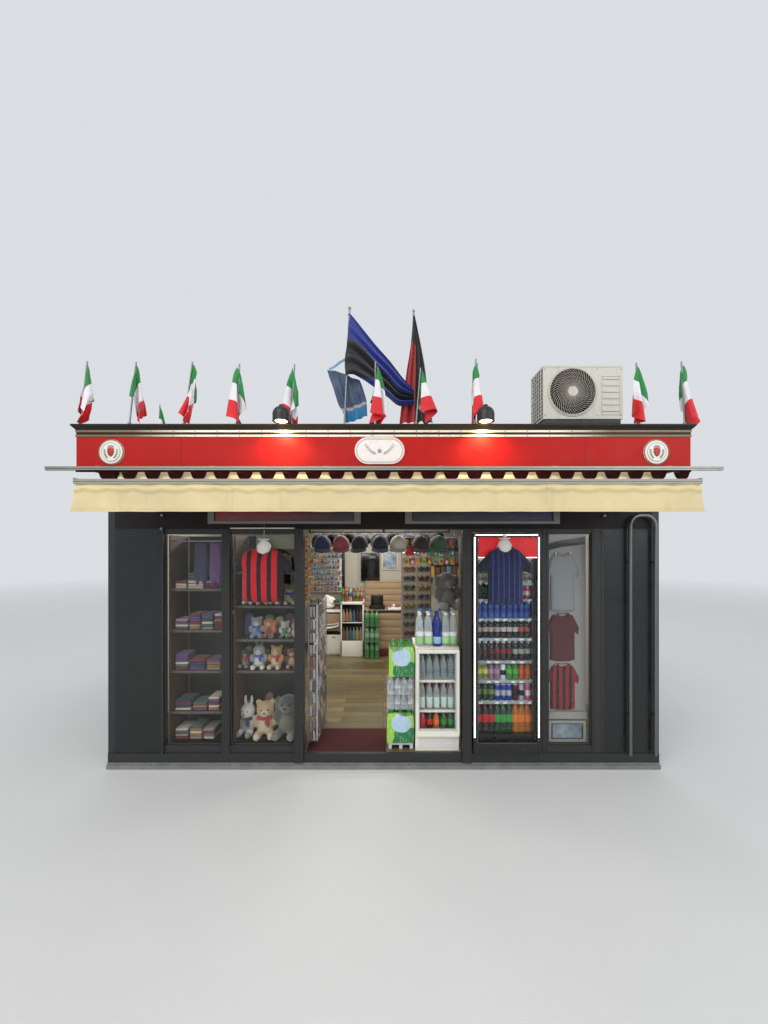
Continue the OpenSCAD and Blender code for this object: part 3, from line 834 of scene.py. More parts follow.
def front_valance():
    """Cream valance under the front bar: soft standing ripples, a stitched hem and a rope seam along the top."""
    xa, xb, z0, drop = -2.366, 2.432, 2.519, 0.213
    def fn(u, v):
        x = xa + (xb - xa) * u
        e = (2 * u - 1)
        x += e * 0.034 * v ** 1.3 * (0.55 + 0.45 * abs(e) ** 6)
        n = noise.noise(Vector((x * 2.2, 0.3, v * 0.8)))
        r = math.sin(x * 2 * math.pi / 0.27 + 1.6 * n) * 0.0032 + 0.006 * noise.noise(Vector((x * 4.1, 1.7, v * 1.4)))
        p = abs(math.sin(x * math.pi / 0.205 + 1.9 * noise.noise(Vector((x * 0.9, 8.0, 2.0)))))
        k = 0.6 + 0.8 * noise.noise(Vector((x * 1.7, 3.0, 9.0)))
        r -= 0.0085 * max(0.0, k) * (1 - p) ** 1.6 * math.sin(math.pi * min(1, v * 1.25)) ** 0.7
        b = 0.17 + 0.075 * abs(math.sin(x * math.pi / 0.19 + 2.2 * noise.noise(Vector((x * 1.1, 4.0, 1.0))))) - 0.03 + 0.05 * noise.noise(Vector((x * 2.6, 6.0, 4.0)))
        q = min(1.0, v / b)
        t = min(1.0, max(0.0, (v - b) / 0.16))
        r -= 0.0165 * q * q * (3 - 2 * q) - 0.0150 * t * t * (3 - 2 * t)
        y = -2.6045 + r - 0.008 * v * v
        dip = 0.0007 * math.sin(x * 2 * math.pi / 0.335 + 0.8) + 0.0008 * noise.noise(Vector((x * 1.3, 5.0, 0)))
        return (x, y, z0 - drop * v + dip * v)
    g = Geo()
    v, f, uv = sheet_grid(fn, 420, 22)
    g.add(v, f, 0, uv=uv)
    # turned hem, and the bead along the bar
    for vv, dz in ((0.90, 0.0), (0.905, 0.0)):
        pts = [fn(i / 300, vv) for i in range(301)]
        g.add(*tube([(p[0], p[1] - 0.0012, p[2] + dz) for p in pts], 0.0012, 4), 1)
    pts = [fn(i / 300, 1.0) for i in range(301)]
    g.add(*tube([(p[0], p[1], p[2]) for p in pts], 0.0024, 5), 1)
    pts = [fn(i / 200, 0.012) for i in range(201)]
    g.add(*tube([(p[0], p[1], p[2]) for p in pts], 0.0045, 6), 1)
    # seams between the widths
    for i in (1, 2, 3):
        pts = [fn(i / 4 + 0.003, t / 20) for t in range(21)]
        g.add(*tube([(p[0], p[1] - 0.001, p[2]) for p in pts], 0.0014, 4), 1)
    o = g.make("front_valance_cloth", [MM["cream"], MM["cream_hem"]], sharp=60)
    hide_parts("awning_valance")


scallops()
canopy()
front_valance()


# ------------------------------------------------------------------ flags
def banded(name, stops, along="u", weave=900, rough=0.7, sheen=0.35):
    """Printed polyester: bands of colour along U or V of the cloth, with a light weave."""
    m = Mat(name, rough, 0.0, Sheen_Weight=sheen, Sheen_Roughness=0.4)
    s = m.new("SeparateXYZ")
    m.put(s.inputs[0], m.uv())
    c = m.ramp(s.outputs[0 if along == "u" else 1], stops, "CONSTANT")
    cloth_nodes(m, c, weave, depth=0.2, shade=0.2, soil=0.12)
    m.rough(m.span(m.noise(24, 3), 0.3, 0.7, rough - 0.1, rough + 0.12))
    return m.m


G3 = [(0.0, lin(30, 132, 62)), (0.333, lin(232, 228, 232)), (0.667, lin(214, 26, 38))]
MM["tricolour"] = banded("flag_tricolour", G3)
# pole foot x, pole y, top z, lean, side to which the cloth swings, turn of the cloth
FY = -2.150
SMALL = [
    (-2.680, FY, 3.677, 6.1, 1, 35), (-2.247, FY, 3.673, 6.1, 1, 40), (-1.762, FY, 3.675, 7.4, 1, 50),
    (-1.294, FY, 3.655, 2.2, -1, 20), (-0.816, FY, 3.651, 3.2, -1, -20), (-0.075, FY - 0.03, 3.662, 0.5, 1, 40),
    (0.287, FY, 3.621, 4.7, 1, 15), (0.809, FY, 3.700, 0.7, 1, -30), (2.256, FY, 3.664, -2.0, 1, 40),
    (2.665, FY, 3.677, -3.0, 1, 20), (-2.570, -1.120, 3.680, 0.0, 1, 40)]
# how far the cloth reaches to the left and right of the pole, and how the breeze carries its lower end
WIDE = [(0.090, 0.105), (0.052, 0.110), (0.048, 0.064), (0.116, 0.063), (0.118, 0.052), (0.058, 0.150), (0.012, 0.165), (0.031, 0.100), (0.078, 0.094), (0.014, 0.139), (0.050, 0.060)]
SWAY = [-0.025, 0.01, -0.01, 0.0, 0.0, -0.04, 0.03, 0.0, 0.0, 0.035, 0.0]
LIFT = [0.0, 0.0, 0.0, 0.0, 0.0, 0.0, 0.45, 0.0, 0.0, 0.0, 0.0]
NH, NF = 14, 21
HOIST, FLY = 0.30, 0.45


def small_flags():
    pts, faces, pins = [], [], []
    for k, (x, y, z, lean, side, turn) in enumerate(SMALL):
        cz = 3.112 if y < -2 else 3.092
        t = math.tan(math.radians(lean))
        a = math.radians(turn)
        d = Vector((math.cos(a) * side, -math.sin(a), 0))
        w = Vector((-d.y, d.x, 0))
        base = len(pts)
        r2 = random.Random(100 + k)
        ph, am = r2.uniform(0, 6), r2.uniform(0.02, 0.05)
        # the cloth starts stretched out to its side in soft pleats of its true length, and falls from there
        path, q = [Vector((0, 0, 0))], Vector((0, 0, 0))
        for j in range(NF):
            v = (j + 0.5) / NF
            q = q + (d + w * (0.9 + am * 8) * math.cos(v * 13 + ph) * min(1, v * 3) + Vector((0, 0, -0.25))).normalized() * (FLY / NF)
            path.append(q)
        for j in range(NF + 1):
            for i in range(NH + 1):
                s = (z - 0.02 - cz) - i / NH * HOIST
                pts.append(Vector((x + s * t, y, cz + s)) + d * 0.009 + path[j])
                if j == 0:
                    pins.append(len(pts) - 1)
        for j in range(NF):
            for i in range(NH):
                q = base + j * (NH + 1) + i
                faces.append((q, q + 1, q + NH + 2, q + NH + 1))
    me = bpy.data.meshes.new("flag_sim")
    me.from_pydata([tuple(p) for p in pts], [], faces)
    o = bpy.data.objects.new("flag_sim", me)
    scene.collection.objects.link(o)
    vg = o.vertex_groups.new(name="pin")
    vg.add(pins, 1.0, "REPLACE")
    c = o.modifiers.new("cloth", "CLOTH")
    s = c.settings
    s.quality = 6
    s.mass = 0.12
    s.air_damping = 2.0
    s.tension_stiffness = 12
    s.compression_stiffness = 12
    s.shear_stiffness = 4
    s.bending_stiffness = 0.06
    s.vertex_group_mass = "pin"
    c.collision_settings.use_collision = False
    c.collision_settings.use_self_collision = True
    c.collision_settings.self_distance_min = 0.004
    scene.frame_start, scene.frame_end = 1, 90
    c.point_cache.frame_start, c.point_cache.frame_end = 1, 90
    for fr in range(1, 91):
        scene.frame_set(fr)
    dg = bpy.context.evaluated_depsgraph_get()
    ev = o.evaluated_get(dg)
    co = np.zeros(len(pts) * 3)
    ev.to_mesh().vertices.foreach_get("co", co)
    ev.to_mesh_clear()
    pts = co.reshape(-1, 3)
    scene.frame_set(1)
    bpy.data.objects.remove(o)
    per = (NH + 1) * (NF + 1)
    for k, (x, y, z, lean, side, turn) in enumerate(SMALL):
        # the cloth opens to the width that shows, and is not stretched along its fly
        q = pts[k * per:(k + 1) * per]
        cz = 3.112 if y < -2 else 3.092
        foot = x + (q[:, 2] - cz) * math.tan(math.radians(lean))
        d = q[:, 0] - foot
        left, right = WIDE[k]
        for _ in range(3):
            d = np.where(d < -left, -2 * left - d, d)
            d = np.where(d > right, 2 * right - d, d)
        d = np.where(d < 0, d * min(2.2, max(1.0, left / max(0.02, -d.min()))), d * min(2.2, max(1.0, right / max(0.02, d.max()))))
        drop = np.clip((q[:, 2].max() - q[:, 2]) / 0.5, 0, 1)
        q[:, 0] = foot + d + SWAY[k] * drop ** 2
        q[:, 2] += LIFT[k] * np.clip(d, 0, 1)
        if k == 6:
            top = q[:, 2].max()
            q[:, 2] = top - (top - q[:, 2]) * 0.87
        if k == 0:
            # the lower corner at the pole hangs behind the rest
            n = np.arange(len(q))
            q[:, 1] += 0.035 * np.sin(math.pi * np.clip((n // (NH + 1)) / NF / 0.38, 0, 1)) * np.clip((n % (NH + 1)) / NH * 1.6 - 0.6, 0, 1)
        if k != 5:
            q[:, 2] = np.where(q[:, 2] < cz + 0.008, cz + 0.008 + (cz + 0.008 - q[:, 2]) * 0.6, q[:, 2])
    uv = [(j / NF, 1 - i / NH) for j in range(NF + 1) for i in range(NH + 1)]
    f1 = faces[: NH * NF]
    for k in range(len(SMALL)):
        g = Geo()
        g.add(pts[k * per:(k + 1) * per], f1, 0, uv=uv)
        o = g.make(f"small_flag_{k + 1}", MM["tricolour"], sharp=170)
        m = o.modifiers.new("smooth", "SUBSURF")
        m.levels = m.render_levels = 1
        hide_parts("small_flags")


def fold_depth(line, n, length, cap, phase):
    """Depth of n folds that give a line of points the wanted length, and no more than cap deep."""
    seg = np.linalg.norm(np.diff(line, axis=0), axis=1)
    t = np.concatenate([[0], np.cumsum(seg)])
    t = t / max(t[-1], 1e-9)
    wave_ = np.sin(2 * math.pi * n * t + phase) * np.minimum(1, 6 * t) ** 0.5
    lo, hi = 0.0, cap
    for _ in range(18):
        m = (lo + hi) / 2
        p = line.copy()
        p[:, 1] += m * wave_
        if np.linalg.norm(np.diff(p, axis=0), axis=1).sum() < length:
            lo = m
        else:
            hi = m
    return lo, wave_


def flag_from(name, rows, y0, mat, n, cap, across, cut, nu=44, nv=34, wrinkle=0.004, seed=0):
    """Cloth over rows of control points (pixel x, pixel y, depth shift), folded until its lines have the length of the cut.

    across: True folds from row to row, False along each row. cut: wanted length of a folded line at both ends."""
    curves = [[cat([(p[0], p[1], p[2]) for p in row], i / nu) for i in range(nu + 1)] for row in rows]
    P = np.zeros((nv + 1, nu + 1, 3))
    for j in range(nv + 1):
        for i in range(nu + 1):
            q = cat([c[i] for c in curves], j / nv)
            Y = y0 + q[2] * (0.5 if across else 1.0)
            P[j, i] = at(q[0], q[1], Y)
    lines = [P[:, i].copy() for i in range(nu + 1)] if across else [P[j].copy() for j in range(nv + 1)]
    m = len(lines) - 1
    got = [fold_depth(l, n, cut[0] + (cut[1] - cut[0]) * i / m, cap, 1.1 * i / m) for i, l in enumerate(lines)]
    amp = np.array([q[0] for q in got])
    for _ in range(6):
        amp = np.convolve(np.pad(amp, 1, mode="edge"), [0.25, 0.5, 0.25], "valid")
    for i, (_, w) in enumerate(got):
        lines[i][:, 1] += amp[i] * w
    for i, l in enumerate(lines):
        if across:
            P[:, i] = l
        else:
            P[i] = l
    v, uv, f = [], [], []
    for j in range(nv + 1):
        for i in range(nu + 1):
            u, w = i / nu, j / nv
            d = wrinkle * (noise.noise(Vector((u * 6 + seed, w * 3, seed))) + 0.5 * noise.noise(Vector((u * 14, w * 9 + seed, 3.0))))
            v.append((P[j, i, 0], P[j, i, 1] + d, P[j, i, 2]))
            uv.append((u, 1 - w))
    for j in range(nv):
        for i in range(nu):
            a = j * (nu + 1) + i
            f.append((a, a + 1, a + nu + 2, a + nu + 1))
    g = Geo()
    g.add(v, f, 0, uv=uv)
    o = g.make(name, mat, sharp=170)
    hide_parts("tall_flags")
    return o


def ring_bands():
    """Blue cloth with a black field between two slanting edges, without any lettering."""
    m = Mat("flag_blue_black", 0.62, 0.0, Sheen_Weight=0.3, Sheen_Roughness=0.4)
    q = m.new("SeparateXYZ")
    m.put(q.inputs[0], m.uv())
    u, w = q.outputs[0], m.math("SUBTRACT", 1.0, q.outputs[1])
    top = m.math("ADD", 0.36, m.math("MULTIPLY", u, 0.10))
    low = m.math("SUBTRACT", 1.16, m.math("MULTIPLY", m.math("POWER", u, 0.7), 0.46))
    k = m.math("MULTIPLY", m.math("GREATER_THAN", w, top), m.math("LESS_THAN", w, low))
    c = m.mix(k, lin(36, 54, 140), lin(24, 24, 28))
    cloth_nodes(m, c, 900, depth=0.2, shade=0.22, soil=0.08)
    m.rough(m.span(m.noise(24, 3), 0.3, 0.7, 0.5, 0.74))
    return m.m


MM["flag_a"] = ring_bands()
def half_bands():
    """Red and black cloth, folded so that its upper corner shows the black half only."""
    m = Mat("flag_red_black", 0.62, 0.0, Sheen_Weight=0.3, Sheen_Roughness=0.4)
    q = m.new("SeparateXYZ")
    m.put(q.inputs[0], m.uv())
    u, w = q.outputs[0], m.math("SUBTRACT", 1.0, q.outputs[1])
    k = m.math("MULTIPLY", m.math("LESS_THAN", u, 0.47), m.math("GREATER_THAN", w, m.math("ADD", 0.24, m.math("MULTIPLY", u, 0.12))))
    cloth_nodes(m, m.mix(k, lin(34, 28, 30), lin(186, 36, 40)), 900, depth=0.2, shade=0.2, soil=0.12)
    m.rough(m.span(m.noise(24, 3), 0.3, 0.7, 0.5, 0.74))
    return m.m


MM["flag_b"] = half_bands()
MM["flag_c"] = banded("flag_slate", [(0.0, lin(46, 128, 172)), (0.22, lin(178, 170, 166)), (0.31, lin(72, 88, 116)), (0.99, lin(62, 92, 116))], "v")
MM["ribbon"] = cloth("flag_ribbon", (110, 160, 196), 0.7, 900, 0.3, soil=0.1)


def tall_flags():
    a = [
        [(349.6, 313, 0), (356.5, 321, -.012), (366, 333, -.02), (377, 346.5, -.03), (389, 360, -.015), (403, 378, -.03), (413.6, 389.6, -.02)],
        [(348.4, 326, 0), (355, 330, .012), (364.5, 340, .02), (375, 352, .015), (388, 366, .035), (402, 383, .02), (413.8, 392, .01)],
        [(347, 342, 0), (354, 341.5, -.01), (364, 348, -.02), (374, 361.5, -.035), (387, 375, -.02), (400, 389, -.03), (413.6, 394.5, -.03)],
        [(345.4, 354, 0), (353, 355, .01), (363.5, 362, .015), (373.5, 370, .02), (387, 382.5, .03), (399.5, 394, .015), (413.8, 397.5, .02)],
        [(344.6, 364.5, 0), (352.7, 366, -.01), (362.7, 371.5, -.012), (373, 377.5, -.025), (387, 389, -.02), (399, 399.5, -.02), (414.2, 400, -.02)],
        [(345.7, 375.2, 0), (353, 374.2, .01), (362, 378.6, .01), (372, 385, .01), (386.6, 395.5, .02), (399, 404.8, .015), (414.4, 403.6, .01)]]
    flag_from("tall_flag_banded", a, -1.798, MM["flag_a"], 4, 0.036, True, (0.62, 0.61), nu=48, nv=88, wrinkle=0.004, seed=2)
    def row(x0, x1, y, ph):
        return [(x0 + (x1 - x0) * i / 8, y + 0.8 * math.sin(i * 2.1 + ph), 0) for i in range(9)]
    b = [row(413.0, 414.6, 315.5, 0), row(411.8, 418.4, 333, 1), row(410.0, 422.0, 350, 2), row(407.0, 425.2, 368, 0.5),
         row(404.6, 427.4, 385, 1.2), row(401.8, 430.4, 402, 2.2), row(399.4, 433.0, 423, 0.2)]
    flag_from("tall_flag_limp", b, -1.738, MM["flag_b"], 4, 0.036, False, (0.12, 0.90), nu=104, nv=44, wrinkle=0.003, seed=5)
    c = [
        [(327, 369.8, 0), (335, 371, -.01), (344, 373.6, .005), (352, 377.5, -.01), (359.8, 380.4, 0)],
        [(329.5, 378, .005), (338, 380, .012), (347, 383, -.006), (355, 385, .008), (362, 385.6, 0)],
        [(333, 387.5, 0), (341, 389, -.012), (349, 390.5, .006), (357, 391.5, -.01), (363.8, 391, 0)],
        [(338.2, 404, 0), (345, 404.4, .012), (352, 403, -.008), (359.5, 401, .01), (366.2, 399.4, .004)],
        [(343.2, 413, 0), (349, 412, -.01), (355, 410, .006), (361.4, 407, -.008), (366.8, 405, 0)],
        [(345.8, 423, 0), (351, 422, .01), (356, 420.4, -.006), (362, 418, .008), (367.2, 415.8, 0)]]
    flag_from("tall_flag_slate", c, -1.712, MM["flag_c"], 3, 0.014, False, (0.36, 0.36), nu=60, nv=44, wrinkle=0.004, seed=9)
    g = Geo()
    rib = [at(345.3, 359.5, -1.716), at(340.6, 362, -1.722), at(334.6, 366.6, -1.716), at(329.2, 369.4, -1.712)]
    def strip(u, v):
        p = Vector(cat(rib, u))
        return p + Vector((-0.0145, 0.004 * math.sin(u * 9), 0.025)) * (v - 0.5) * (1.08 - 0.22 * math.sin(u * 3.1))
    v, f, uv = sheet_grid(strip, 20, 4)
    g.add(v, f, 0, uv=uv)
    o = g.make("tall_flag_tie", MM["ribbon"], sharp=170)
    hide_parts("tall_flags")
    # ties of the banded flag and the caps on the pole tips
    g = Geo()
    for z, x in ((4.330, -0.337), (3.90, -0.3575), (3.76, -0.364)):
        g.add(*tube([(x + 0.012 * math.cos(t), -1.750 + 0.012 * math.sin(t), z) for t in [i * math.pi / 8 for i in range(16)]], 0.003, 6, closed=True), 0)
    g.add(*lathe([(0.009, 0), (0.013, 0.004), (0.015, 0.012), (0.012, 0.021), (0.004, 0.026)], 14)[:2], 1, M=move(-0.3342, -1.75, 4.385))
    g.add(*lathe([(0.009, 0), (0.012, 0.004), (0.013, 0.012), (0.010, 0.019), (0.003, 0.023)], 14)[:2], 1, M=move(0.3005, -1.70, 4.388))
    g.make("tall_pole_ties", [MM["dark_plastic"], MM["galv"]])


small_flags()
tall_flags()


# ------------------------------------------------------------------ door mat
def door_mat():
    lo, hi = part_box("door_mat")
    g = Geo()
    w, l = hi.x - lo.x, hi.y - lo.y
    def top(u, v):
        e = min(u * w, (1 - u) * w, v * l, (1 - v) * l)
        h = 0.0078 * min(1, e / 0.012) ** 0.5
        return (lo.x + w * u, lo.y + l * v, lo.z + 0.0005 + h + 0.0009 * noise.noise(Vector((u * 60, v * 40, 0))))
    v, f, uv = sheet_grid(top, 110, 70)
    g.add(v, f, 0, uv=uv)
    # rubber edge
    e = [(lo.x + 0.004, lo.y + 0.004), (hi.x - 0.004, lo.y + 0.004), (hi.x - 0.004, hi.y - 0.004), (lo.x + 0.004, hi.y - 0.004)]
    pts = []
    for i in range(4):
        a, b = Vector(e[i]), Vector(e[(i + 1) % 4])
        pts += [tuple(a.lerp(b, t / 8)) + (lo.z + 0.0042,) for t in range(8)]
    g.add(*tube(pts, 0.0034, 6, closed=True), 1)
    o = g.make("entrance_mat", [MM["mat"], MM["dark_plastic"]], sharp=70)
    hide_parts("door_mat")


door_mat()


# ------------------------------------------------------------------ fascia, boards, lamps
MM["red_board"] = plastic("board_dark_red", (112, 20, 30), 0.3, 0.12)
MM["navy_board"] = plastic("board_navy", (20, 26, 54), 0.3, 0.14)
MM["green_relief"] = paint("relief_green", (52, 104, 62), 0.4, 0.12, 20, streak=0)
MM["gold"] = paint("relief_gold", (176, 138, 66), 0.35, 0.15, 20, metal=0.6, streak=0)
MM["shield_red"] = paint("relief_red", (170, 30, 36), 0.35, 0.12, 20, streak=0)
MM["grey_line"] = paint("relief_grey", (150, 148, 150), 0.45, 0.1, 20, streak=0)
MM["bulb"] = glow("lamp_glass", (255, 226, 178), 9.0, 0.05, 20)
# real LED strips, and also the painted highlight on the cooler door's stiles
MM["led"] = glow("led_strip", (255, 240, 236), 2.6, 0.10, 14)
MM["led_soft"] = glow("led_soft", (176, 186, 196), 0.22, 0.10, 14)
MM["led_red"] = glow("led_red", (206, 24, 28), 0.42, 0.25, 5)
MM["ceil_light"] = glow("ceiling_light", (255, 246, 232), 2.2, 0.06, 6)


def two_tone(name, a, b, x0, x1, rough=0.3):
    """Board whose print runs from one plain colour to the other between two places along X."""
    m = Mat(name, rough, 0.0, Coat_Weight=0.3, Coat_Roughness=0.15)
    x, y, z = m.xyz()
    f = m.math("ADD", m.span(x, x0, x1), m.math("MULTIPLY", m.math("SUBTRACT", m.noise(5, 3), 0.5), 0.25))
    c = m.ramp(f, [(0.0, lin(*a)), (1.0, lin(*b))])
    m.color(m.mix(m.span(m.noise(2.2, 5), 0.45, 0.8, 0, 0.35), c, lin(30, 24, 26)))
    m.rough(m.span(m.noise(8, 4), 0.3, 0.7, rough - 0.1, rough + 0.15))
    m.bump(m.noise(260, 2), 0.05, 0.0008)
    return m.m


def header_boards():
    g = Geo()
    for k, (x0, x1) in enumerate(((-1.605, -0.208), (0.198, 1.611))):
        g.add(*box_mesh((x0 + 0.062, -2.0275, 2.276), (x1 - 0.062, -2.0222, 2.614), 0.002), k)
        # corner screws of the frame
        for z in (2.262, 2.628):
            for x in (x0 + 0.03, (x0 + x1) / 2, x1 - 0.03):
                g.add(*ball((0.006, 0.003, 0.006), (x, -2.0405, z), 10, 6), 2)
    g.make("header_board_faces", [two_tone("board_a", (120, 18, 30), (30, 18, 24), -1.5, -0.35), two_tone("board_b", (24, 20, 26), (22, 30, 66), 0.3, 1.4), MM["galv"]])


def ring(r, w, h, n=64):
    """Flat ring with a rounded top, lying in X and Z with its face towards -Y."""
    prof = [(r - w, 0), (r - w, h * 0.7), (r - w * 0.7, h), (r - w * 0.3, h), (r, h * 0.7), (r, 0)]
    v, f = [], []
    for a, z in prof:
        for i in range(n):
            t = 2 * math.pi * i / n
            v.append((a * math.cos(t), -z, a * math.sin(t)))
    for k in range(len(prof) - 1):
        for i in range(n):
            j = (i + 1) % n
            f.append((k * n + i, k * n + j, (k + 1) * n + j, (k + 1) * n + i))
    return v, f


def stadium(hw, r, n=20):
    pts = []
    for i in range(n + 1):
        a = -math.pi / 2 + math.pi * i / n
        pts.append((hw + r * math.cos(a), r * math.sin(a)))
    for i in range(n + 1):
        a = math.pi / 2 + math.pi * i / n
        pts.append((-hw + r * math.cos(a), r * math.sin(a)))
    return pts


def leaf(c, ang, size, h=0.003):
    """Small pointed leaf in relief."""
    out = [(0, 0), (0.3, 0.19), (0.65, 0.17), (1, 0), (0.65, -0.17), (0.3, -0.19)]
    ca, sa = math.cos(ang), math.sin(ang)
    v = [(c[0] + size * (x * ca - z * sa), 0, c[1] + size * (x * sa + z * ca)) for x, z in out]
    v.append((c[0] + size * 0.5 * ca, -h, c[1] + size * 0.5 * sa))
    return v, [(i, (i + 1) % 6, 6) for i in range(6)]


def fascia_relief():
    g = Geo()
    # rim lines of the white oval plate
    cx, cz = -0.034, 2.883
    for hw, r, rad, mi in ((0.1, 0.1155, 0.0035, 0), (0.1, 0.103, 0.0016, 1), (0.1, 0.098, 0.0010, 1)):
        g.add(*tube([(cx + x, -2.1775, cz + z) for x, z in stadium(hw, r)], rad, 6, closed=True), mi)
    # a plain sprig of leaves on each side of a small rosette
    M0 = Matrix.Translation((cx, -2.1772, cz))
    for s in (-1, 1):
        pts = [(s * (0.022 + 0.012 * i), 0, -0.028 + 0.0011 * i * i) for i in range(9)]
        g.add(*tube(pts, 0.0012, 5), 1, M=M0)
        for i in range(1, 9):
            a = math.atan2(0.0022 * i, s * 0.012)
            for d in (-0.75, 0.75):
                g.add(*leaf((pts[i][0], pts[i][2]), a + d * s, 0.021), 1, M=M0)
    for i in range(8):
        g.add(*leaf((0, -0.004), i * math.pi / 4, 0.026, 0.004), 1, M=M0)
    g.add(*ball((0.006, 0.004, 0.006), (0, -0.002, -0.004), 12, 6), 1, M=M0)
    # the two round badges: ring, plain shield and leaves, without any charge
    for bx in (-2.394, 2.400):
        M1 = Matrix.Translation((bx, -2.1730, 2.872))
        g.add(*ring(0.111, 0.008, 0.0045), 0, M=M1)
        M2 = Matrix.Translation((bx, -2.1771, 2.872))
        g.add(*ring(0.083, 0.0035, 0.002), 3, M=M2)
        sh = [(-0.026, 0.034), (-0.030, 0.0), (-0.022, -0.026), (0, -0.044), (0.022, -0.026), (0.030, 0.0), (0.026, 0.034), (0.013, 0.030), (0, 0.036), (-0.013, 0.030)]
        v, f = puff(sh, 0.006, step=0.006, edge=0.02, both=False)
        g.add(v, f, 2, M=M2)
        g.add(*tube([(x, -0.001, z) for x, z in sh], 0.0022, 6, closed=True), 3, M=M2)
        for i in range(5):
            x = -0.02 + i * 0.01
            g.add(*tube([(x, -0.002, 0.042), (x * 1.3, -0.003, 0.056 + 0.004 * (2 - abs(i - 2)))], [0.003, 0.0012], 6), 3, M=M2)
        g.add(*tube([(-0.025, -0.002, 0.041), (0, -0.003, 0.043), (0.025, -0.002, 0.041)], 0.003, 6), 3, M=M2)
        for s in (-1, 1):
            arc = [(s * (0.018 + 0.038 * math.sin(t)), 0, -0.052 + 0.060 * (1 - math.cos(t))) for t in [i * 0.24 for i in range(8)]]
            g.add(*tube([(p[0], -0.001, p[2]) for p in arc], 0.0012, 5), 4, M=M2)
            for i in range(1, 8):
                a = math.atan2(arc[i][2] - arc[i - 1][2], arc[i][0] - arc[i - 1][0])
                for d in (-0.8, 0.8):
                    g.add(*leaf((arc[i][0], arc[i][2]), a + d, 0.017, 0.002), 4, M=M2)
    g.make("fascia_reliefs", [MM["trim"], MM["grey_line"], MM["shield_red"], MM["gold"], MM["green_relief"]], sharp=50)
    # joints of the fascia sheets, rivets, and the thin dull line above the rail
    g = Geo()
    for x in (-1.78, -0.89, 0.0, 0.89, 1.78):
        if abs(x) > 0.3:
            g.add(*box_mesh((x - 0.0012, -2.1662, 2.745), (x + 0.0012, -2.1640, 3.004), 0.0004, 1), 0)
    g.add(*box_mesh((-2.706, -2.1685, 2.7385), (2.706, -2.1645, 2.7465), 0.001), 1)
    for s in (-1, 1):
        g.add(*box_mesh((s * 2.7065 - 0.002, -2.168, 2.7385), (s * 2.7065 + 0.002, 2.168, 2.7465), 0.001), 1)
    for i in range(28):
        x = -2.63 + i * 5.26 / 27
        g.add(*ball((0.0055, 0.0035, 0.0055), (x, -2.1715, 3.0155), 8, 5), 2)
        g.add(*ball((0.0055, 0.0035, 0.0055), (x, -2.1715, 3.055), 8, 5), 2)
    g.make("fascia_joints", [MM["bronze"], MM["rail"], MM["galv"]])


def lamps():
    g = Geo()
    for x in (-0.884, 0.884):
        M = move(x, -2.227, 3.120)
        # reflector and glass
        prof = [(0.064, 0.004), (0.060, 0.014), (0.045, 0.028), (0.018, 0.036), (0.002, 0.037)]
        g.add(*lathe(prof, 28)[:2], 0, M=M)
        g.add(*lathe([(0.058, 0.010), (0.052, 0.004), (0.030, -0.002), (0.002, -0.004)], 28)[:2], 1, M=M)
        # rolled rim, top vent and the bracket's screws
        g.add(*tube([(x + 0.0725 * math.cos(t), -2.227 + 0.0725 * math.sin(t), 3.1225) for t in [i * math.pi / 18 for i in range(36)]], 0.0032, 6, closed=True), 2)
        g.add(*lathe([(0.020, 0), (0.020, 0.010), (0.014, 0.016), (0.002, 0.018)], 18)[:2], 2, M=move(x, -2.227, 3.252))
        for dy in (0.03, 0.07):
            g.add(*ball((0.006, 0.006, 0.003), (x, -2.21 + 0.2 + dy, 3.1365), 8, 5), 3)
    g.make("lamp_glasses", [MM["bar"], MM["bulb"], MM["lamp"], MM["galv"]])


header_boards()
fascia_relief()
lamps()


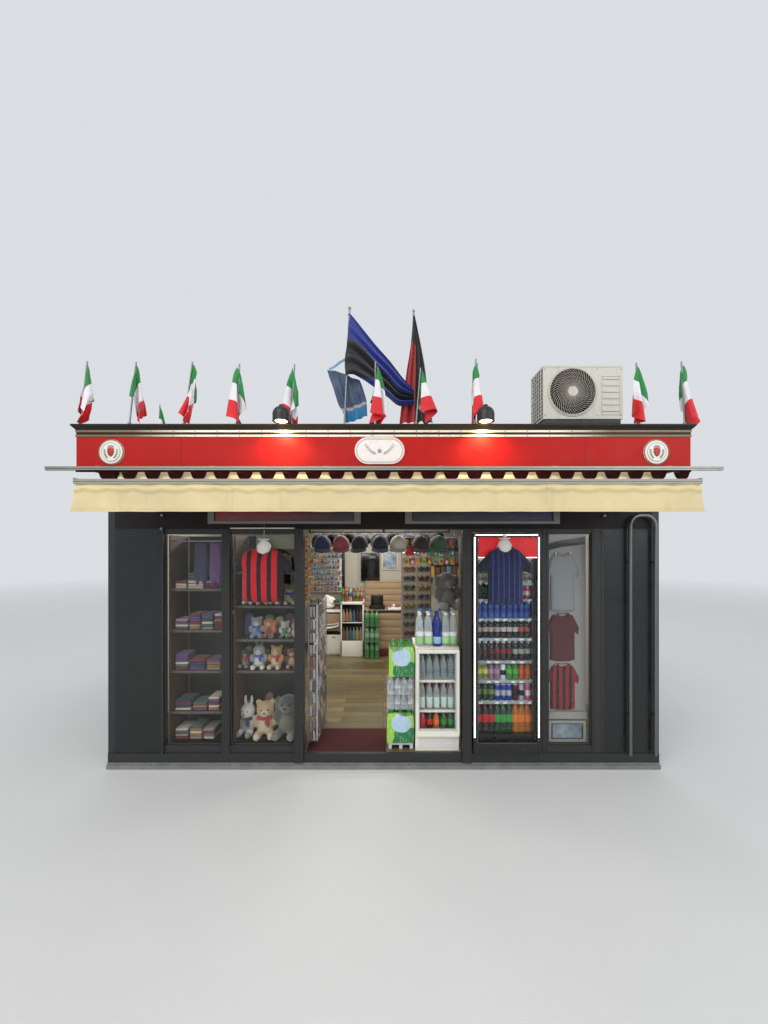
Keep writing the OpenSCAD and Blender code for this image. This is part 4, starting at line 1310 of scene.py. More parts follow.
# ------------------------------------------------------------------ roof-top cooling unit
def cooling_unit():
    fx, fz, y = 1.9476, 3.642, -1.594
    g = Geo()
    # swirl of thin wires round a hub
    spokes = 46
    for i in range(spokes):
        a0 = 2 * math.pi * i / spokes
        pts = []
        for k in range(11):
            t = k / 10
            r = 0.050 + (0.234 - 0.050) * t
            a = a0 + 0.95 * (t ** 0.8)
            pts.append((fx + r * math.cos(a), y + 0.010 - 0.008 * math.sin(math.pi * (0.15 + 0.85 * t)), fz + r * math.sin(a)))
        g.add(*tube(pts, 0.0034, 4, caps=False), 0)
    for r in [0.075 + 0.040 * i for i in range(4)]:
        t = (r - 0.05) / 0.184
        pts = [(fx + r * math.cos(a), y + 0.0122 - 0.008 * math.sin(math.pi * (0.15 + 0.85 * t)), fz + r * math.sin(a)) for a in [2 * math.pi * i / 72 for i in range(72)]]
        g.add(*tube(pts, 0.0016, 4, closed=True), 0)
    # outer ring, hub disc
    pts = [(fx + 0.240 * math.cos(a), y + 0.008, fz + 0.240 * math.sin(a)) for a in [2 * math.pi * i / 96 for i in range(96)]]
    g.add(*tube(pts, 0.0065, 8, closed=True), 1)
    prof = [(0.052, 0.012), (0.052, 0.004), (0.049, 0.0005), (0.044, 0.0), (0.030, 0.001), (0.002, 0.0015)]
    v, f, _ = lathe(prof, 40)
    g.add([(a, c, b) for a, b, c in v], [tuple(reversed(q)) for q in f], 1, M=move(fx, y - 0.001, fz))
    o = g.make("unit_fan_guard", [MM["grille"], MM["ac"]])
    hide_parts("ac_grille")
    # casing: pressed lips, vent panel, screws, side guard and feet
    lo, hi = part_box("ac_casing")
    g = Geo()
    g.add(*box_mesh((lo.x - 0.002, lo.y - 0.003, hi.z - 0.022), (hi.x + 0.002, lo.y + 0.02, hi.z + 0.0015), 0.004), 0)
    g.add(*box_mesh((lo.x, lo.y - 0.002, lo.z), (hi.x, lo.y + 0.012, lo.z + 0.020), 0.003), 0)
    for x in (lo.x, hi.x - 0.012):
        g.add(*box_mesh((x, lo.y - 0.002, lo.z + 0.02), (x + 0.012, lo.y + 0.012, hi.z - 0.02), 0.003), 0)
    # recessed vent panel with five slots
    px0, px1, pz0, pz1 = 2.246, 2.442, 3.402, 3.806
    for a, b in (((px0, pz0), (px1, pz0 + 0.008)), ((px0, pz1 - 0.008), (px1, pz1)), ((px0, pz0), (px0 + 0.008, pz1)), ((px1 - 0.008, pz0), (px1, pz1))):
        g.add(*box_mesh((a[0], lo.y - 0.005, a[1]), (b[0], lo.y + 0.001, b[1]), 0.002), 0)
    for i in range(6):
        z = pz0 + 0.036 + i * 0.066
        g.add(*box_mesh((px0 + 0.014, lo.y - 0.0045, z), (px1 - 0.014, lo.y + 0.001, z + 0.026), 0.003), 0)
        g.add(*box_mesh((px0 + 0.014, lo.y - 0.0012, z - 0.005), (px1 - 0.014, lo.y + 0.001, z - 0.001), 0.001, 1), 1)
    for x, z in ((lo.x + 0.02, hi.z - 0.04), (hi.x - 0.02, hi.z - 0.04), (lo.x + 0.02, lo.z + 0.04), (hi.x - 0.02, lo.z + 0.04), (2.20, hi.z - 0.04), (2.20, lo.z + 0.04)):
        g.add(*ball((0.0055, 0.003, 0.0055), (x, lo.y - 0.002, z), 8, 5), 3)
    # dark disc behind the fan, painted shade for the unit's shaded inside
    v, f, _ = lathe([(0.236, 0), (0.236, 0.004), (0.05, 0.006), (0.002, 0.006)], 48)
    g.add([(p[0], -p[2], p[1]) for p in v], f, 2, M=move(fx, -1.398, fz))
    # rim moulding round the fan opening
    pts = [(fx + 0.252 * math.cos(a), lo.y - 0.002, fz + 0.252 * math.sin(a)) for a in [2 * math.pi * i / 96 for i in range(96)]]
    g.add(*tube(pts, 0.006, 8, closed=True), 0)
    # wire guard and fins on the left side
    for i in range(13):
        z = lo.z + 0.03 + i * (hi.z - lo.z - 0.06) / 12
        g.add(*tube([(lo.x - 0.010, lo.y + 0.014, z), (lo.x - 0.010, hi.y - 0.014, z)], 0.0045, 5), 0)
    for i in range(6):
        yy = lo.y + 0.02 + i * (hi.y - lo.y - 0.04) / 5
        g.add(*tube([(lo.x - 0.0125, yy, lo.z + 0.02), (lo.x - 0.0125, yy, hi.z - 0.02)], 0.0045, 5), 0)
    for yy in (lo.y + 0.016, hi.y - 0.016):
        for z in (lo.z + 0.03, hi.z - 0.03):
            g.add(*tube([(lo.x - 0.012, yy, z), (lo.x + 0.002, yy, z)], 0.003, 6), 1)
    g.add(*box_mesh((lo.x - 0.0015, lo.y + 0.018, lo.z + 0.02), (lo.x + 0.0005, hi.y - 0.018, hi.z - 0.02), 0.0004, 1), 4)
    # back: fins with their wire guard
    for i in range(9):
        z = lo.z + 0.05 + i * (hi.z - lo.z - 0.1) / 8
        g.add(*tube([(lo.x + 0.02, hi.y + 0.006, z), (lo.x + 0.60, hi.y + 0.006, z)], 0.0022, 5), 1)
    for i in range(12):
        x = lo.x + 0.03 + i * 0.56 / 11
        g.add(*tube([(x, hi.y + 0.003, lo.z + 0.02), (x, hi.y + 0.003, hi.z - 0.02)], 0.0022, 5), 1)
    # service cover with pipe unions on the right side
    g.add(*box_mesh((hi.x - 0.001, lo.y + 0.12, lo.z + 0.05), (hi.x + 0.008, hi.y - 0.03, lo.z + 0.25), 0.004), 0)
    for z in (lo.z + 0.10, lo.z + 0.17):
        v, f, _ = lathe([(0.014, 0), (0.014, 0.016), (0.010, 0.018), (0.010, 0.030), (0.006, 0.033)], 12)
        g.add(v, f, 3, M=move(hi.x + 0.007, hi.y - 0.075, z, ry=math.pi / 2))
    # rubber feet
    for x in (lo.x + 0.12, hi.x - 0.14):
        for yy in (lo.y + 0.03, hi.y - 0.05):
            g.add(*lathe([(0.024, 0), (0.026, 0.004), (0.020, 0.014), (0.018, 0.0)], 14)[:2], 2, M=move(x, yy, 3.3105))
    g.make("unit_details", [MM["ac"], MM["grille"], MM["dark_plastic"], MM["galv"], MM["fins"]])
    # fan blades, swept and thin, on the turning body
    g = Geo()
    for b in range(3):
        a0 = b * 2 * math.pi / 3
        def blade(u, v):
            r = 0.058 + 0.158 * u
            a = a0 + (v - 0.5) * (0.95 + 0.5 * u) + 0.5 * u
            return (1.9476 + r * math.cos(a), -1.478 + 0.052 * (v - 0.5) - 0.012 * math.sin(math.pi * v), 3.642 + r * math.sin(a))
        v, f, _ = sheet_grid(blade, 12, 12)
        k = len(v)
        v2 = [(p[0], p[1] + 0.003, p[2]) for p in v]
        g.add(v + v2, f + [tuple(i + k for i in reversed(q)) for q in f], 0)
    v, f, _ = lathe([(0.060, 0), (0.062, 0.01), (0.062, 0.055), (0.052, 0.068), (0.02, 0.073), (0.002, 0.074)], 32)
    g.add([(p[0], -p[2], p[1]) for p in v], f, 0, M=move(1.9476, -1.448, 3.642))
    o = g.make("unit_fan_blades", [MM["dark_plastic"]], body="ac_rotor")
    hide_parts("ac_fan")


MM["grille"] = plastic("guard_grey", (150, 142, 130), 0.45, 0.12)
cooling_unit()


def trim_groove():
    g = Geo()
    X, Y = 2.7065, 2.1665
    for a, b in (((-X, -Y, 3.0245), (X, -Y + 0.006, 3.0455)), ((-X, Y - 0.006, 3.0245), (X, Y, 3.0455)), ((-X, -Y, 3.0245), (-X + 0.006, Y, 3.0455)), ((X - 0.006, -Y, 3.0245), (X, Y, 3.0455))):
        g.add(*box_mesh(a, b, 0.0015), 0)
    # joint covers of the trims
    for x in (-1.8, -0.6, 0.6, 1.8):
        g.add(*box_mesh((x - 0.006, -Y - 0.0035, 3.004), (x + 0.006, -Y + 0.003, 3.0655), 0.001), 0)
    g.make("trim_groove", [MM["bronze"]])


trim_groove()


# ------------------------------------------------------------------ bottles, cans and the coolers
MM["pet"] = None


def pet_material():
    """Clear or tinted PET: see-through in the middle where its colour is light, dense at its edges."""
    m = Mat("bottle_pet", 0.14, 0.0, Coat_Weight=0.5, Coat_Roughness=0.06)
    a = m.attr()
    d = m.mix(m.noise(26, 3), (0.86, 0.86, 0.86, 1), (1, 1, 1, 1))
    n = m.new("Mix", data_type="RGBA", blend_type="MULTIPLY")
    m.put(n.inputs[0], 1.0)
    m.put(n.inputs[6], a)
    m.put(n.inputs[7], d)
    m.color(n.outputs[2])
    bw = m.new("RGBToBW")
    m.put(bw.inputs[0], a)
    lw = m.new("LayerWeight")
    lw.inputs["Blend"].default_value = 0.5
    e = m.math("POWER", lw.outputs["Facing"], 1.6)
    base = m.span(bw.outputs[0], 0.15, 0.55, 0.86, 0.26)
    m.put(m.p.inputs["Alpha"], m.math("MINIMUM", m.math("ADD", base, m.math("MULTIPLY", e, 0.75)), 1.0))
    m.rough(m.span(m.noise(60, 3), 0.3, 0.7, 0.06, 0.24))
    m.bump(m.noise(420, 2), 0.03, 0.0006)
    return m.m


MM["pet"] = pet_material()
MM["label"] = tinted("bottle_label", 0.38, bump=0.04, fine=700, var=0.06)
MM["cap"] = tinted("bottle_cap", 0.4, bump=0.12, fine=900, var=0.05)
MM["tin"] = tinted("can_metal", 0.28, metal=0.55, bump=0.02, var=0.08)
MM["film"] = None
GOODS = None


def bottle(g, x, y, z, h, r, liquid, label, cap, n=12, waist=0.93, lab=(0.36, 0.62), rot=0.0):
    """PET bottle with a moulded foot, ribs, a printed sleeve and a screw cap, standing at (x, y, z)."""
    a, b = lab
    prof = [(r * 0.72, 0.0), (r * 0.95, h * 0.012), (r, h * 0.05), (r, h * 0.15), (r * waist, h * 0.18), (r, h * 0.21), (r * 0.99, h * a), (r * 1.012, h * (a + 0.004)),
            (r * 1.012, h * (b - 0.004)), (r * 0.99, h * b), (r * 0.97, h * (b + 0.03)), (r * 0.80, h * 0.76), (r * 0.45, h * 0.88), (r * 0.36, h * 0.90), (r * 0.36, h * 0.925),
            (r * 0.45, h * 0.93), (r * 0.45, h * 0.99), (r * 0.40, h * 1.0), (0.001, h * 1.0)]
    mats = [0, 0, 0, 0, 0, 0, 0, 1, 1, 0, 0, 0, 0, 0, 0, 2, 2, 2]
    mats = [0 if i < 7 else 1 if i < 8 else 0 if i < 14 else 2 for i in range(len(prof) - 1)]
    mats[7] = 1
    v, f, mi = lathe(prof, n, mats)
    cols = []
    for i in range(len(prof)):
        c = label if 7 <= i <= 8 else cap if i >= 15 else liquid
        cols += [c] * n
    g.add(v, f, mi, np.array(cols), move(x, y, z, rz=rot))


def bottle_band(g, x, y, z, r, col):
    v, f, mi = lathe([(r * 1.000, 0.0), (r * 1.016, 0.002), (r * 1.016, 0.036), (r * 1.000, 0.038)], 16, [1] * 3)
    g.add(v, f, mi, np.array([col] * len(v)), move(x, y, z))


def can(g, x, y, z, h, r, body, n=14, band=None, top=(0.8, 0.8, 0.82)):
    prof = [(r * 0.70, 0.0), (r * 0.90, h * 0.02), (r, h * 0.06), (r, h * 0.30), (r, h * 0.31), (r, h * 0.62), (r, h * 0.63), (r, h * 0.90), (r * 0.86, h * 0.96), (r * 0.86, h * 0.985), (r * 0.80, h * 0.97), (0.001, h * 0.97)]
    v, f, mi = lathe(prof, n, [3] * 11)
    cols = []
    for i in range(len(prof)):
        c = top if (i < 1 or i >= 8) else (band if band is not None and 4 <= i <= 5 else body)
        cols += [c] * n
    g.add(v, f, mi, np.array(cols), move(x, y, z))


W, K = (0.93, 0.93, 0.93), (0.03, 0.03, 0.035)
GOOD_MATS = [MM["pet"], MM["label"], MM["cap"], MM["tin"]]


def C(r, g, b):
    return (r / 255, g / 255, b / 255)


def shelf_row(g, x0, x1, z, ys, items, pitch, body_z=None, seed=0):
    """Fills a shelf from x0 to x1. items is a list of (kind, count, height, radius, colours...)."""
    r0 = random.Random(seed)
    seq = []
    for it in items:
        seq += [it] * it[1]
    n = len(seq)
    step = (x1 - x0) / n
    for i, it in enumerate(seq):
        x = x0 + step * (i + 0.5)
        for k, y in enumerate(ys):
            jx, jy = r0.uniform(-0.002, 0.002), r0.uniform(-0.003, 0.003)
            if it[0] == "b":
                bottle(g, x + jx, y + jy, z + 0.0008, it[2], it[3], it[4], it[5], it[6], rot=r0.uniform(0, 6), lab=it[7] if len(it) > 7 else (0.36, 0.62), n=10)
            else:
                can(g, x + jx, y + jy, z + 0.0008, it[2], it[3], it[4], n=12, band=it[5])


def tall_cooler():
    g = Geo()
    x0, x1 = 0.872, 1.392
    ys = (-1.900, -1.828)
    wh, pk, yl, gr, dg = C(236, 236, 236), C(222, 90, 140), C(236, 196, 40), C(60, 150, 60), C(22, 60, 36)
    rd, bl, db, br, orr = C(196, 28, 34), C(60, 130, 200), C(24, 36, 70), C(44, 24, 18), C(232, 120, 30)
    sil, lg, cy = C(190, 192, 196), C(150, 196, 70), C(120, 190, 220)
    rows = [
        (0.295, [("b", 3, 0.270, 0.040, br, rd, rd), ("b", 3, 0.270, 0.040, dg, gr, gr), ("b", 3, 0.270, 0.040, C(190, 110, 30), orr, orr)]),
        (0.589, [("b", 3, 0.172, 0.028, dg, C(104, 128, 64), C(206, 210, 120)), ("c", 3, 0.160, 0.029, C(36, 66, 164), sil), ("c", 1, 0.160, 0.029, C(100, 22, 30), C(60, 20, 24)), ("c", 1, 0.160, 0.029, sil, db), ("c", 1, 0.160, 0.029, pk, wh)]),
        (0.783, [("b", 2, 0.168, 0.028, C(206, 206, 96), C(214, 210, 110), C(220, 216, 170)), ("b", 2, 0.168, 0.028, C(140, 112, 140), C(176, 130, 150), C(206, 190, 170)), ("c", 1, 0.150, 0.028, wh, db), ("b", 2, 0.168, 0.028, gr, C(84, 176, 70), gr), ("b", 2, 0.168, 0.028, C(200, 104, 40), C(206, 84, 40), C(190, 90, 40))]),
        (0.967, [("b", 3, 0.176, 0.028, br, C(74, 44, 40), wh), ("b", 3, 0.176, 0.028, br, C(126, 30, 34), wh), ("b", 3, 0.176, 0.028, K, C(150, 158, 146), C(206, 204, 190))]),
        (1.180, [("b", 4, 0.165, 0.028, K, C(176, 160, 150), wh), ("b", 3, 0.165, 0.028, K, C(190, 184, 176), wh), ("b", 2, 0.165, 0.028, br, C(176, 80, 60), wh)]),
        (1.365, [("b", 9, 0.160, 0.028, C(66, 108, 190), C(30, 62, 150), C(150, 184, 226))]),
        (1.547, [("b", 4, 0.156, 0.028, dg, C(30, 90, 50), yl), ("c", 2, 0.120, 0.029, wh, pk), ("c", 3, 0.120, 0.029, pk, wh)]),
        (1.722, [("b", 3, 0.190, 0.030, C(196, 206, 60), gr, gr), ("b", 3, 0.190, 0.030, orr, yl, orr), ("b", 2, 0.190, 0.030, C(206, 214, 90), wh, yl)]),
    ]
    for i, (z, items) in enumerate(rows):
        shelf_row(g, x0, x1, z, ys, items, 0.066, seed=i)
    g.make("tall_cooler_drinks", GOOD_MATS)
    # lit strips, header panel, price rails and back panel
    g = Geo()
    for x in (0.8705, 1.3865):
        g.add(*box_mesh((x - 0.0055, -1.9790, 0.31), (x + 0.0055, -1.9690, 2.11), 0.003), 8)
    g.add(*box_mesh((0.880, -1.9790, 2.098), (1.377, -1.9690, 2.112), 0.003), 0)
    g.add(*box_mesh((0.880, -1.9775, 1.955), (1.378, -1.9570, 2.092), 0.004), 1)
    g.add(*box_mesh((0.880, -1.9800, 1.946), (1.378, -1.9660, 1.955), 0.002), 0)
    # back panel: painted glow, though it is no lamp
    g.add(*box_mesh((0.861, -1.384, 0.30), (1.401, -1.3815, 2.115), 0.001, 1), 2)
    for z in (0.589, 0.783, 0.967, 1.180, 1.365, 1.547, 1.722):
        g.add(*box_mesh((0.864, -1.958, z - 0.017), (1.398, -1.9525, z + 0.005), 0.0015), 7)
        for k in range(7):
            x = 0.89 + k * 0.076
            if (k * 5 + int(z * 100)) % 3:
                g.add(*box_mesh((x, -1.9592, z - 0.015), (x + 0.036, -1.9578, z + 0.003), 0.0004, 1), 4)
    # polished side walls, which repeat the drinks
    for x in (0.8635, 1.3985):
        g.add(*box_mesh((x - 0.0008, -1.968, 0.300), (x + 0.0008, -1.388, 2.112), 0.0006, 1), 9)
    # louvred foot plate inside the door, its plate in the painted glow of the back panel
    g.add(*box_mesh((0.863, -1.9780, 0.2555), (1.3995, -1.9700, 0.2925), 0.002), 2)
    for i in range(3):
        g.add(*box_mesh((0.880, -1.9800, 0.262 + i * 0.009), (1.382, -1.9775, 0.2665 + i * 0.009), 0.001, 1), 5)
    g.make("tall_cooler_lights", [MM["led"], MM["led_red"], MM["cooler_back"], MM["shelf_white"], MM["paper"], MM["dark_plastic"], MM["led_soft"], MM["rail_soft"], MM["gasket"], MM["mirror_side"]])
    # door: gasket, handle sleeve, hinge caps, and glowing strips on the stiles and top rail, a painted highlight in
    # place of their bright reflection
    g = Geo()
    for a, b in (((0.850, -2.0505, 0.243), (0.862, -2.0475, 2.141)), ((1.400, -2.0505, 0.243), (1.412, -2.0475, 2.141)), ((0.850, -2.0505, 2.129), (1.412, -2.0475, 2.141)), ((0.850, -2.0505, 0.243), (1.412, -2.0475, 0.255))):
        g.add(*box_mesh(a, b, 0.0012), 0)
    for a, b in (((0.8615, -2.0155, 0.256), (0.8705, -2.0045, 2.128)), ((1.3915, -2.0155, 0.256), (1.4005, -2.0045, 2.128)), ((0.871, -2.0155, 2.119), (1.391, -2.0045, 2.128))):
        g.add(*box_mesh(a, b, 0.002), 0)
    g.add(*tube([(0.842, -2.074, 0.93 + i * 0.03) for i in range(13)], 0.0105, 12), 2)
    for z in (0.155, 2.150):
        g.add(*box_mesh((1.414, -2.0535, z - 0.02), (1.441, -2.0475, z + 0.012), 0.002), 2)
    # painted highlight: these strips glow, though they are no lamp, in place of the bright reflection on the door's
    # stiles and top rail
    for x0, x1 in ((0.8245, 0.8375), (1.4080, 1.4210)):
        g.add(*box_mesh((x0, -2.0510, 0.300), (x1, -2.0475, 2.128), 0.0016), 1)
    g.add(*box_mesh((0.8375, -2.0510, 2.1425), (1.4080, -2.0475, 2.1500), 0.0016), 1)
    g.add(*box_mesh((0.8640, -2.0500, 1.945), (1.3985, -2.0478, 2.1265), 0.0010), 3)
    g.add(*box_mesh((0.8640, -2.0505, 1.938), (1.3985, -2.0478, 1.9445), 0.0010), 1)
    g.make("tall_door_trim", [MM["gasket"], MM["led"], MM["dark_plastic"], MM["led_red"]], body="tall_door")


def low_cooler():
    g = Geo()
    x0, x1 = 0.334, 0.670
    ys = (-1.900, -1.826)
    wh, rd, br, gr = C(236, 236, 236), C(200, 26, 30), C(54, 28, 20), C(60, 140, 60)
    pk, orr, cl = C(226, 96, 150), C(230, 116, 36), C(196, 214, 214)
    rows = [
        (0.300, [("b", 1, 0.180, 0.029, C(196, 40, 30), rd, rd), ("b", 1, 0.180, 0.029, br, rd, rd), ("b", 1, 0.180, 0.029, orr, orr, orr), ("b", 2, 0.180, 0.029, C(40, 100, 50), gr, gr)]),
        (0.500, [("b", 5, 0.250, 0.030, C(222, 216, 220), C(206, 222, 210), C(206, 120, 130), (0.10, 0.50))]),
        (0.780, [("b", 5, 0.225, 0.031, C(206, 214, 216), C(120, 130, 140), C(150, 156, 160), (0.30, 0.46))]),
    ]
    for i, (z, items) in enumerate(rows):
        shelf_row(g, x0, x1, z, ys, items, 0.066, seed=20 + i)
    # large bottles that stand on top
    tops = [(0.345, C(60, 150, 80)), (0.428, C(70, 160, 90)), (0.512, C(40, 96, 190)), (0.594, C(70, 160, 90)), (0.668, C(60, 150, 80))]
    for k, (x, c) in enumerate(tops):
        clear, lab_, cap_ = (C(18, 44, 140), C(150, 190, 226), C(20, 44, 120)) if k == 2 else (C(218, 226, 226), C(170, 214, 150) if k % 2 else C(150, 206, 140), C(220, 226, 226))
        bottle(g, x, -1.875, 1.0918, 0.320, 0.040, clear, lab_, cap_, n=16, lab=(0.10, 0.30), rot=k)
        bottle(g, x + 0.004, -1.785, 1.0918, 0.320, 0.040, clear, lab_, cap_, n=12, lab=(0.10, 0.30), rot=k)
        # white band over the label
        if k != 2:
            bottle_band(g, x, -1.875, 1.0918 + 0.100, 0.040, C(226, 230, 230))
    for k, x in enumerate((0.372, 0.470, 0.560, 0.650)):
        bottle(g, x, -1.690, 1.0918, 0.330, 0.040, C(178, 198, 198), C(60, 120, 190), C(60, 120, 200), n=12, lab=(0.42, 0.60))
    g.make("low_cooler_drinks", GOOD_MATS)
    g = Geo()
    for x in (0.3315, 0.6725):
        g.add(*box_mesh((x - 0.0035, -1.9520, 0.31), (x + 0.0035, -1.9450, 1.055), 0.0015), 5)
    g.add(*box_mesh((0.329, -1.5575, 0.302), (0.675, -1.5550, 1.060), 0.001, 1), 1)
    for x in (0.3262, 0.6778):
        g.add(*box_mesh((x - 0.0008, -1.930, 0.302), (x + 0.0008, -1.560, 1.060), 0.0006, 1), 1)
    for z in (0.500, 0.780):
        g.add(*box_mesh((0.332, -1.940, z - 0.014), (0.672, -1.9345, z + 0.010), 0.0015), 2)
        for k in range(5):
            x = 0.352 + k * 0.066
            g.add(*box_mesh((x, -1.9412, z - 0.011), (x + 0.034, -1.9400, z + 0.005), 0.0004, 1), 3)
    # worktop lip and kick grille
    g.add(*box_mesh((0.294, -1.9560, 1.0875), (0.710, -1.5220, 1.0965), 0.004), 2)
    for i in range(6):
        g.add(*box_mesh((0.33, -1.9565, 0.162 + i * 0.016), (0.674, -1.9530, 0.169 + i * 0.016), 0.0015), 4)
    g.make("low_cooler_lights", [MM["led"], MM["low_liner"], MM["cooler_white"], MM["paper"], MM["board"], MM["led_soft"]])
    g = Geo()
    for a, b in (((0.3235, -1.9985, 0.3365), (0.332, -1.9955, 1.0605)), ((0.672, -1.9985, 0.3365), (0.6805, -1.9955, 1.0605)), ((0.3235, -1.9985, 1.052), (0.6805, -1.9955, 1.0605)), ((0.3235, -1.9985, 0.3365), (0.6805, -1.9955, 0.345))):
        g.add(*box_mesh(a, b, 0.0012), 0)
    g.add(*box_mesh((0.3055, -2.012, 0.60), (0.3175, -1.9955, 0.80), 0.004), 1)
    g.make("low_door_trim", [MM["board"], MM["cooler_white"]], body="low_door")


def drink_packs():
    """Three shrink-wrapped packs of 1.5 litre bottles on a low crate."""
    g = Geo()
    f0 = 0.135
    # slatted crate
    for i in range(4):
        y = -1.925 + i * 0.072
        g.add(*box_mesh((0.045, y, f0 + 0.038), (0.280, y + 0.052, f0 + 0.060), 0.003), 5)
    for x in (0.048, 0.148, 0.248):
        g.add(*box_mesh((x, -1.928, f0 + 0.0005), (x + 0.03, -1.682, f0 + 0.038), 0.002), 5)
    packs = [(0.195, 0.0, 3, C(70, 170, 90), C(90, 180, 110), C(40, 130, 70)), (0.505, 0.0, 3, C(186, 202, 206), C(214, 222, 226), C(60, 120, 190)), (0.815, 0.030, 3, C(170, 200, 190), C(120, 190, 130), C(50, 140, 80))]
    for t_ in range(2):
        for i in range(4):
            for j in range(4):
                bottle(g, 0.073 + i * 0.0605, -1.903 + j * 0.0635, packs[1][0] + 0.004 + t_ * 0.149, 0.143, 0.0285, C(196, 206, 208), C(186, 198, 202) if (i + j) % 2 else C(150, 164, 170), C(214, 220, 222) if t_ else C(90, 160, 110), n=12, lab=(0.34, 0.52), rot=i)
    g.add(*box_mesh((0.040, -1.934, packs[1][0] + 0.1475), (0.280, -1.684, packs[1][0] + 0.1505), 0.001, 1), 5)
    for k, (z, dx, n, liq, lab, cap) in enumerate(packs):
        if k == 1:
            continue
        for i in range(3):
            for j in range(3):
                x = 0.077 + dx * 0.6 + i * (0.0825 - dx * 0.1)
                y = -1.897 + j * 0.0865
                bottle(g, x, y, z + 0.002, 0.300, 0.0395, liq, lab, cap, n=14, lab=(0.40, 0.60), rot=k + i)
    o = g.make("drink_bottles", GOOD_MATS + [MM["film"], MM["board"]])
    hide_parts("drink_packs")
    # shrink film: tight round the bottles, drawn in between them and over the shoulders
    g = Geo()
    for k, (z, dx, *_r) in enumerate(packs):
        x0, x1 = 0.0335 + dx * 0.6, 0.2865 + dx * 0.2
        y0, y1 = -1.9425, -1.6745
        def film(u, v, k=k, z=z, x0=x0, x1=x1):
            a = u * 4
            s = int(a) % 4
            t = a - int(a)
            dip = 0.0035 * (0.5 - 0.5 * math.cos(t * 3 * 2 * math.pi)) * (1 if 0.06 < t < 0.94 else 0)
            c = 0.012
            P = [(x0, y0), (x1, y0), (x1, y1), (x0, y1)]
            p, q = P[s], P[(s + 1) % 4]
            x, y = p[0] + (q[0] - p[0]) * t, p[1] + (q[1] - p[1]) * t
            cx, cy = (x0 + x1) / 2, (y0 + y1) / 2
            sh = 1.0 - 0.10 * max(0, (v - 0.78) / 0.22) ** 1.5 - 0.02 * max(0, (0.1 - v) / 0.1)
            d = math.hypot(x - cx, y - cy)
            w = 0.0016 * noise.noise(Vector((u * 40, v * 9 + k, 2.0)))
            x, y = cx + (x - cx) * sh * (1 - (dip + w) / d), cy + (y - cy) * sh * (1 - (dip + w) / d)
            return (x, y, z + 0.003 + 0.282 * v)
        v, f, uv = sheet_grid(film, 120, 14)
        g.add(v, f, 0 if k == 1 else 1)
    o = g.make("pack_film", [MM["film"], MM["film_print"]], sharp=180)
    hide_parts("drink_packs")


def film_material():
    """Thin clear shrink film: mostly transparent, with pale opaque patches as painted sheen on its creases and a pale
    printed band.
    """
    m = bpy.data.materials.new("shrink_film")
    m.use_nodes = True
    nt = m.node_tree
    nt.nodes.clear()
    out = nt.nodes.new("ShaderNodeOutputMaterial")
    p = nt.nodes.new("ShaderNodeBsdfPrincipled")
    tr = nt.nodes.new("ShaderNodeBsdfTransparent")
    mx = nt.nodes.new("ShaderNodeMixShader")
    tc = nt.nodes.new("ShaderNodeTexCoord")
    mp = nt.nodes.new("ShaderNodeMapping")
    mp.inputs["Scale"].default_value = (30, 30, 6)
    no = nt.nodes.new("ShaderNodeTexNoise")
    no.inputs["Scale"].default_value = 1.6
    no.inputs["Detail"].default_value = 5
    # painted sheen: where the noise is high the film turns pale and opaque, in place of the glint on its creases
    mr = nt.nodes.new("ShaderNodeMapRange")
    for i, v in ((1, 0.45), (2, 0.72), (3, 0.10), (4, 0.42)):
        mr.inputs[i].default_value = v
    bp = nt.nodes.new("ShaderNodeBump")
    bp.inputs["Strength"].default_value = 0.5
    bp.inputs["Distance"].default_value = 0.004
    p.inputs["Base Color"].default_value = (0.85, 0.88, 0.88, 1)
    p.inputs["Roughness"].default_value = 0.12
    nt.links.new(tc.outputs["Object"], mp.inputs["Vector"])
    nt.links.new(mp.outputs[0], no.inputs["Vector"])
    nt.links.new(no.outputs["Fac"], mr.inputs[0])
    nt.links.new(no.outputs["Fac"], bp.inputs["Height"])
    nt.links.new(bp.outputs[0], p.inputs["Normal"])
    nt.links.new(mr.outputs[0], mx.inputs[0])
    nt.links.new(tr.outputs[0], mx.inputs[1])
    nt.links.new(p.outputs[0], mx.inputs[2])
    nt.links.new(mx.outputs[0], out.inputs[0])
    return m


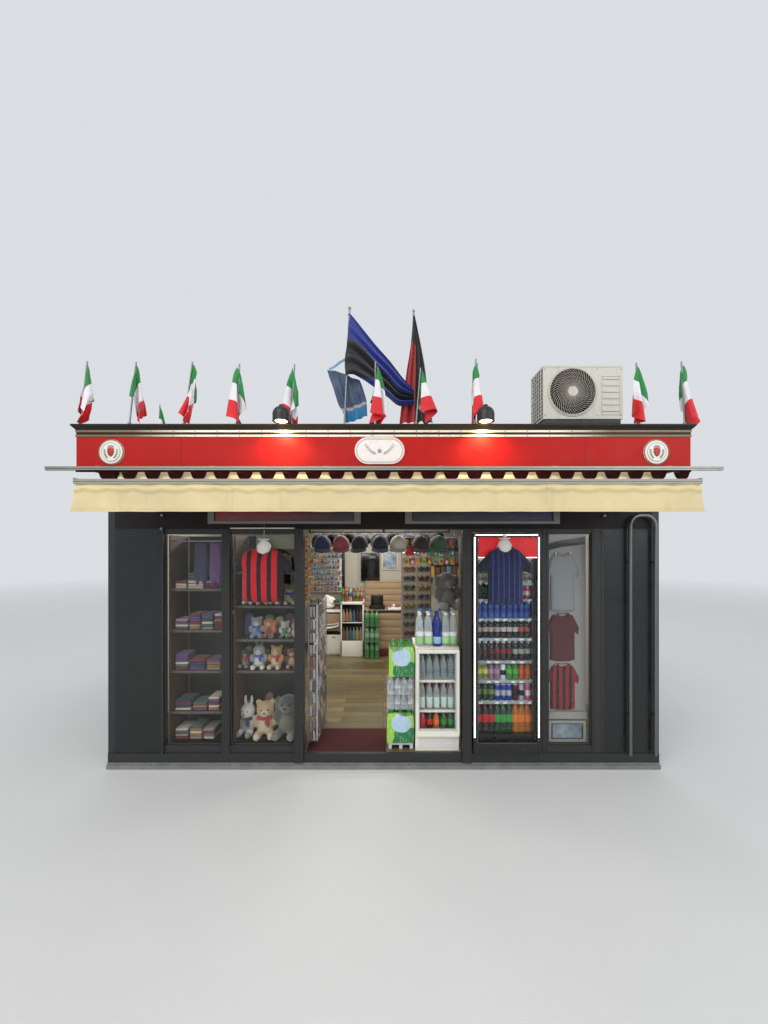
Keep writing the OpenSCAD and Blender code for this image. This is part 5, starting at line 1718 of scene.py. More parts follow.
def film_print():
    """Printed shrink film: lime and deep green fields with a pale blue patch, creased where it is drawn tight, with
    painted sheen along the creases.
    """
    m = Mat("film_print", 0.2, 0.0, Coat_Weight=0.5, Coat_Roughness=0.1)
    x, y, z = m.xyz()
    s = m.math("MULTIPLY", m.math("ADD", m.math("SUBTRACT", x, 0.16), m.math("MULTIPLY", m.math("ADD", y, 1.9385), 0.8)), 1 / 0.12)
    w = m.math("MULTIPLY", m.math("FRACT", m.math("MULTIPLY", m.math("SUBTRACT", z, 0.196), 1 / 0.62)), 0.62 / 0.285)
    k = m.noise(9, 4)
    wob = m.span(k, 0.3, 0.7, -0.14, 0.14)
    deep = m.math("MULTIPLY", m.math("LESS_THAN", m.math("ADD", w, wob), 0.42), m.math("GREATER_THAN", m.math("ADD", s, wob), -0.52))
    c = m.mix(k, lin(134, 196, 52), lin(176, 218, 84))
    c = m.mix(deep, c, lin(20, 122, 62))
    a = m.math("POWER", m.math("ABSOLUTE", m.math("MULTIPLY", m.math("SUBTRACT", s, 0.05), 1 / 0.74)), 2.0)
    b = m.math("POWER", m.math("ABSOLUTE", m.math("MULTIPLY", m.math("SUBTRACT", w, 0.66), 1 / 0.30)), 2.0)
    patch = m.math("LESS_THAN", m.math("ADD", m.math("ADD", a, b), wob), 1.0)
    c = m.mix(patch, c, m.mix(m.noise(22, 3), lin(150, 190, 222), lin(206, 222, 236)))
    crease_and_painted_sheen = m.noise(3.0, 5, 0.6, m.stretch(22, 22, 5))
    # painted sheen: near-white along the creases; the same mask also sets their real roughness and bump
    c = m.mix(m.math("MULTIPLY", m.span(crease_and_painted_sheen, 0.55, 0.72), 0.5), c, lin(232, 240, 236))
    m.color(c)
    m.put(m.p.inputs["Alpha"], m.span(m.math("ADD", w, wob), 0.90, 0.98, 0.94, 0.30))
    m.rough(m.span(crease_and_painted_sheen, 0.3, 0.7, 0.12, 0.36))
    m.bump(crease_and_painted_sheen, 0.6, 0.004)
    return m.m


MM["film"] = film_material()
MM["film_print"] = film_print()
# painted light: the cooler's back panel glows, though it is no lamp, so that the inside of the cooler looks brightly
# lit
MM["cooler_back"] = glow("cooler_liner_painted_glow", (206, 216, 224), 0.45, 0.12, 3)
MM["paper"] = paint("price_paper", (232, 230, 214), 0.7, 0.05, 60, streak=0)
MM["rail_soft"] = paint("price_rail", (146, 154, 164), 0.4, 0.08, 9, streak=0.05)
MM["low_liner"] = paint("low_liner", (84, 88, 92), 0.4, 0.1, 5, streak=0.05)
MM["gasket"] = plastic("gasket_grey", (60, 62, 64), 0.6, 0.1)


def polished_side():
    """Polished inner wall with faint brushing, dull where it has been wiped."""
    m = Mat("polished_side", 0.06, 1.0)
    n = m.noise(3, 4, 0.6, m.stretch(40, 40, 1))
    m.color(m.mix(n, lin(196, 200, 204), lin(222, 224, 226)))
    m.rough(m.span(m.noise(5, 4), 0.35, 0.7, 0.03, 0.12))
    m.bump(n, 0.02, 0.0004)
    return m.m


MM["mirror_side"] = polished_side()
tall_cooler()
low_cooler()
drink_packs()


# ------------------------------------------------------------------ soft toys
MM["plush"] = None


def plush_material():
    """Short pile: colour from the mesh, mottled, with a lit edge and a fine nap."""
    m = Mat("toy_plush", 0.92, 0.0, Sheen_Weight=0.5, Sheen_Roughness=0.6)
    a = m.attr()
    n = m.noise(150, 3)
    d = m.mix(n, (0.62, 0.62, 0.62, 1), (1, 1, 1, 1))
    k = m.new("Mix", data_type="RGBA", blend_type="MULTIPLY")
    m.put(k.inputs[0], 1.0)
    m.put(k.inputs[6], a)
    m.put(k.inputs[7], d)
    m.color(k.outputs[2])
    m.rough(m.span(n, 0.3, 0.7, 0.85, 1.0))
    b = m.bump(m.voronoi(420).outputs["Distance"], 0.6, 0.003)
    m.bump(n, 0.5, 0.002, b)
    return m.m


MM["plush"] = plush_material()
MM["bead"] = plastic("toy_eye", (14, 12, 12), 0.12, 0.2)


def blob_mesh(blobs, voxel=0.008, fur=0.0016, seed=0):
    """Rounded bodies melted together by a voxel remesh, with the colour of the nearest one and a slight nap."""
    g = Geo()
    for c, r, col in blobs:
        g.add(*ball(r, c, 20, 14))
    me = bpy.data.meshes.new("tmp")
    me.from_pydata(np.concatenate(g.v).tolist(), [], g.f)
    me.validate()
    o = bpy.data.objects.new("tmp", me)
    scene.collection.objects.link(o)
    m = o.modifiers.new("r", "REMESH")
    m.mode = "VOXEL"
    m.voxel_size = voxel
    s = o.modifiers.new("s", "SMOOTH")
    s.iterations = 3
    s.factor = 0.5
    ev = o.evaluated_get(bpy.context.evaluated_depsgraph_get())
    em = ev.to_mesh()
    V = np.zeros(len(em.vertices) * 3)
    em.vertices.foreach_get("co", V)
    V = V.reshape(-1, 3)
    nr = np.zeros(len(em.vertices) * 3)
    em.vertices.foreach_get("normal", nr)
    nr = nr.reshape(-1, 3)
    F = [tuple(p.vertices) for p in em.polygons]
    ev.to_mesh_clear()
    bpy.data.objects.remove(o)
    bpy.data.meshes.remove(me)
    best, cols = np.full(len(V), 1e9), np.zeros((len(V), 3))
    for c, r, col in blobs:
        d = np.linalg.norm((V - np.array(c)) / np.array(r), axis=1) - 1
        d = d * min(r)
        k = d < best
        best[k] = d[k]
        cols[k] = col
    if fur:
        V = V + nr * (np.array([noise.noise(Vector(p) * 130 + Vector((seed, 0, 0))) for p in V])[:, None] * fur)
    return V, F, cols


def bear(body, belly, muzzle, extra=(), ears="round", s=1.0, scarf=None, sit=True):
    """Seated soft toy, 1 unit about 0.2 m high, facing -Y, with its seat at the origin."""
    b = [((0, 0, 0.062), (0.052, 0.046, 0.062), body), ((0, -0.030, 0.060), (0.034, 0.024, 0.044), belly),
         ((0, -0.006, 0.150), (0.050, 0.045, 0.045), body), ((0, -0.046, 0.140), (0.022, 0.018, 0.017), muzzle)]
    for q in (-1, 1):
        if ears == "round":
            b.append(((q * 0.040, 0.0, 0.188), (0.018, 0.010, 0.018), body))
        elif ears == "long":
            b.append(((q * 0.022, 0.004, 0.215), (0.012, 0.008, 0.040), body))
        elif ears == "flap":
            b.append(((q * 0.056, 0.0, 0.150), (0.014, 0.024, 0.032), body))
        b.append(((q * 0.056, -0.018, 0.088), (0.019, 0.020, 0.034), body))
        b.append(((q * 0.036, -0.056, 0.022), (0.022, 0.040, 0.021), body))
        b.append(((q * 0.038, -0.088, 0.026), (0.020, 0.014, 0.022), belly))
    if scarf is not None:
        for i in range(10):
            a = i * math.pi / 5
            b.append(((0.034 * math.cos(a), 0.030 * math.sin(a) - 0.004, 0.108), (0.018, 0.018, 0.010), scarf))
        b.append(((0.018, -0.048, 0.084), (0.013, 0.008, 0.026), scarf))
    b += list(extra)
    return [(tuple(x * s for x in c), tuple(x * s for x in r), col) for c, r, col in b]


def toys():
    tan, gold, brown, grey, white = C(206, 176, 132), C(196, 150, 84), C(120, 78, 48), C(150, 152, 158), C(226, 224, 218)
    blue, navy, red, orange, green, pink, dark = C(44, 84, 170), C(36, 44, 90), C(176, 36, 40), C(206, 120, 46), C(70, 140, 84), C(212, 150, 160), C(60, 54, 52)
    cream = C(222, 204, 172)
    # (x, shelf top, y, turn, size, colours, ears, scarf)
    L = [
        (-0.905, 1.480, -1.815, 8, 1.0, (tan, cream, cream), "round", blue),
        (-1.035, 1.480, -1.800, -12, 0.95, (grey, white, white), "long", None),
        (-1.165, 1.480, -1.810, 6, 1.0, (brown, tan, tan), "round", red),
        (-1.295, 1.480, -1.800, -5, 0.92, (white, white, pink), "flap", navy),
        (-1.230, 1.161, -1.812, 10, 0.98, (grey, C(120, 140, 190), white), "round", blue),
        (-1.100, 1.161, -1.815, -8, 0.95, (orange, C(120, 70, 50), cream), "flap", None),
        (-0.955, 1.161, -1.812, 5, 0.80, (white, green, white), "round", green),
        (-0.870, 1.161, -1.780, -14, 0.72, (pink, white, white), "long", None),
        (-1.205, 0.865, -1.815, 6, 1.15, (grey, white, white), "long", blue),
        (-1.035, 0.865, -1.812, -6, 1.10, (gold, cream, cream), "round", red),
        (-0.890, 0.865, -1.790, 9, 0.95, (brown, tan, cream), "round", None),
        (-1.340, 0.865, -1.780, -10, 0.90, (dark, grey, grey), "flap", red),
        (-0.925, 0.206, -1.780, -6, 2.0, (C(88, 92, 80), C(120, 122, 108), C(120, 122, 108)), "flap", None),
        (-1.150, 0.206, -1.790, 8, 1.7, (tan, cream, cream), "round", red),
        (-1.330, 0.206, -1.760, -8, 1.5, (white, grey, white), "long", navy),
        (-0.960, 1.800, -1.800, 5, 0.90, (tan, cream, cream), "flap", navy),
        (-1.120, 1.800, -1.795, -8, 0.95, (navy, grey, cream), "round", red),
        (-1.270, 1.800, -1.800, 4, 0.90, (gold, cream, cream), "long", None),
    ]
    g = Geo()
    cache = {}
    for i, (x, z, y, turn, s, (a, b, c), ears, scarf) in enumerate(L):
        V, F, col = blob_mesh(bear(a, b, c, ears=ears, scarf=scarf), 0.0075, seed=i)
        M = move(x, y, z + 0.001 * s + 0.002, rz=math.radians(turn), s=s)
        g.add(V, F, 0, col, M)
        for q in (-1, 1):
            g.add(*ball((0.0045, 0.003, 0.0045), (q * 0.018, -0.0485, 0.158), 8, 6), 1, (0.02, 0.02, 0.02), M)
        g.add(*ball((0.006, 0.004, 0.0045), (0, -0.0645, 0.146), 8, 6), 1, (0.02, 0.02, 0.02), M)
    g.make("soft_toys", [MM["plush"], MM["bead"]], sharp=180)
    # the large grey one that hangs inside the doorway, on its cord and hook
    g = Geo()
    big = bear(C(92, 90, 80), C(112, 110, 98), C(120, 118, 106), ears="flap", s=1.95)
    big.append(((0, -0.115, 0.235), (0.018, 0.030, 0.022), C(92, 90, 80)))
    V, F, col = blob_mesh(big, 0.012, fur=0.003)
    M = move(0.635, -1.62, 1.405, rz=math.radians(14))
    g.add(V, F, 0, col, M)
    for q in (-1, 1):
        g.add(*ball((0.008, 0.006, 0.008), (q * 0.034, -0.090, 0.292), 10, 8), 1, (0.02, 0.02, 0.02), M)
    g.add(*tube([(0.640, -1.62, 1.76), (0.640, -1.62, 2.10), (0.640, -1.62, 2.20)], 0.0022, 5), 2)
    g.make("hanging_toy", [MM["plush"], MM["bead"], MM["dark_plastic"]], sharp=180)


toys()


# ------------------------------------------------------------------ caps over the doorway
MM["cap_cloth"] = None


def tinted_cloth(name, weave=620, rough=0.85):
    m = Mat(name, rough, 0.0, Sheen_Weight=0.25, Sheen_Roughness=0.5)
    cloth_nodes(m, m.attr(), weave, depth=0.3, shade=0.15, soil=0.1)
    m.rough(m.span(m.noise(30, 3), 0.3, 0.7, rough - 0.08, rough + 0.08))
    return m.m


MM["cap_cloth"] = tinted_cloth("cap_twill")
MM["shirt"] = tinted_cloth("shirt_knit", 760, 0.8)


def cap(g, M, col, brim, button=None):
    """Six-panel cap: domed crown with seams, curved brim, button and band, facing -Y."""
    n = 36
    def crown(u, v):
        a = 2 * math.pi * u
        t = v * math.pi / 2
        seam = 1 - 0.018 * abs(math.cos(3 * a)) ** 12
        r = 0.088 * math.cos(t) ** 0.82 * seam
        return (r * math.cos(a) * 0.90, r * math.sin(a) * 1.05, 0.098 * math.sin(t) ** 0.9)
    v, f, _ = sheet_grid(crown, n, 12)
    g.add(v, f, 0, col, M)
    def peak(u, v):
        a = math.pi * (0.16 + 0.68 * u)
        x, y = 0.082 * math.cos(a), -0.092 * math.sin(a)
        k = v * 0.072 * math.sin(math.pi * (0.08 + 0.84 * u)) ** 0.5
        return (x * (1 + 0.05 * v), y - k, 0.004 - 0.018 * (2 * u - 1) ** 2 * v + 0.004 * math.sin(math.pi * v))
    v, f, _ = sheet_grid(peak, 18, 8)
    kk = len(v)
    g.add(v + [(p[0], p[1], p[2] - 0.003) for p in v], f + [tuple(i + kk for i in reversed(q)) for q in f], 0, brim, M)
    e = [peak(i / 24, 1.0) for i in range(25)]
    g.add(*tube([(p[0], p[1], p[2] - 0.0015) for p in e], 0.0022, 5), 0, brim, M)
    g.add(*ball((0.007, 0.007, 0.004), (0, 0, 0.099), 8, 5), 0, button or brim, M)


def cap_row():
    g = Geo()
    # rail that the caps hang from, with its hooks
    g.add(*tube([(-0.70 + i * 0.12, -1.905, 2.180) for i in range(12)], 0.006, 8), 1)
    for x in (-0.69, 0.0, 0.61):
        g.add(*box_mesh((x - 0.012, -1.945, 2.168), (x + 0.012, -1.900, 2.203), 0.002), 1)
    row = [(-0.583, C(34, 40, 74), C(30, 34, 66)), (-0.405, C(140, 62, 66), C(120, 40, 46)), (-0.223, C(26, 26, 28), C(24, 24, 26)),
           (-0.033, C(28, 30, 44), C(40, 44, 90)), (0.140, C(176, 170, 158), C(150, 146, 140)), (0.352, C(38, 36, 38), C(60, 30, 30)), (0.520, C(60, 84, 60), C(50, 70, 50))]
    for k, (x, a, b) in enumerate(row):
        M = move(x, -1.895, 2.050, rz=math.radians(rnd.uniform(-14, 14)), rx=math.radians(24))
        cap(g, M, a, b)
        g.add(*tube([(x, -1.905, 2.178), (x + 0.004, -1.900, 2.16), (x, -1.885, 2.145)], 0.0018, 5), 1)
        M = move(x + rnd.uniform(-0.01, 0.01), -1.78, 2.045, rz=math.radians(rnd.uniform(-20, 20)), rx=math.radians(20))
        cap(g, M, scaled3(b, 0.8), scaled3(a, 0.8))
        g.add(*tube([(x, -1.905, 2.178), (x, -1.84, 2.172), (x, -1.78, 2.142)], 0.0018, 5), 1)
    for k in range(9):
        x = -0.66 + k * 0.152
        a = [C(30, 34, 60), C(24, 24, 26), C(52, 30, 34), C(36, 44, 38), C(40, 38, 34), C(24, 26, 44)][k % 6]
        M = move(x, -1.60, 2.083 + 0.012 * (k % 3), rz=math.radians(rnd.uniform(-25, 25)), rx=math.radians(20))
        cap(g, M, a, scaled3(a, 0.7))
        g.add(*tube([(x, -1.60, 2.262), (x, -1.60, 2.188 + 0.012 * (k % 3))], 0.0018, 5), 1)
    g.add(*tube([(-0.70 + i * 0.12, -1.60, 2.262) for i in range(12)], 0.006, 8), 1)
    for x in (-0.69, 0.0, 0.61):
        g.add(*tube([(x, -1.60, 2.262), (x, -1.60, 2.592)], 0.005, 6), 1)
    g.make("cap_row", [MM["cap_cloth"], MM["gasket"]], sharp=60)


def scaled3(c, s):
    return tuple(min(1, x * s) for x in c)


cap_row()


# ------------------------------------------------------------------ shirts
def shirt_outline(w=0.50, h=0.66, sleeve=0.17):
    """Outline of a short-sleeved shirt, neck at the top, origin under the collar."""
    hw, n, t = w / 2, min(1, w / 0.40), min(1, h / 0.54)
    k = sleeve * 0.55
    return [(-0.080 * n, 0.0), (-hw * 0.80, -0.028 * t), (-hw - k, -0.165 * t), (-hw - k * 0.72, -0.245 * t), (-hw - 0.002, -0.222 * t), (-hw + 0.010 * n, -0.215 * t),
            (-hw + 0.012 * n, -h * 0.55), (-hw + 0.006, -h + 0.012), (-hw * 0.5, -h), (0, -h - 0.004), (hw * 0.5, -h), (hw - 0.006, -h + 0.012), (hw - 0.012 * n, -h * 0.55),
            (hw - 0.010 * n, -0.215 * t), (hw + 0.002, -0.222 * t), (hw + k * 0.72, -0.245 * t), (hw + k, -0.165 * t), (hw * 0.80, -0.028 * t), (0.080 * n, 0.0),
            (0.052 * n, -0.036 * n), (0.0, -0.054 * n), (-0.052 * n, -0.036 * n)]


def shirt(name, x, y, z, w, h, depth, cols, body="kiosk", bust=True, stripes=0, flat_m=None, sleeve=0.17, folds=0.012, seed=1, collar=None, hang=None):
    """Shirt on a bust form or laid flat against a board. cols are the front, its sides or stripes, and the collar."""
    g = Geo()
    v, f = puff(shirt_outline(w, h, sleeve), depth, step=0.017, edge=0.11 if bust else 0.03, folds=folds, seed=seed, front_only_back=0.55 if bust else 0.12)
    v = np.array(v)
    col = np.zeros((len(v), 3))
    a, b, c = (np.array(q) for q in cols)
    for i, p in enumerate(v):
        if stripes:
            col[i] = a
        else:
            col[i] = b if abs(p[0]) > w * 0.41 and p[2] < -0.21 else a
        if abs(p[0]) > w / 2 + sleeve * 0.30 and p[2] < -0.17:
            col[i] = c
    g.add(v, f, 0, col, M=Matrix.Translation((x, y, z)))
    # ribbed collar, sleeve hems and the lower hem
    def face(px_, pz_):
        d = np.hypot(v[:, 0] - px_, v[:, 2] - pz_)
        k = int(np.argmin(np.where(v[:, 1] < 0.0005, d, 9)))
        return v[k, 1]
    n = min(1, w / 0.40)
    nk = [(-0.080, 0.0), (-0.068, -0.022), (-0.052, -0.036), (-0.028, -0.048), (0.0, -0.054), (0.028, -0.048), (0.052, -0.036), (0.068, -0.022), (0.080, 0.0)]
    ov = [(q[0] * n, face(q[0] * n, q[1] * n) - 0.003 * n, q[1] * n) for q in nk]
    ov += [(0.066 * n, 0.03, 0.012), (0.0, 0.05, 0.018), (-0.066 * n, 0.03, 0.012)] if bust else [(0.050 * n, 0.002, -0.004), (0.0, 0.003, -0.010), (-0.050 * n, 0.002, -0.004)]
    g.add(*tube(ov, 0.0075 * n if bust else 0.0042, 8, closed=True), 0, c, M=Matrix.Translation((x, y, z)))
    if not bust:
        # back of the neck seen inside the collar, in painted shade at 0.6 of the side colour
        v2, f2, _ = sheet_grid(lambda p, q: ((p - 0.5) * 0.150 * n, 0.004, -0.004 - (0.050 * n) * q * (1 - (2 * p - 1) ** 2) ** 0.5), 12, 4)
        g.add(v2, f2, 0, scaled3(tuple(b), 0.6), M=Matrix.Translation((x, y, z)))
    # the hem is painted darker, at 0.7 of the front colour, as painted shade along it
    hem = [(q, face(q, -h + 0.02) - 0.0015, -h + 0.018) for q in np.linspace(-w / 2 + 0.03, w / 2 - 0.03, 16)]
    g.add(*tube(hem, 0.0016, 4), 0, scaled3(tuple(a), 0.7), M=Matrix.Translation((x, y, z)))
    if bust:
        # plain white bust form with a turned neck, and the cord it hangs by
        V, F, cc = blob_mesh([((0, 0.040, -0.20), (w * 0.42, 0.052, 0.20), (0.88, 0.88, 0.86)), ((0, 0.026, -0.004), (0.070, 0.036, 0.088), (0.88, 0.88, 0.86)), ((0, 0.036, -0.060), (w * 0.34, 0.040, 0.05), (0.88, 0.88, 0.86))], 0.009, fur=0)
        k = V[:, 2] > -0.30
        g.add(V, F, 1, (0.9, 0.9, 0.88), M=Matrix.Translation((x, y, z)))
        g.add(*lathe([(0.046, 0.0), (0.050, 0.004), (0.050, 0.010), (0.044, 0.013), (0.002, 0.014)], 24)[:2], 1, (0.8, 0.8, 0.78), M=Matrix.Translation((x, y + 0.026, z + 0.078)))
        top = hang if hang else z + 0.12
        g.add(*tube([(x, y + 0.028, min(z + 0.088, top - 0.004)), (x, y + 0.03, (z + 0.088 + top) / 2), (x, y + 0.03, top)], 0.0026, 6), 2, M=None)
    o = g.make(name, [(MM["stripe_shirt"], MM["pin_shirt"], MM["bay_stripe"])[stripes - 1] if stripes else MM["shirt"], MM["white_form"], MM["chrome"]], body=body, sharp=180)
    return o


def striped_shirt(name, centre, half, pitch, share, a, b, side, phase=0.0):
    """Knit with plain upright stripes between its sides, which keep one tone."""
    m = Mat(name, 0.8, 0.0, Sheen_Weight=0.25, Sheen_Roughness=0.5)
    x, y, z = m.xyz()
    d = m.math("SUBTRACT", x, centre)
    f = m.math("FRACT", m.math("ADD", m.math("MULTIPLY", d, 1 / pitch), 20.5 + phase))
    c = m.ramp(f, [(0.0, a), (share, b), (0.999, b)], "CONSTANT")
    c = m.mix(m.math("GREATER_THAN", m.math("ABSOLUTE", d), half), c, side)
    cloth_nodes(m, c, 760, depth=0.3, shade=0.2, soil=0.06)
    m.rough(m.span(m.noise(30, 3), 0.3, 0.7, 0.7, 0.9))
    return m.m


MM["stripe_shirt"] = striped_shirt("shirt_striped", -1.085, 0.175, 0.0896, 0.56, lin(188, 22, 34), lin(26, 20, 22), lin(24, 20, 22), 0.539)
MM["pin_shirt"] = striped_shirt("shirt_pinstriped", 1.090, 0.150, 0.047, 0.24, lin(40, 58, 128), lin(16, 24, 60), lin(13, 18, 42), 0.2)
MM["bay_stripe"] = striped_shirt("shirt_bay_striped", 1.692, 0.112, 0.060, 0.5, lin(150, 20, 28), lin(36, 14, 18), lin(126, 18, 26), 0.1)
MM["white_form"] = plastic("form_white", (224, 222, 216), 0.35, 0.03)
shirt("shirt_on_form_left", -1.085, -2.085, 2.020, 0.40, 0.480, 0.055, ((0.6, 0.1, 0.13), (0.1, 0.1, 0.1), (0.12, 0.1, 0.1)), stripes=1, sleeve=0.11, seed=3, hang=2.249)
shirt("shirt_on_form_right", 1.090, -2.112, 2.030, 0.33, 0.510, 0.055, (C(34, 50, 98), C(28, 40, 84), C(26, 34, 70)), body="tall_door", stripes=2, sleeve=0.155, seed=8, hang=2.135)
# a hook plate on the glass door holds the form
g = Geo()
g.add(*box_mesh((1.077, -2.084, 2.122), (1.111, -2.048, 2.146), 0.003), 0)
g.make("form_hook", [MM["chrome"]], body="tall_door")


# ------------------------------------------------------------------ the display bay on the right
def display_bay():
    g = Geo()
    # plain scarf pinned across the top, with its fringe
    def scarf(u, v):
        x = 1.560 + 0.336 * u
        w = 0.004 * noise.noise(Vector((u * 7, v * 2, 1)))
        return (x, -1.9140 - 0.004 * abs(math.sin(v * 5 + u * 4)) + w, 2.040 + 0.066 * u + (0.5 - v) * 0.066 + 0.006 * math.sin(u * 5))
    v, f, uv = sheet_grid(scarf, 44, 8)
    g.add(v, f, 0, (0.07, 0.07, 0.085))
    for e, sx in ((0.0, -1), (1.0, 1)):
        for i in range(11):
            p = scarf(e, i / 10)
            g.add(*tube([p, (p[0] + sx * 0.008, p[1], p[2] - 0.004), (p[0] + sx * 0.010, p[1], p[2] - 0.022)], 0.0016, 4), 0, (0.10, 0.10, 0.12))
    for vv in (0.12, 0.88):
        g.add(*tube([(p[0], p[1] - 0.001, p[2]) for p in (scarf(i / 30, vv) for i in range(31))], 0.0014, 4), 0, (0.35, 0.36, 0.4))
    g.make("bay_scarf", [MM["shirt"]], sharp=180)
    shirt("bay_shirt_grey", 1.690, -1.912, 1.985, 0.245, 0.56, 0.016, (C(142, 148, 154), C(132, 138, 144), C(118, 122, 128)), bust=False, sleeve=0.060, folds=0.006, seed=4)
    shirt("bay_shirt_maroon", 1.690, -1.912, 1.415, 0.250, 0.455, 0.016, (C(82, 20, 30), C(74, 18, 26), C(66, 16, 22)), bust=False, sleeve=0.060, folds=0.006, seed=5)
    shirt("bay_shirt_red", 1.692, -1.912, 0.940, 0.250, 0.440, 0.016, (C(150, 30, 36), C(40, 28, 32), C(44, 28, 32)), bust=False, sleeve=0.060, folds=0.006, seed=6, stripes=3)
    g = Geo()
    # clips, and a plain mount in the frame below
    for x, z in ((1.622, 1.972), (1.758, 1.972), (1.622, 1.402), (1.758, 1.402), (1.624, 0.928), (1.760, 0.928)):
        g.add(*box_mesh((x - 0.005, -1.934, z - 0.006), (x + 0.005, -1.914, z + 0.012), 0.002), 0)
    g.add(*box_mesh((1.576, -1.931, 0.234), (1.876, -1.9295, 0.381), 0.0008, 1), 1)
    g.add(*box_mesh((1.590, -1.9322, 0.244), (1.862, -1.9312, 0.371), 0.0004, 1), 2)
    g.add(*box_mesh((1.564, -1.9170, 0.410), (1.892, -1.9135, 0.452), 0.002), 1)
    g.make("bay_fittings", [MM["chrome"], MM["cooler_black"], MM["picture"]])


def soft_blocks():
    """A plain wash of blue-grey tones, as a faded blank print."""
    m = Mat("blank_print", 0.3, 0.0, Coat_Weight=0.3, Coat_Roughness=0.1)
    n = m.noise(9, 3)
    m.color(m.ramp(n, [(0.3, lin(86, 104, 126)), (0.55, lin(132, 146, 160)), (0.75, lin(176, 178, 176))]))
    m.rough(m.span(m.noise(20, 3), 0.3, 0.7, 0.22, 0.4))
    m.bump(m.noise(200, 2), 0.05, 0.0006)
    return m.m


MM["picture"] = soft_blocks()
display_bay()


# ------------------------------------------------------------------ the back of the room
MM["carton"] = tinted("carton_print", 0.55, bump=0.06, var=0.1)
MM["screen"] = plastic("screen_black", (14, 15, 18), 0.12, 0.2)
MM["bag"] = cloth("bag_white", (226, 224, 218), 0.7, 300, 0.1, soil=0.1)
MM["gold_disc"] = tinted("metal_goods", 0.28, metal=0.85, bump=0.05, var=0.12)


def counter_details():
    g = Geo()
    # planks over the front and the steps, with dark joints, nosings and a red-brown plinth
    def planks(x0, x1, y, z0, z1, n):
        for i in range(n):
            a = z0 + (z1 - z0) * i / n
            b = z0 + (z1 - z0) * (i + 1) / n - 0.006
            g.add(*box_mesh((x0, y - 0.012, a), (x1, y, b), 0.003), 0)
    planks(-0.340, 0.340, 1.290, 0.275, 0.905, 5)
    planks(-0.340, 0.340, 1.700, 0.952, 1.395, 4)
    g.add(*box_mesh((-0.345, 1.276, 0.1355), (0.345, 1.290, 0.262), 0.003), 1)
    g.add(*box_mesh((-0.352, 1.690, 1.398), (0.352, 1.902, 1.418), 0.004), 0)
    g.add(*box_mesh((-0.3555, 1.2745, 0.906), (0.3555, 1.2835, 0.9475), 0.003), 2)
    # till, card reader and a tray of sweets on the worktop
    g.add(*box_mesh((-0.26, 1.36, 0.9445), (0.02, 1.62, 1.02), 0.008), 3)
    g.add(*box_mesh((-0.23, 1.375, 1.02), (-0.01, 1.40, 1.20), 0.006), 3)
    g.add(*box_mesh((0.08, 1.34, 0.9445), (0.30, 1.50, 0.985), 0.004), 4)
    for i in range(7):
        for j in range(4):
            c = [C(200, 60, 50), C(230, 180, 50), C(70, 140, 90), C(60, 100, 180), C(220, 220, 216)][(i * 3 + j * 5) % 5]
            g.add(*box_mesh((0.088 + i * 0.029, 1.348 + j * 0.037, 0.986), (0.111 + i * 0.029, 1.378 + j * 0.037, 1.012 + 0.01 * ((i + j) % 3)), 0.003, 1), 5, c)
    g.make("counter_details", [MM["oak"], MM["plinth"], MM["dark_plastic"], MM["cooler_black"], MM["shelf_white"], MM["carton"]])


MM["plinth"] = paint("plinth_red", (86, 32, 30), 0.5, 0.2, 9, streak=0.1)


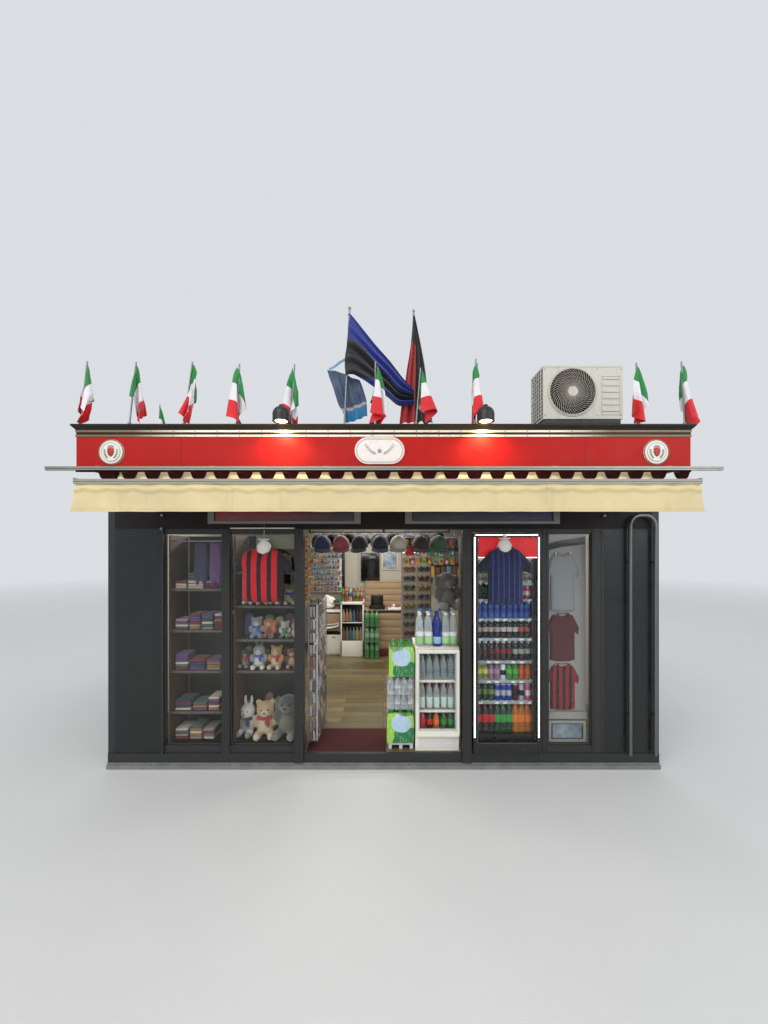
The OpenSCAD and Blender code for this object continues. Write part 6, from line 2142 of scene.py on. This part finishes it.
def back_goods():
    r1 = random.Random(11)
    pal = [C(206, 60, 50), C(226, 178, 60), C(60, 120, 180), C(70, 150, 90), C(226, 224, 216), C(40, 40, 48), C(150, 90, 160), C(230, 130, 50), C(120, 70, 44), C(90, 160, 190), C(200, 190, 170)]
    pal = [tuple(0.62 * q + 0.10 for q in c) if k % 2 else tuple(0.45 * q + 0.12 for q in c) for k, c in enumerate(pal)]
    g = Geo()
    # pegboard with rows of small carded goods, behind on the left
    x0, x1, y = -1.40, -0.78, 1.86
    g.add(*box_mesh((x0, y, 1.20), (x1, y + 0.018, 2.10), 0.003), 0)
    for zz in np.arange(1.27, 2.08, 0.105):
        g.add(*tube([(x0 + 0.01, y - 0.03, zz + 0.050), (x1 - 0.01, y - 0.03, zz + 0.050)], 0.003, 5), 1)
        x = x0 + 0.035
        while x < x1 - 0.03:
            w, h = r1.uniform(0.020, 0.032), r1.uniform(0.030, 0.040)
            c = r1.choice(pal)
            g.add(*box_mesh((x - w, y - 0.050, zz - h), (x + w, y - 0.044, zz + h), 0.002, 1), 2, r1.choice(pal))
            g.add(*box_mesh((x - w * 0.7, y - 0.062, zz - h * 0.7), (x + w * 0.7, y - 0.050, zz + h * 0.35), 0.005, 1), 2, c)
            x += w * 2 + 0.012
    # ledges below it with boxes
    for zz in (1.03, 0.925):
        g.add(*box_mesh((-1.40, 1.58, zz - 0.018), (-0.78, 1.88, zz), 0.003), 3)
        x = -1.37
        while x < -0.83:
            w, h = r1.uniform(0.03, 0.05), r1.uniform(0.04, 0.075)
            g.add(*box_mesh((x, 1.60, zz + 0.0005), (x + w, 1.66, zz + h), 0.002, 1), 2, r1.choice(pal))
            x += w + 0.01
    # rails and shelves with goods over the counter: bottles on the white cooler, frames, a dark screen
    gb = Geo()
    for k in range(6):
        bottle(gb, -0.725 + k * 0.066, 1.36, 1.0912, 0.26, 0.030, [C(60, 120, 60), C(190, 60, 50), C(206, 214, 214), C(120, 70, 30)][k % 4], pal[(k * 3) % 11], pal[(k * 5) % 11], n=10)
    for k in range(5):
        bottle(gb, -0.69 + k * 0.070, 1.46, 1.0912, 0.24, 0.030, [C(190, 150, 60), C(60, 120, 60), C(150, 40, 40)][k % 3], pal[(k * 7) % 11], pal[(k * 2) % 11], n=10)
    gb.make("back_counter_bottles", GOOD_MATS)
    g.make("back_wall_goods", [MM["board"], MM["chrome"], MM["carton"], MM["stand"]])
    g = Geo()
    # post, screen and pale board on the rear wall
    g.add(*box_mesh((-0.80, 1.84, 0.95), (-0.745, 1.90, 2.18), 0.004), 0)
    g.add(*box_mesh((-0.44, 1.885, 1.42), (-0.08, 1.925, 1.96), 0.010), 0)
    g.add(*box_mesh((-0.415, 1.8825, 1.47), (-0.105, 1.8855, 1.93), 0.003), 1)
    g.add(*box_mesh((-0.04, 1.915, 1.62), (0.275, 1.938, 2.00), 0.008), 2)
    g.add(*box_mesh((-0.015, 1.9125, 1.645), (0.25, 1.9155, 1.975), 0.002), 3)
    # long shelf with frames and boxes to the right
    for zz in (1.50, 1.78, 2.06):
        g.add(*box_mesh((0.40, 1.66, zz - 0.016), (2.40, 1.93, zz), 0.003), 4)
        x = 0.44
        while x < 2.30:
            w, h = r1.uniform(0.05, 0.11), r1.uniform(0.10, 0.22)
            g.add(*box_mesh((x, 1.72, zz + 0.0005), (x + w, 1.80, zz + h), 0.003, 1), 5, r1.choice(pal))
            x += w + r1.uniform(0.008, 0.03)
    g.make("back_wall_fittings", [MM["cooler_black"], MM["screen"], MM["frame_pale"], MM["picture"], MM["shelf_wood"], MM["carton"]])
    # packs of water by the counter, the white bag on the left cabinet, small cooler front
    g = Geo()
    for k in range(3):
        for i in range(3):
            for j in range(2):
                z = 0.135 + 0.275 * k
                bottle(g, -0.285 + i * 0.084, 1.13 + j * 0.084, z + 0.002, 0.268, 0.040, [C(84, 140, 92), C(96, 150, 110), C(80, 134, 92)][k], [C(58, 118, 74), C(150, 172, 150), C(58, 118, 74)][k], C(60, 140, 80), n=10, rot=i)
    g.make("back_drink_packs", GOOD_MATS)
    g = Geo()
    V, F, _ = blob_mesh([((-1.02, 1.66, 1.055), (0.13, 0.085, 0.10), W), ((-1.02, 1.66, 0.985), (0.14, 0.10, 0.065), W), ((-1.05, 1.64, 1.13), (0.05, 0.05, 0.05), W)], 0.014, fur=0.006)
    g.add(V, F, 0)
    # the rolled white cloth that hangs in a bow along the cabinet's front
    for z, r_, dip in ((0.705, 0.009, 0.030), (0.668, 0.020, 0.052)):
        arc = [(-1.232 + 0.44 * t / 12, 1.362 + 0.004 * math.sin(t * 1.7), z - dip * (1 - (t / 6 - 1) ** 2) + 0.004 * math.sin(t * 2.9)) for t in range(13)]
        g.add(*tube(arc, r_, 10), 0)
    g.make("white_bag", [MM["bag"]], sharp=180)
    # cabinet fronts: doors, gaps, handles; glass front of the small cooler with drinks
    g = Geo()
    lo, hi = (-1.254, 1.400, 0.135), (-0.770, 1.900, 0.914)
    g.add(*box_mesh((lo[0] - 0.004, lo[1] - 0.016, 0.894), (hi[0] + 0.004, lo[1] + 0.30, 0.9155), 0.003), 0)
    g.add(*box_mesh((lo[0] + 0.002, lo[1] - 0.014, 0.562), (hi[0] - 0.002, lo[1], 0.866), 0.003), 4)
    g.add(*box_mesh((lo[0] + 0.002, lo[1] - 0.012, 0.872), (hi[0] - 0.002, lo[1], 0.890), 0.002), 2)
    g.add(*box_mesh((lo[0] + 0.004, lo[1] - 0.004, 0.490), (hi[0] - 0.004, lo[1] - 0.001, 0.556), 0.001), 2)
    for i in range(2):
        a = lo[0] + 0.006 + i * 0.239
        g.add(*box_mesh((a, lo[1] - 0.016, 0.155), (a + 0.233, lo[1], 0.490), 0.003), 0)
        g.add(*tube([(a + q, lo[1] - 0.034, 0.452) for q in (0.084, 0.117, 0.150)], 0.0055, 6), 2)
        for q in (0.090, 0.144):
            g.add(*tube([(a + q, lo[1] - 0.034, 0.452), (a + q, lo[1] - 0.014, 0.452)], 0.004, 5), 2)
    x0, x1, y = -0.760, -0.353, 1.290
    for a, b in (((x0, y - 0.022, 0.135), (x0 + 0.022, y, 1.088)), ((x1 - 0.022, y - 0.022, 0.135), (x1, y, 1.088)), ((x0, y - 0.022, 1.050), (x1, y, 1.088)), ((x0, y - 0.022, 0.135), (x1, y, 0.41)), ((x0, y - 0.022, 0.72), (x1, y, 0.735))):
        g.add(*box_mesh(a, b, 0.003), 0)
    g.add(*box_mesh((x0 + 0.02, y - 0.004, 0.41), (x1 - 0.02, y - 0.002, 1.05), 0.0006, 1), 2)
    for r_, z in enumerate((0.425, 0.745)):
        for k in range(6):
            c = pal[(k * 3 + r_ * 4) % 11]
            v, f, mi = lathe([(0.012, 0), (0.026, 0.004), (0.027, 0.12), (0.024, 0.15), (0.011, 0.19), (0.010, 0.20), (0.013, 0.202), (0.013, 0.222), (0.001, 0.223)], 10)
            v = [(p[0], p[1] * 0.30, p[2]) for p in v]
            g.add(v, f, 3, c, M=move(x0 + 0.052 + k * 0.0605, y - 0.0125, z))
    g.make("back_cabinet_fronts", [MM["white_panel"], MM["chrome"], MM["screen"], MM["carton"], MM["oak"]])


MM["frame_pale"] = oak("frame_pale", (206, 190, 160), (176, 158, 126), "Z")
counter_details()
back_goods()


# ------------------------------------------------------------------ sunglasses, rack cards, hanging goods
def glasses_stand():
    g = Geo()
    r2 = random.Random(5)
    tints = [C(20, 20, 24), C(70, 40, 24), C(30, 40, 70), C(90, 24, 30), C(30, 30, 30), C(120, 90, 40), C(50, 70, 60)]
    k = 0
    for col_x in (0.300, 0.470):
        for i in range(10):
            z = 0.93 + i * 0.108
            c = tints[(i * 3 + (col_x > 0.4)) % 7]
            y = -1.0135
            for q in (-1, 1):
                g.add(*ball((0.028, 0.0045, 0.021), (col_x + q * 0.034, y - 0.012, z), 14, 8), 0, c)
                rim = [(col_x + q * 0.034 + 0.030 * math.cos(t), y - 0.012, z + 0.023 * math.sin(t)) for t in [j * math.pi / 8 for j in range(16)]]
                g.add(*tube(rim, 0.0026, 5, closed=True), 1, scaled3(c, 0.6))
                g.add(*tube([(col_x + q * 0.063, y - 0.012, z + 0.008), (col_x + q * 0.070, y - 0.006, z + 0.008), (col_x + q * 0.070, y + 0.0, z + 0.006)], 0.0026, 5), 1, scaled3(c, 0.6))
            g.add(*tube([(col_x - 0.010, y - 0.014, z + 0.006), (col_x, y - 0.017, z + 0.010), (col_x + 0.010, y - 0.014, z + 0.006)], 0.0024, 5), 1, scaled3(c, 0.6))
            g.add(*box_mesh((col_x - 0.072, y - 0.008, z - 0.034), (col_x + 0.072, y + 0.001, z - 0.028), 0.0015, 1), 2)
    # rounded frame and header card without print
    for x in (0.216, 0.554):
        g.add(*tube([(x, -1.0, 0.83 + i * 0.0573) for i in range(21)], 0.007, 8), 3)
    g.add(*tube([(0.216 + i * 0.0338, -1.0, 1.977) for i in range(11)], 0.007, 8), 3)
    g.add(*box_mesh((0.235, -1.004, 1.990), (0.535, -0.998, 2.044), 0.003), 2)
    g.make("sunglasses", [MM["lens"], MM["cap"], MM["stand"], MM["chrome"]])


MM["lens"] = tinted("lens_tint", 0.06, bump=0.0, var=0.05, Coat_Weight=0.6, Coat_Roughness=0.03)


def rack_cards():
    """Cards and booklets on the wire rack inside the left jamb, and the strip of metal charms beside it."""
    g = Geo()
    r3 = random.Random(21)
    pal = [C(220, 214, 200), C(196, 60, 50), C(70, 110, 170), C(222, 180, 80), C(90, 140, 100), C(236, 232, 224), C(60, 60, 70), C(180, 120, 90)]
    pale = [C(176, 174, 168), C(158, 160, 160), C(140, 138, 130), C(184, 176, 160), C(120, 130, 138), C(150, 122, 104), C(96, 100, 104), C(128, 96, 90)]
    z = 0.185
    while z < 1.42:
        for k in range(7):
            y = -1.866 + k * 0.080
            for d in range(4):
                t = 0.004 * d + r3.uniform(0, 0.002)
                h = r3.uniform(0.085, 0.105)
                v, f = box_mesh((-0.0006, y, 0), (0.0006, y + 0.070, h), 0.0004, 1)
                g.add(v, f, 0, r3.choice(pale), M=Matrix.Translation((-0.640 + t, 0, z)) @ Matrix.Rotation(math.radians(-9), 4, "Y"))
            # the wire pocket that holds them
            for zz in (z - 0.004, z + 0.036):
                g.add(*tube([(-0.6275 + 0.004, y - 0.004, zz), (-0.6275 + 0.004, y + 0.074, zz)], 0.0011, 4), 1)
        z += 0.118
    z = 0.185
    while z < 1.42:
        for d in range(3):
            hw, hh = (0.031, 0.080) if d == 0 else (r3.uniform(0.007, 0.013), r3.uniform(0.080, 0.104))
            v, f = box_mesh((-hw, -0.0006, 0), (hw, 0.0006, hh), 0.0004, 1)
            if d > 0:
                v = [(q[0] + (-0.017, 0.014)[d - 1], q[1], q[2]) for q in v]
            g.add(v, f, 0, C(84, 84, 80) if d == 0 else r3.choice(pale + [C(206, 204, 198), C(190, 188, 182)]), M=Matrix.Translation((-0.675, -1.8755 - 0.0025 * d, z + 0.004 * d)) @ Matrix.Rotation(math.radians(6), 4, "X"))
        g.add(*tube([(-0.712, -1.888, z - 0.002), (-0.638, -1.888, z - 0.002)], 0.0011, 4), 1)
        z += 0.118
    g.make("rack_cards", [MM["carton"], MM["chrome"]])
    g = Geo()
    for s_, x in enumerate((-0.728, -0.700)):
        for i in range(15):
            zz = 2.13 - i * 0.042
            c = [C(214, 150, 50), C(206, 120, 40), C(190, 160, 80), C(200, 90, 40)][(i + s_) % 4]
            v, f, _ = lathe([(0.001, 0.0), (0.011, 0.0), (0.0125, 0.0015), (0.011, 0.003), (0.001, 0.003)], 14)
            g.add([(p[0], -p[2], p[1]) for p in v], f, 0, c, M=move(x + 0.001 * math.sin(i * 2.3), -1.912, zz))
            g.add(*tube([(x, -1.9135, zz + 0.011), (x, -1.9135, zz + 0.030)], 0.0010, 4), 1)
        g.add(*tube([(x, -1.909, 2.17), (x, -1.909, 1.50)], 0.0014, 4), 1)
    g.make("charm_strings", [MM["gold_disc"], MM["chrome"]])


def hanging_goods():
    """Small goods on hooks at the right side of the doorway and over the low cooler."""
    g = Geo()
    r4 = random.Random(31)
    pal = [C(196, 206, 70), C(70, 120, 190), C(210, 70, 60), C(230, 226, 214), C(230, 160, 60), C(80, 160, 120)]
    g.add(*tube([(0.20 + i * 0.055, -1.80, 2.135) for i in range(10)], 0.005, 6), 1)
    for x in (0.21, 0.69):
        g.add(*tube([(x, -1.80, 2.135), (x, -1.80, 2.203)], 0.004, 6), 1)
    for i in range(9):
        x = 0.225 + i * 0.056
        for k in range(3):
            z = 2.075 - k * 0.088
            c = pal[(i * 2 + k * 3) % 6]
            g.add(*box_mesh((x - 0.021, -1.803, z - 0.034), (x + 0.021, -1.799, z + 0.034), 0.003, 1), 0, scaled3(c, 0.9))
            g.add(*ball((0.014, 0.008, 0.019), (x, -1.809, z - 0.006), 10, 6), 0, pal[(i + k) % 6])
            g.add(*tube([(x, -1.801, z + 0.034), (x, -1.801, z + 0.056)], 0.0012, 4), 1)
    # a small blank red tag
    g.add(*box_mesh((0.215, -1.850, 1.955), (0.292, -1.846, 2.045), 0.004, 1), 0, C(190, 30, 36))
    g.add(*tube([(0.253, -1.848, 2.045), (0.253, -1.83, 2.09), (0.253, -1.80, 2.132)], 0.0014, 4), 1)
    g.make("hanging_goods", [MM["carton"], MM["chrome"]])


glasses_stand()
rack_cards()
hanging_goods()


# ------------------------------------------------------------------ window A: folded cloth, bags and figures
def window_a():
    r5 = random.Random(41)
    g = Geo()
    pal = [C(96, 70, 120), C(120, 40, 50), C(50, 60, 90), C(150, 140, 130), C(70, 96, 84), C(200, 190, 176), C(160, 110, 60)]
    for zt in (0.206, 0.480, 0.865, 1.250, 1.640):
        x = -1.985
        while x < -1.60:
            w = r5.uniform(0.10, 0.15)
            n = r5.randint(3, 6)
            for i in range(n):
                c = r5.choice(pal)
                V, F = box_mesh((x, -1.885, zt + 0.0008 + i * 0.026), (x + w, -1.70, zt + 0.0008 + i * 0.026 + 0.023), 0.010, 3)
                V = np.array(V)
                V[:, 2] += np.array([0.003 * noise.noise(Vector((p[0] * 20, p[1] * 20, i + zt))) for p in V])
                V[:, 1] += np.array([0.004 * noise.noise(Vector((p[0] * 16, i * 3.0, zt))) for p in V])
                g.add(V, F, 0, c)
            x += w + 0.018
    # garment on the rail at the right
    out = [(-0.055, 0), (-0.062, -0.12), (-0.070, -0.30), (-0.040, -0.42), (0.0, -0.36), (0.045, -0.44), (0.066, -0.28), (0.060, -0.10), (0.050, 0)]
    v, f = puff(out, 0.022, step=0.012, edge=0.03, folds=0.02, seed=9)
    g.add(v, f, 0, C(104, 74, 128), M=Matrix.Translation((-1.585, -1.90, 2.08)))
    v, f = puff(out, 0.022, step=0.012, edge=0.03, folds=0.02, seed=12)
    g.add(v, f, 0, C(60, 56, 88), M=Matrix.Translation((-1.74, -1.88, 2.08)))
    g.add(*tube([(-2.01 + i * 0.1, -1.885, 2.095) for i in range(6)], 0.006, 8), 1)
    g.make("window_cloth_goods", [MM["shirt"], MM["chrome"]], sharp=60)
    # pale board at the top of the other window, price rails on both sets of shelves
    g = Geo()
    g.add(*box_mesh((-1.20, -1.925, 2.02), (-0.832, -1.915, 2.150), 0.002), 0)
    for zt in (0.865, 1.161, 1.480, 1.800):
        g.add(*box_mesh((-1.396, -1.9135, zt - 0.020), (-0.826, -1.9095, zt + 0.004), 0.0012), 1)
    for zt in (0.480, 0.865, 1.250, 1.640):
        g.add(*box_mesh((-2.010, -1.9135, zt - 0.020), (-1.505, -1.9095, zt + 0.004), 0.0012), 1)
    g.make("window_rails_trim", [MM["olive"], MM["shelf_lip"]])
    # rolled and bagged goods that fill the shelves behind the toys
    g = Geo()
    muted = [C(142, 154, 122), C(164, 142, 104), C(98, 116, 150), C(200, 196, 172), C(128, 110, 92), C(170, 96, 74), C(96, 134, 126), C(180, 168, 116)]
    for zt, top in ((0.206, 0.40), (0.865, 0.22), (1.161, 0.23), (1.480, 0.22)):
        x = -1.385
        while x < -0.885:
            w = min(r5.uniform(0.070, 0.115), -0.832 - x)
            h = top * r5.uniform(0.6, 1.0)
            out = [(-w * 0.5, 0), (w * 0.5, 0), (w * 0.52, h * 0.5), (w * 0.40, h * 0.92), (0, h), (-w * 0.42, h * 0.90), (-w * 0.53, h * 0.4)]
            v, f = puff(out, 0.020, step=0.012, edge=0.02, folds=0.012, seed=r5.randint(1, 999))
            g.add(v, f, 0, r5.choice(muted), M=Matrix.Translation((x + w / 2, -1.706, zt + 0.001)))
            x += w + 0.004
    g.make("window_back_goods", [MM["shirt"]], sharp=60)


MM["shelf_lip"] = paint("shelf_lip", (86, 83, 76), 0.45, 0.08, 9, streak=0.05)
MM["olive"] = paint("board_olive", (150, 150, 122), 0.5, 0.06, 6, streak=0.05)
window_a()


# ------------------------------------------------------------------ shopfront: gaskets, jamb grooves, locks, ceiling lights, roof joints
def shopfront():
    g = Geo()
    bays = [(-2.026, -1.491), (-1.417, -0.817), (1.527, 1.924)]
    for a, b in bays:
        z0, z1, y = 0.205, 2.164, -1.9785
        for p, q in (((a, z0), (a + 0.009, z1)), ((b - 0.009, z0), (b, z1)), ((a, z0), (b, z0 + 0.009)), ((a, z1 - 0.009), (b, z1))):
            g.add(*box_mesh((p[0], y, p[1]), (q[0], y + 0.0045, q[1]), 0.0012), 0)
    # beads on the door jambs
    for x0, x1 in ((-0.817, -0.734), (0.725, 0.808)):
        for x in (x0 + 0.004, (x0 + x1) / 2 - 0.006, x1 - 0.016):
            g.add(*box_mesh((x, -2.0345, 0.058), (x + 0.012, -2.0295, 2.203), 0.002), 1)
    for x0, x1, y in ((-1.491, -1.417, -2.010), (1.454, 1.527, -2.000), (1.924, 2.035, -2.000)):
        g.add(*box_mesh((x0 + 0.012, y - 0.003, 0.137), (x0 + 0.024, y + 0.001, 2.203), 0.0012), 1)
        g.add(*box_mesh((x1 - 0.024, y - 0.003, 0.137), (x1 - 0.012, y + 0.001, 2.203), 0.0012), 1)
    # drip edge under the header, and its light line over the left window
    g.add(*box_mesh((-2.48, -2.006, 2.198), (2.48, -1.999, 2.2055), 0.002), 1)
    g.add(*box_mesh((-1.415, -2.004, 2.2065), (-0.82, -1.9995, 2.2155), 0.001), 3)
    # knobs on the posts
    for x, z in ((-2.035, 2.330), (-2.032, 2.205), (2.030, 2.325)):
        v, f, _ = lathe([(0.004, 0), (0.006, 0.006), (0.013, 0.012), (0.014, 0.020), (0.010, 0.026), (0.001, 0.028)], 16)
        g.add([(p[0], -p[2], p[1]) for p in v], f, 2, M=move(x, -2.001 if z > 2.2055 else -2.0145, z))
    for x in (-2.26,):
        pass
    g.make("shopfront_beads", [MM["gasket"], MM["frame"], MM["galv"], MM["trim"]])
    # outer walls: joints of the sandwich panels with their battens and screws
    g = Geo()
    for s in (-1, 1):
        for y in (-1.0, 0.0, 1.0):
            g.add(*box_mesh((s * 2.5405 - 0.0025, y - 0.018, 0.112), (s * 2.5405 + 0.0025, y + 0.018, 2.736), 0.0015), 0)
            for k in range(9):
                g.add(*ball((0.003, 0.006, 0.006), (s * 2.5435, y, 0.25 + k * 0.295), 8, 5), 1)
        for y in (-1.994, 1.994):
            g.add(*box_mesh((s * 2.5405 - 0.0025, y - 0.006 if y > 0 else y - 0.005, 0.112), (s * 2.5405 + 0.0025, y + 0.006, 2.736), 0.0015), 0)
    for x in (-1.52, -0.51, 0.51, 1.52):
        g.add(*box_mesh((x - 0.018, 1.9985, 0.112), (x + 0.018, 2.0035, 2.736), 0.0015), 0)
        for k in range(9):
            g.add(*ball((0.006, 0.003, 0.006), (x, 2.0042, 0.25 + k * 0.295), 8, 5), 1)
    g.make("wall_battens", [MM["wall"], MM["galv"]])
    # ceiling lights and tracks
    g = Geo()
    for x, y, w, d in ((-1.2, -0.7, 0.70, 0.15), (1.1, -0.6, 0.70, 0.15), (-0.1, 0.9, 0.80, 0.15), (-0.05, -1.5, 0.50, 0.10)):
        g.add(*box_mesh((x - w - 0.02, y - d - 0.02, 2.585), (x + w + 0.02, y + d + 0.02, 2.5995), 0.004), 0)
        g.add(*box_mesh((x - w, y - d, 2.5815), (x + w, y + d, 2.5865), 0.002), 1)
    g.make("ceiling_lights", [MM["shelf_white"], MM["ceil_light"]])
    # roof: standing seams
    g = Geo()
    for i in range(11):
        x = -2.5 + i * 0.5
        g.add(*box_mesh((x - 0.009, -2.125, 3.0915), (x + 0.009, 2.125, 3.106), 0.003), 0)
    g.make("roof_seams", [MM["roof"]])
    # cover strips on the cornice's corners and lengths
    g = Geo()
    for x in (-1.35, 0.0, 1.35):
        if abs(x) > 0.2:
            g.add(*box_mesh((x - 0.02, -2.1985, 3.0985), (x + 0.02, -2.1965, 3.1125), 0.0008, 1), 0)
    for s in (-1, 1):
        for y in (-0.7, 0.7):
            g.add(*box_mesh((s * 2.7375 - 0.001, y - 0.02, 3.0985), (s * 2.7375 + 0.001, y + 0.02, 3.1125), 0.0008, 1), 0)
    g.make("cornice_straps", [MM["bronze"]])
    # awning: brackets, end caps of rail and bar, roller plugs, arm pins
    g = Geo()
    for x in (-2.9325, 2.9425):
        g.add(*box_mesh((x - 0.002, -2.2245, 2.7015), (x + 0.002, -2.1875, 2.7365), 0.0015), 0)
    for x in (-2.3695, 2.4355):
        g.add(*box_mesh((x - 0.004, -2.622, 2.516), (x + 0.004, -2.566, 2.563), 0.003), 0)
    for s in (-1, 1):
        for z in (2.531, 2.6215):
            g.add(*lathe([(0.018, 0), (0.020, 0.003), (0.014, 0.008), (0.001, 0.009)], 14)[:2], 1, M=move(s * 2.3, -2.09, z if z > 2.6 else z - 0.0))
    # groove lines along the rail and bar
    g.add(*box_mesh((-2.930, -2.2245, 2.716), (2.940, -2.2225, 2.7195), 0.0006, 1), 2)
    g.add(*box_mesh((-2.366, -2.6212, 2.5325), (2.432, -2.6192, 2.5360), 0.0006, 1), 2)
    g.make("awning_caps", [MM["bar"], MM["galv"], MM["frame"]])


shopfront()


def lining():
    """Pale inner skin of the room with its joints, and the dark backs of the window shelves."""
    g = Geo()
    for i in range(5):
        a, b = -2.472 + i * 0.989, -2.472 + (i + 1) * 0.989 - 0.004
        g.add(*box_mesh((a, 1.932, 0.136), (b, 1.9395, 2.598), 0.002), 0)
    for s_ in (-1, 1):
        for i in range(3):
            a, b = -1.50 + i * 1.14, -1.50 + (i + 1) * 1.14 - 0.004
            lo_, hi_ = sorted((s_ * 2.4795, s_ * 2.472))
            g.add(*box_mesh((lo_, a, 0.136), (hi_, b, 2.598), 0.002), 0)
    g.add(*box_mesh((-2.470, 1.920, 0.136), (2.470, 1.932, 0.216), 0.003), 1)
    g.make("room_lining", [MM["lining"], MM["shelf_wood"]])
    g = Geo()
    for a, b in ((-2.006, -1.520), (-1.394, -0.842)):
        g.add(*box_mesh((a, -1.5765, 0.137), (b, -1.5725, 2.150), 0.0015), 0)
        for z in (0.60, 1.05, 1.5, 1.95):
            g.add(*box_mesh((a, -1.5785, z), (b, -1.5765, z + 0.006), 0.001, 1), 1)
    g.make("shelf_backs", [MM["back_dark"], MM["dark_plastic"]])


MM["lining"] = paint("lining_pale", (158, 152, 140), 0.5, 0.08, 2, bump=0.04, streak=0.08)
MM["back_dark"] = paint("shelf_back", (60, 60, 54), 0.5, 0.2, 3, bump=0.05, streak=0.1)
lining()
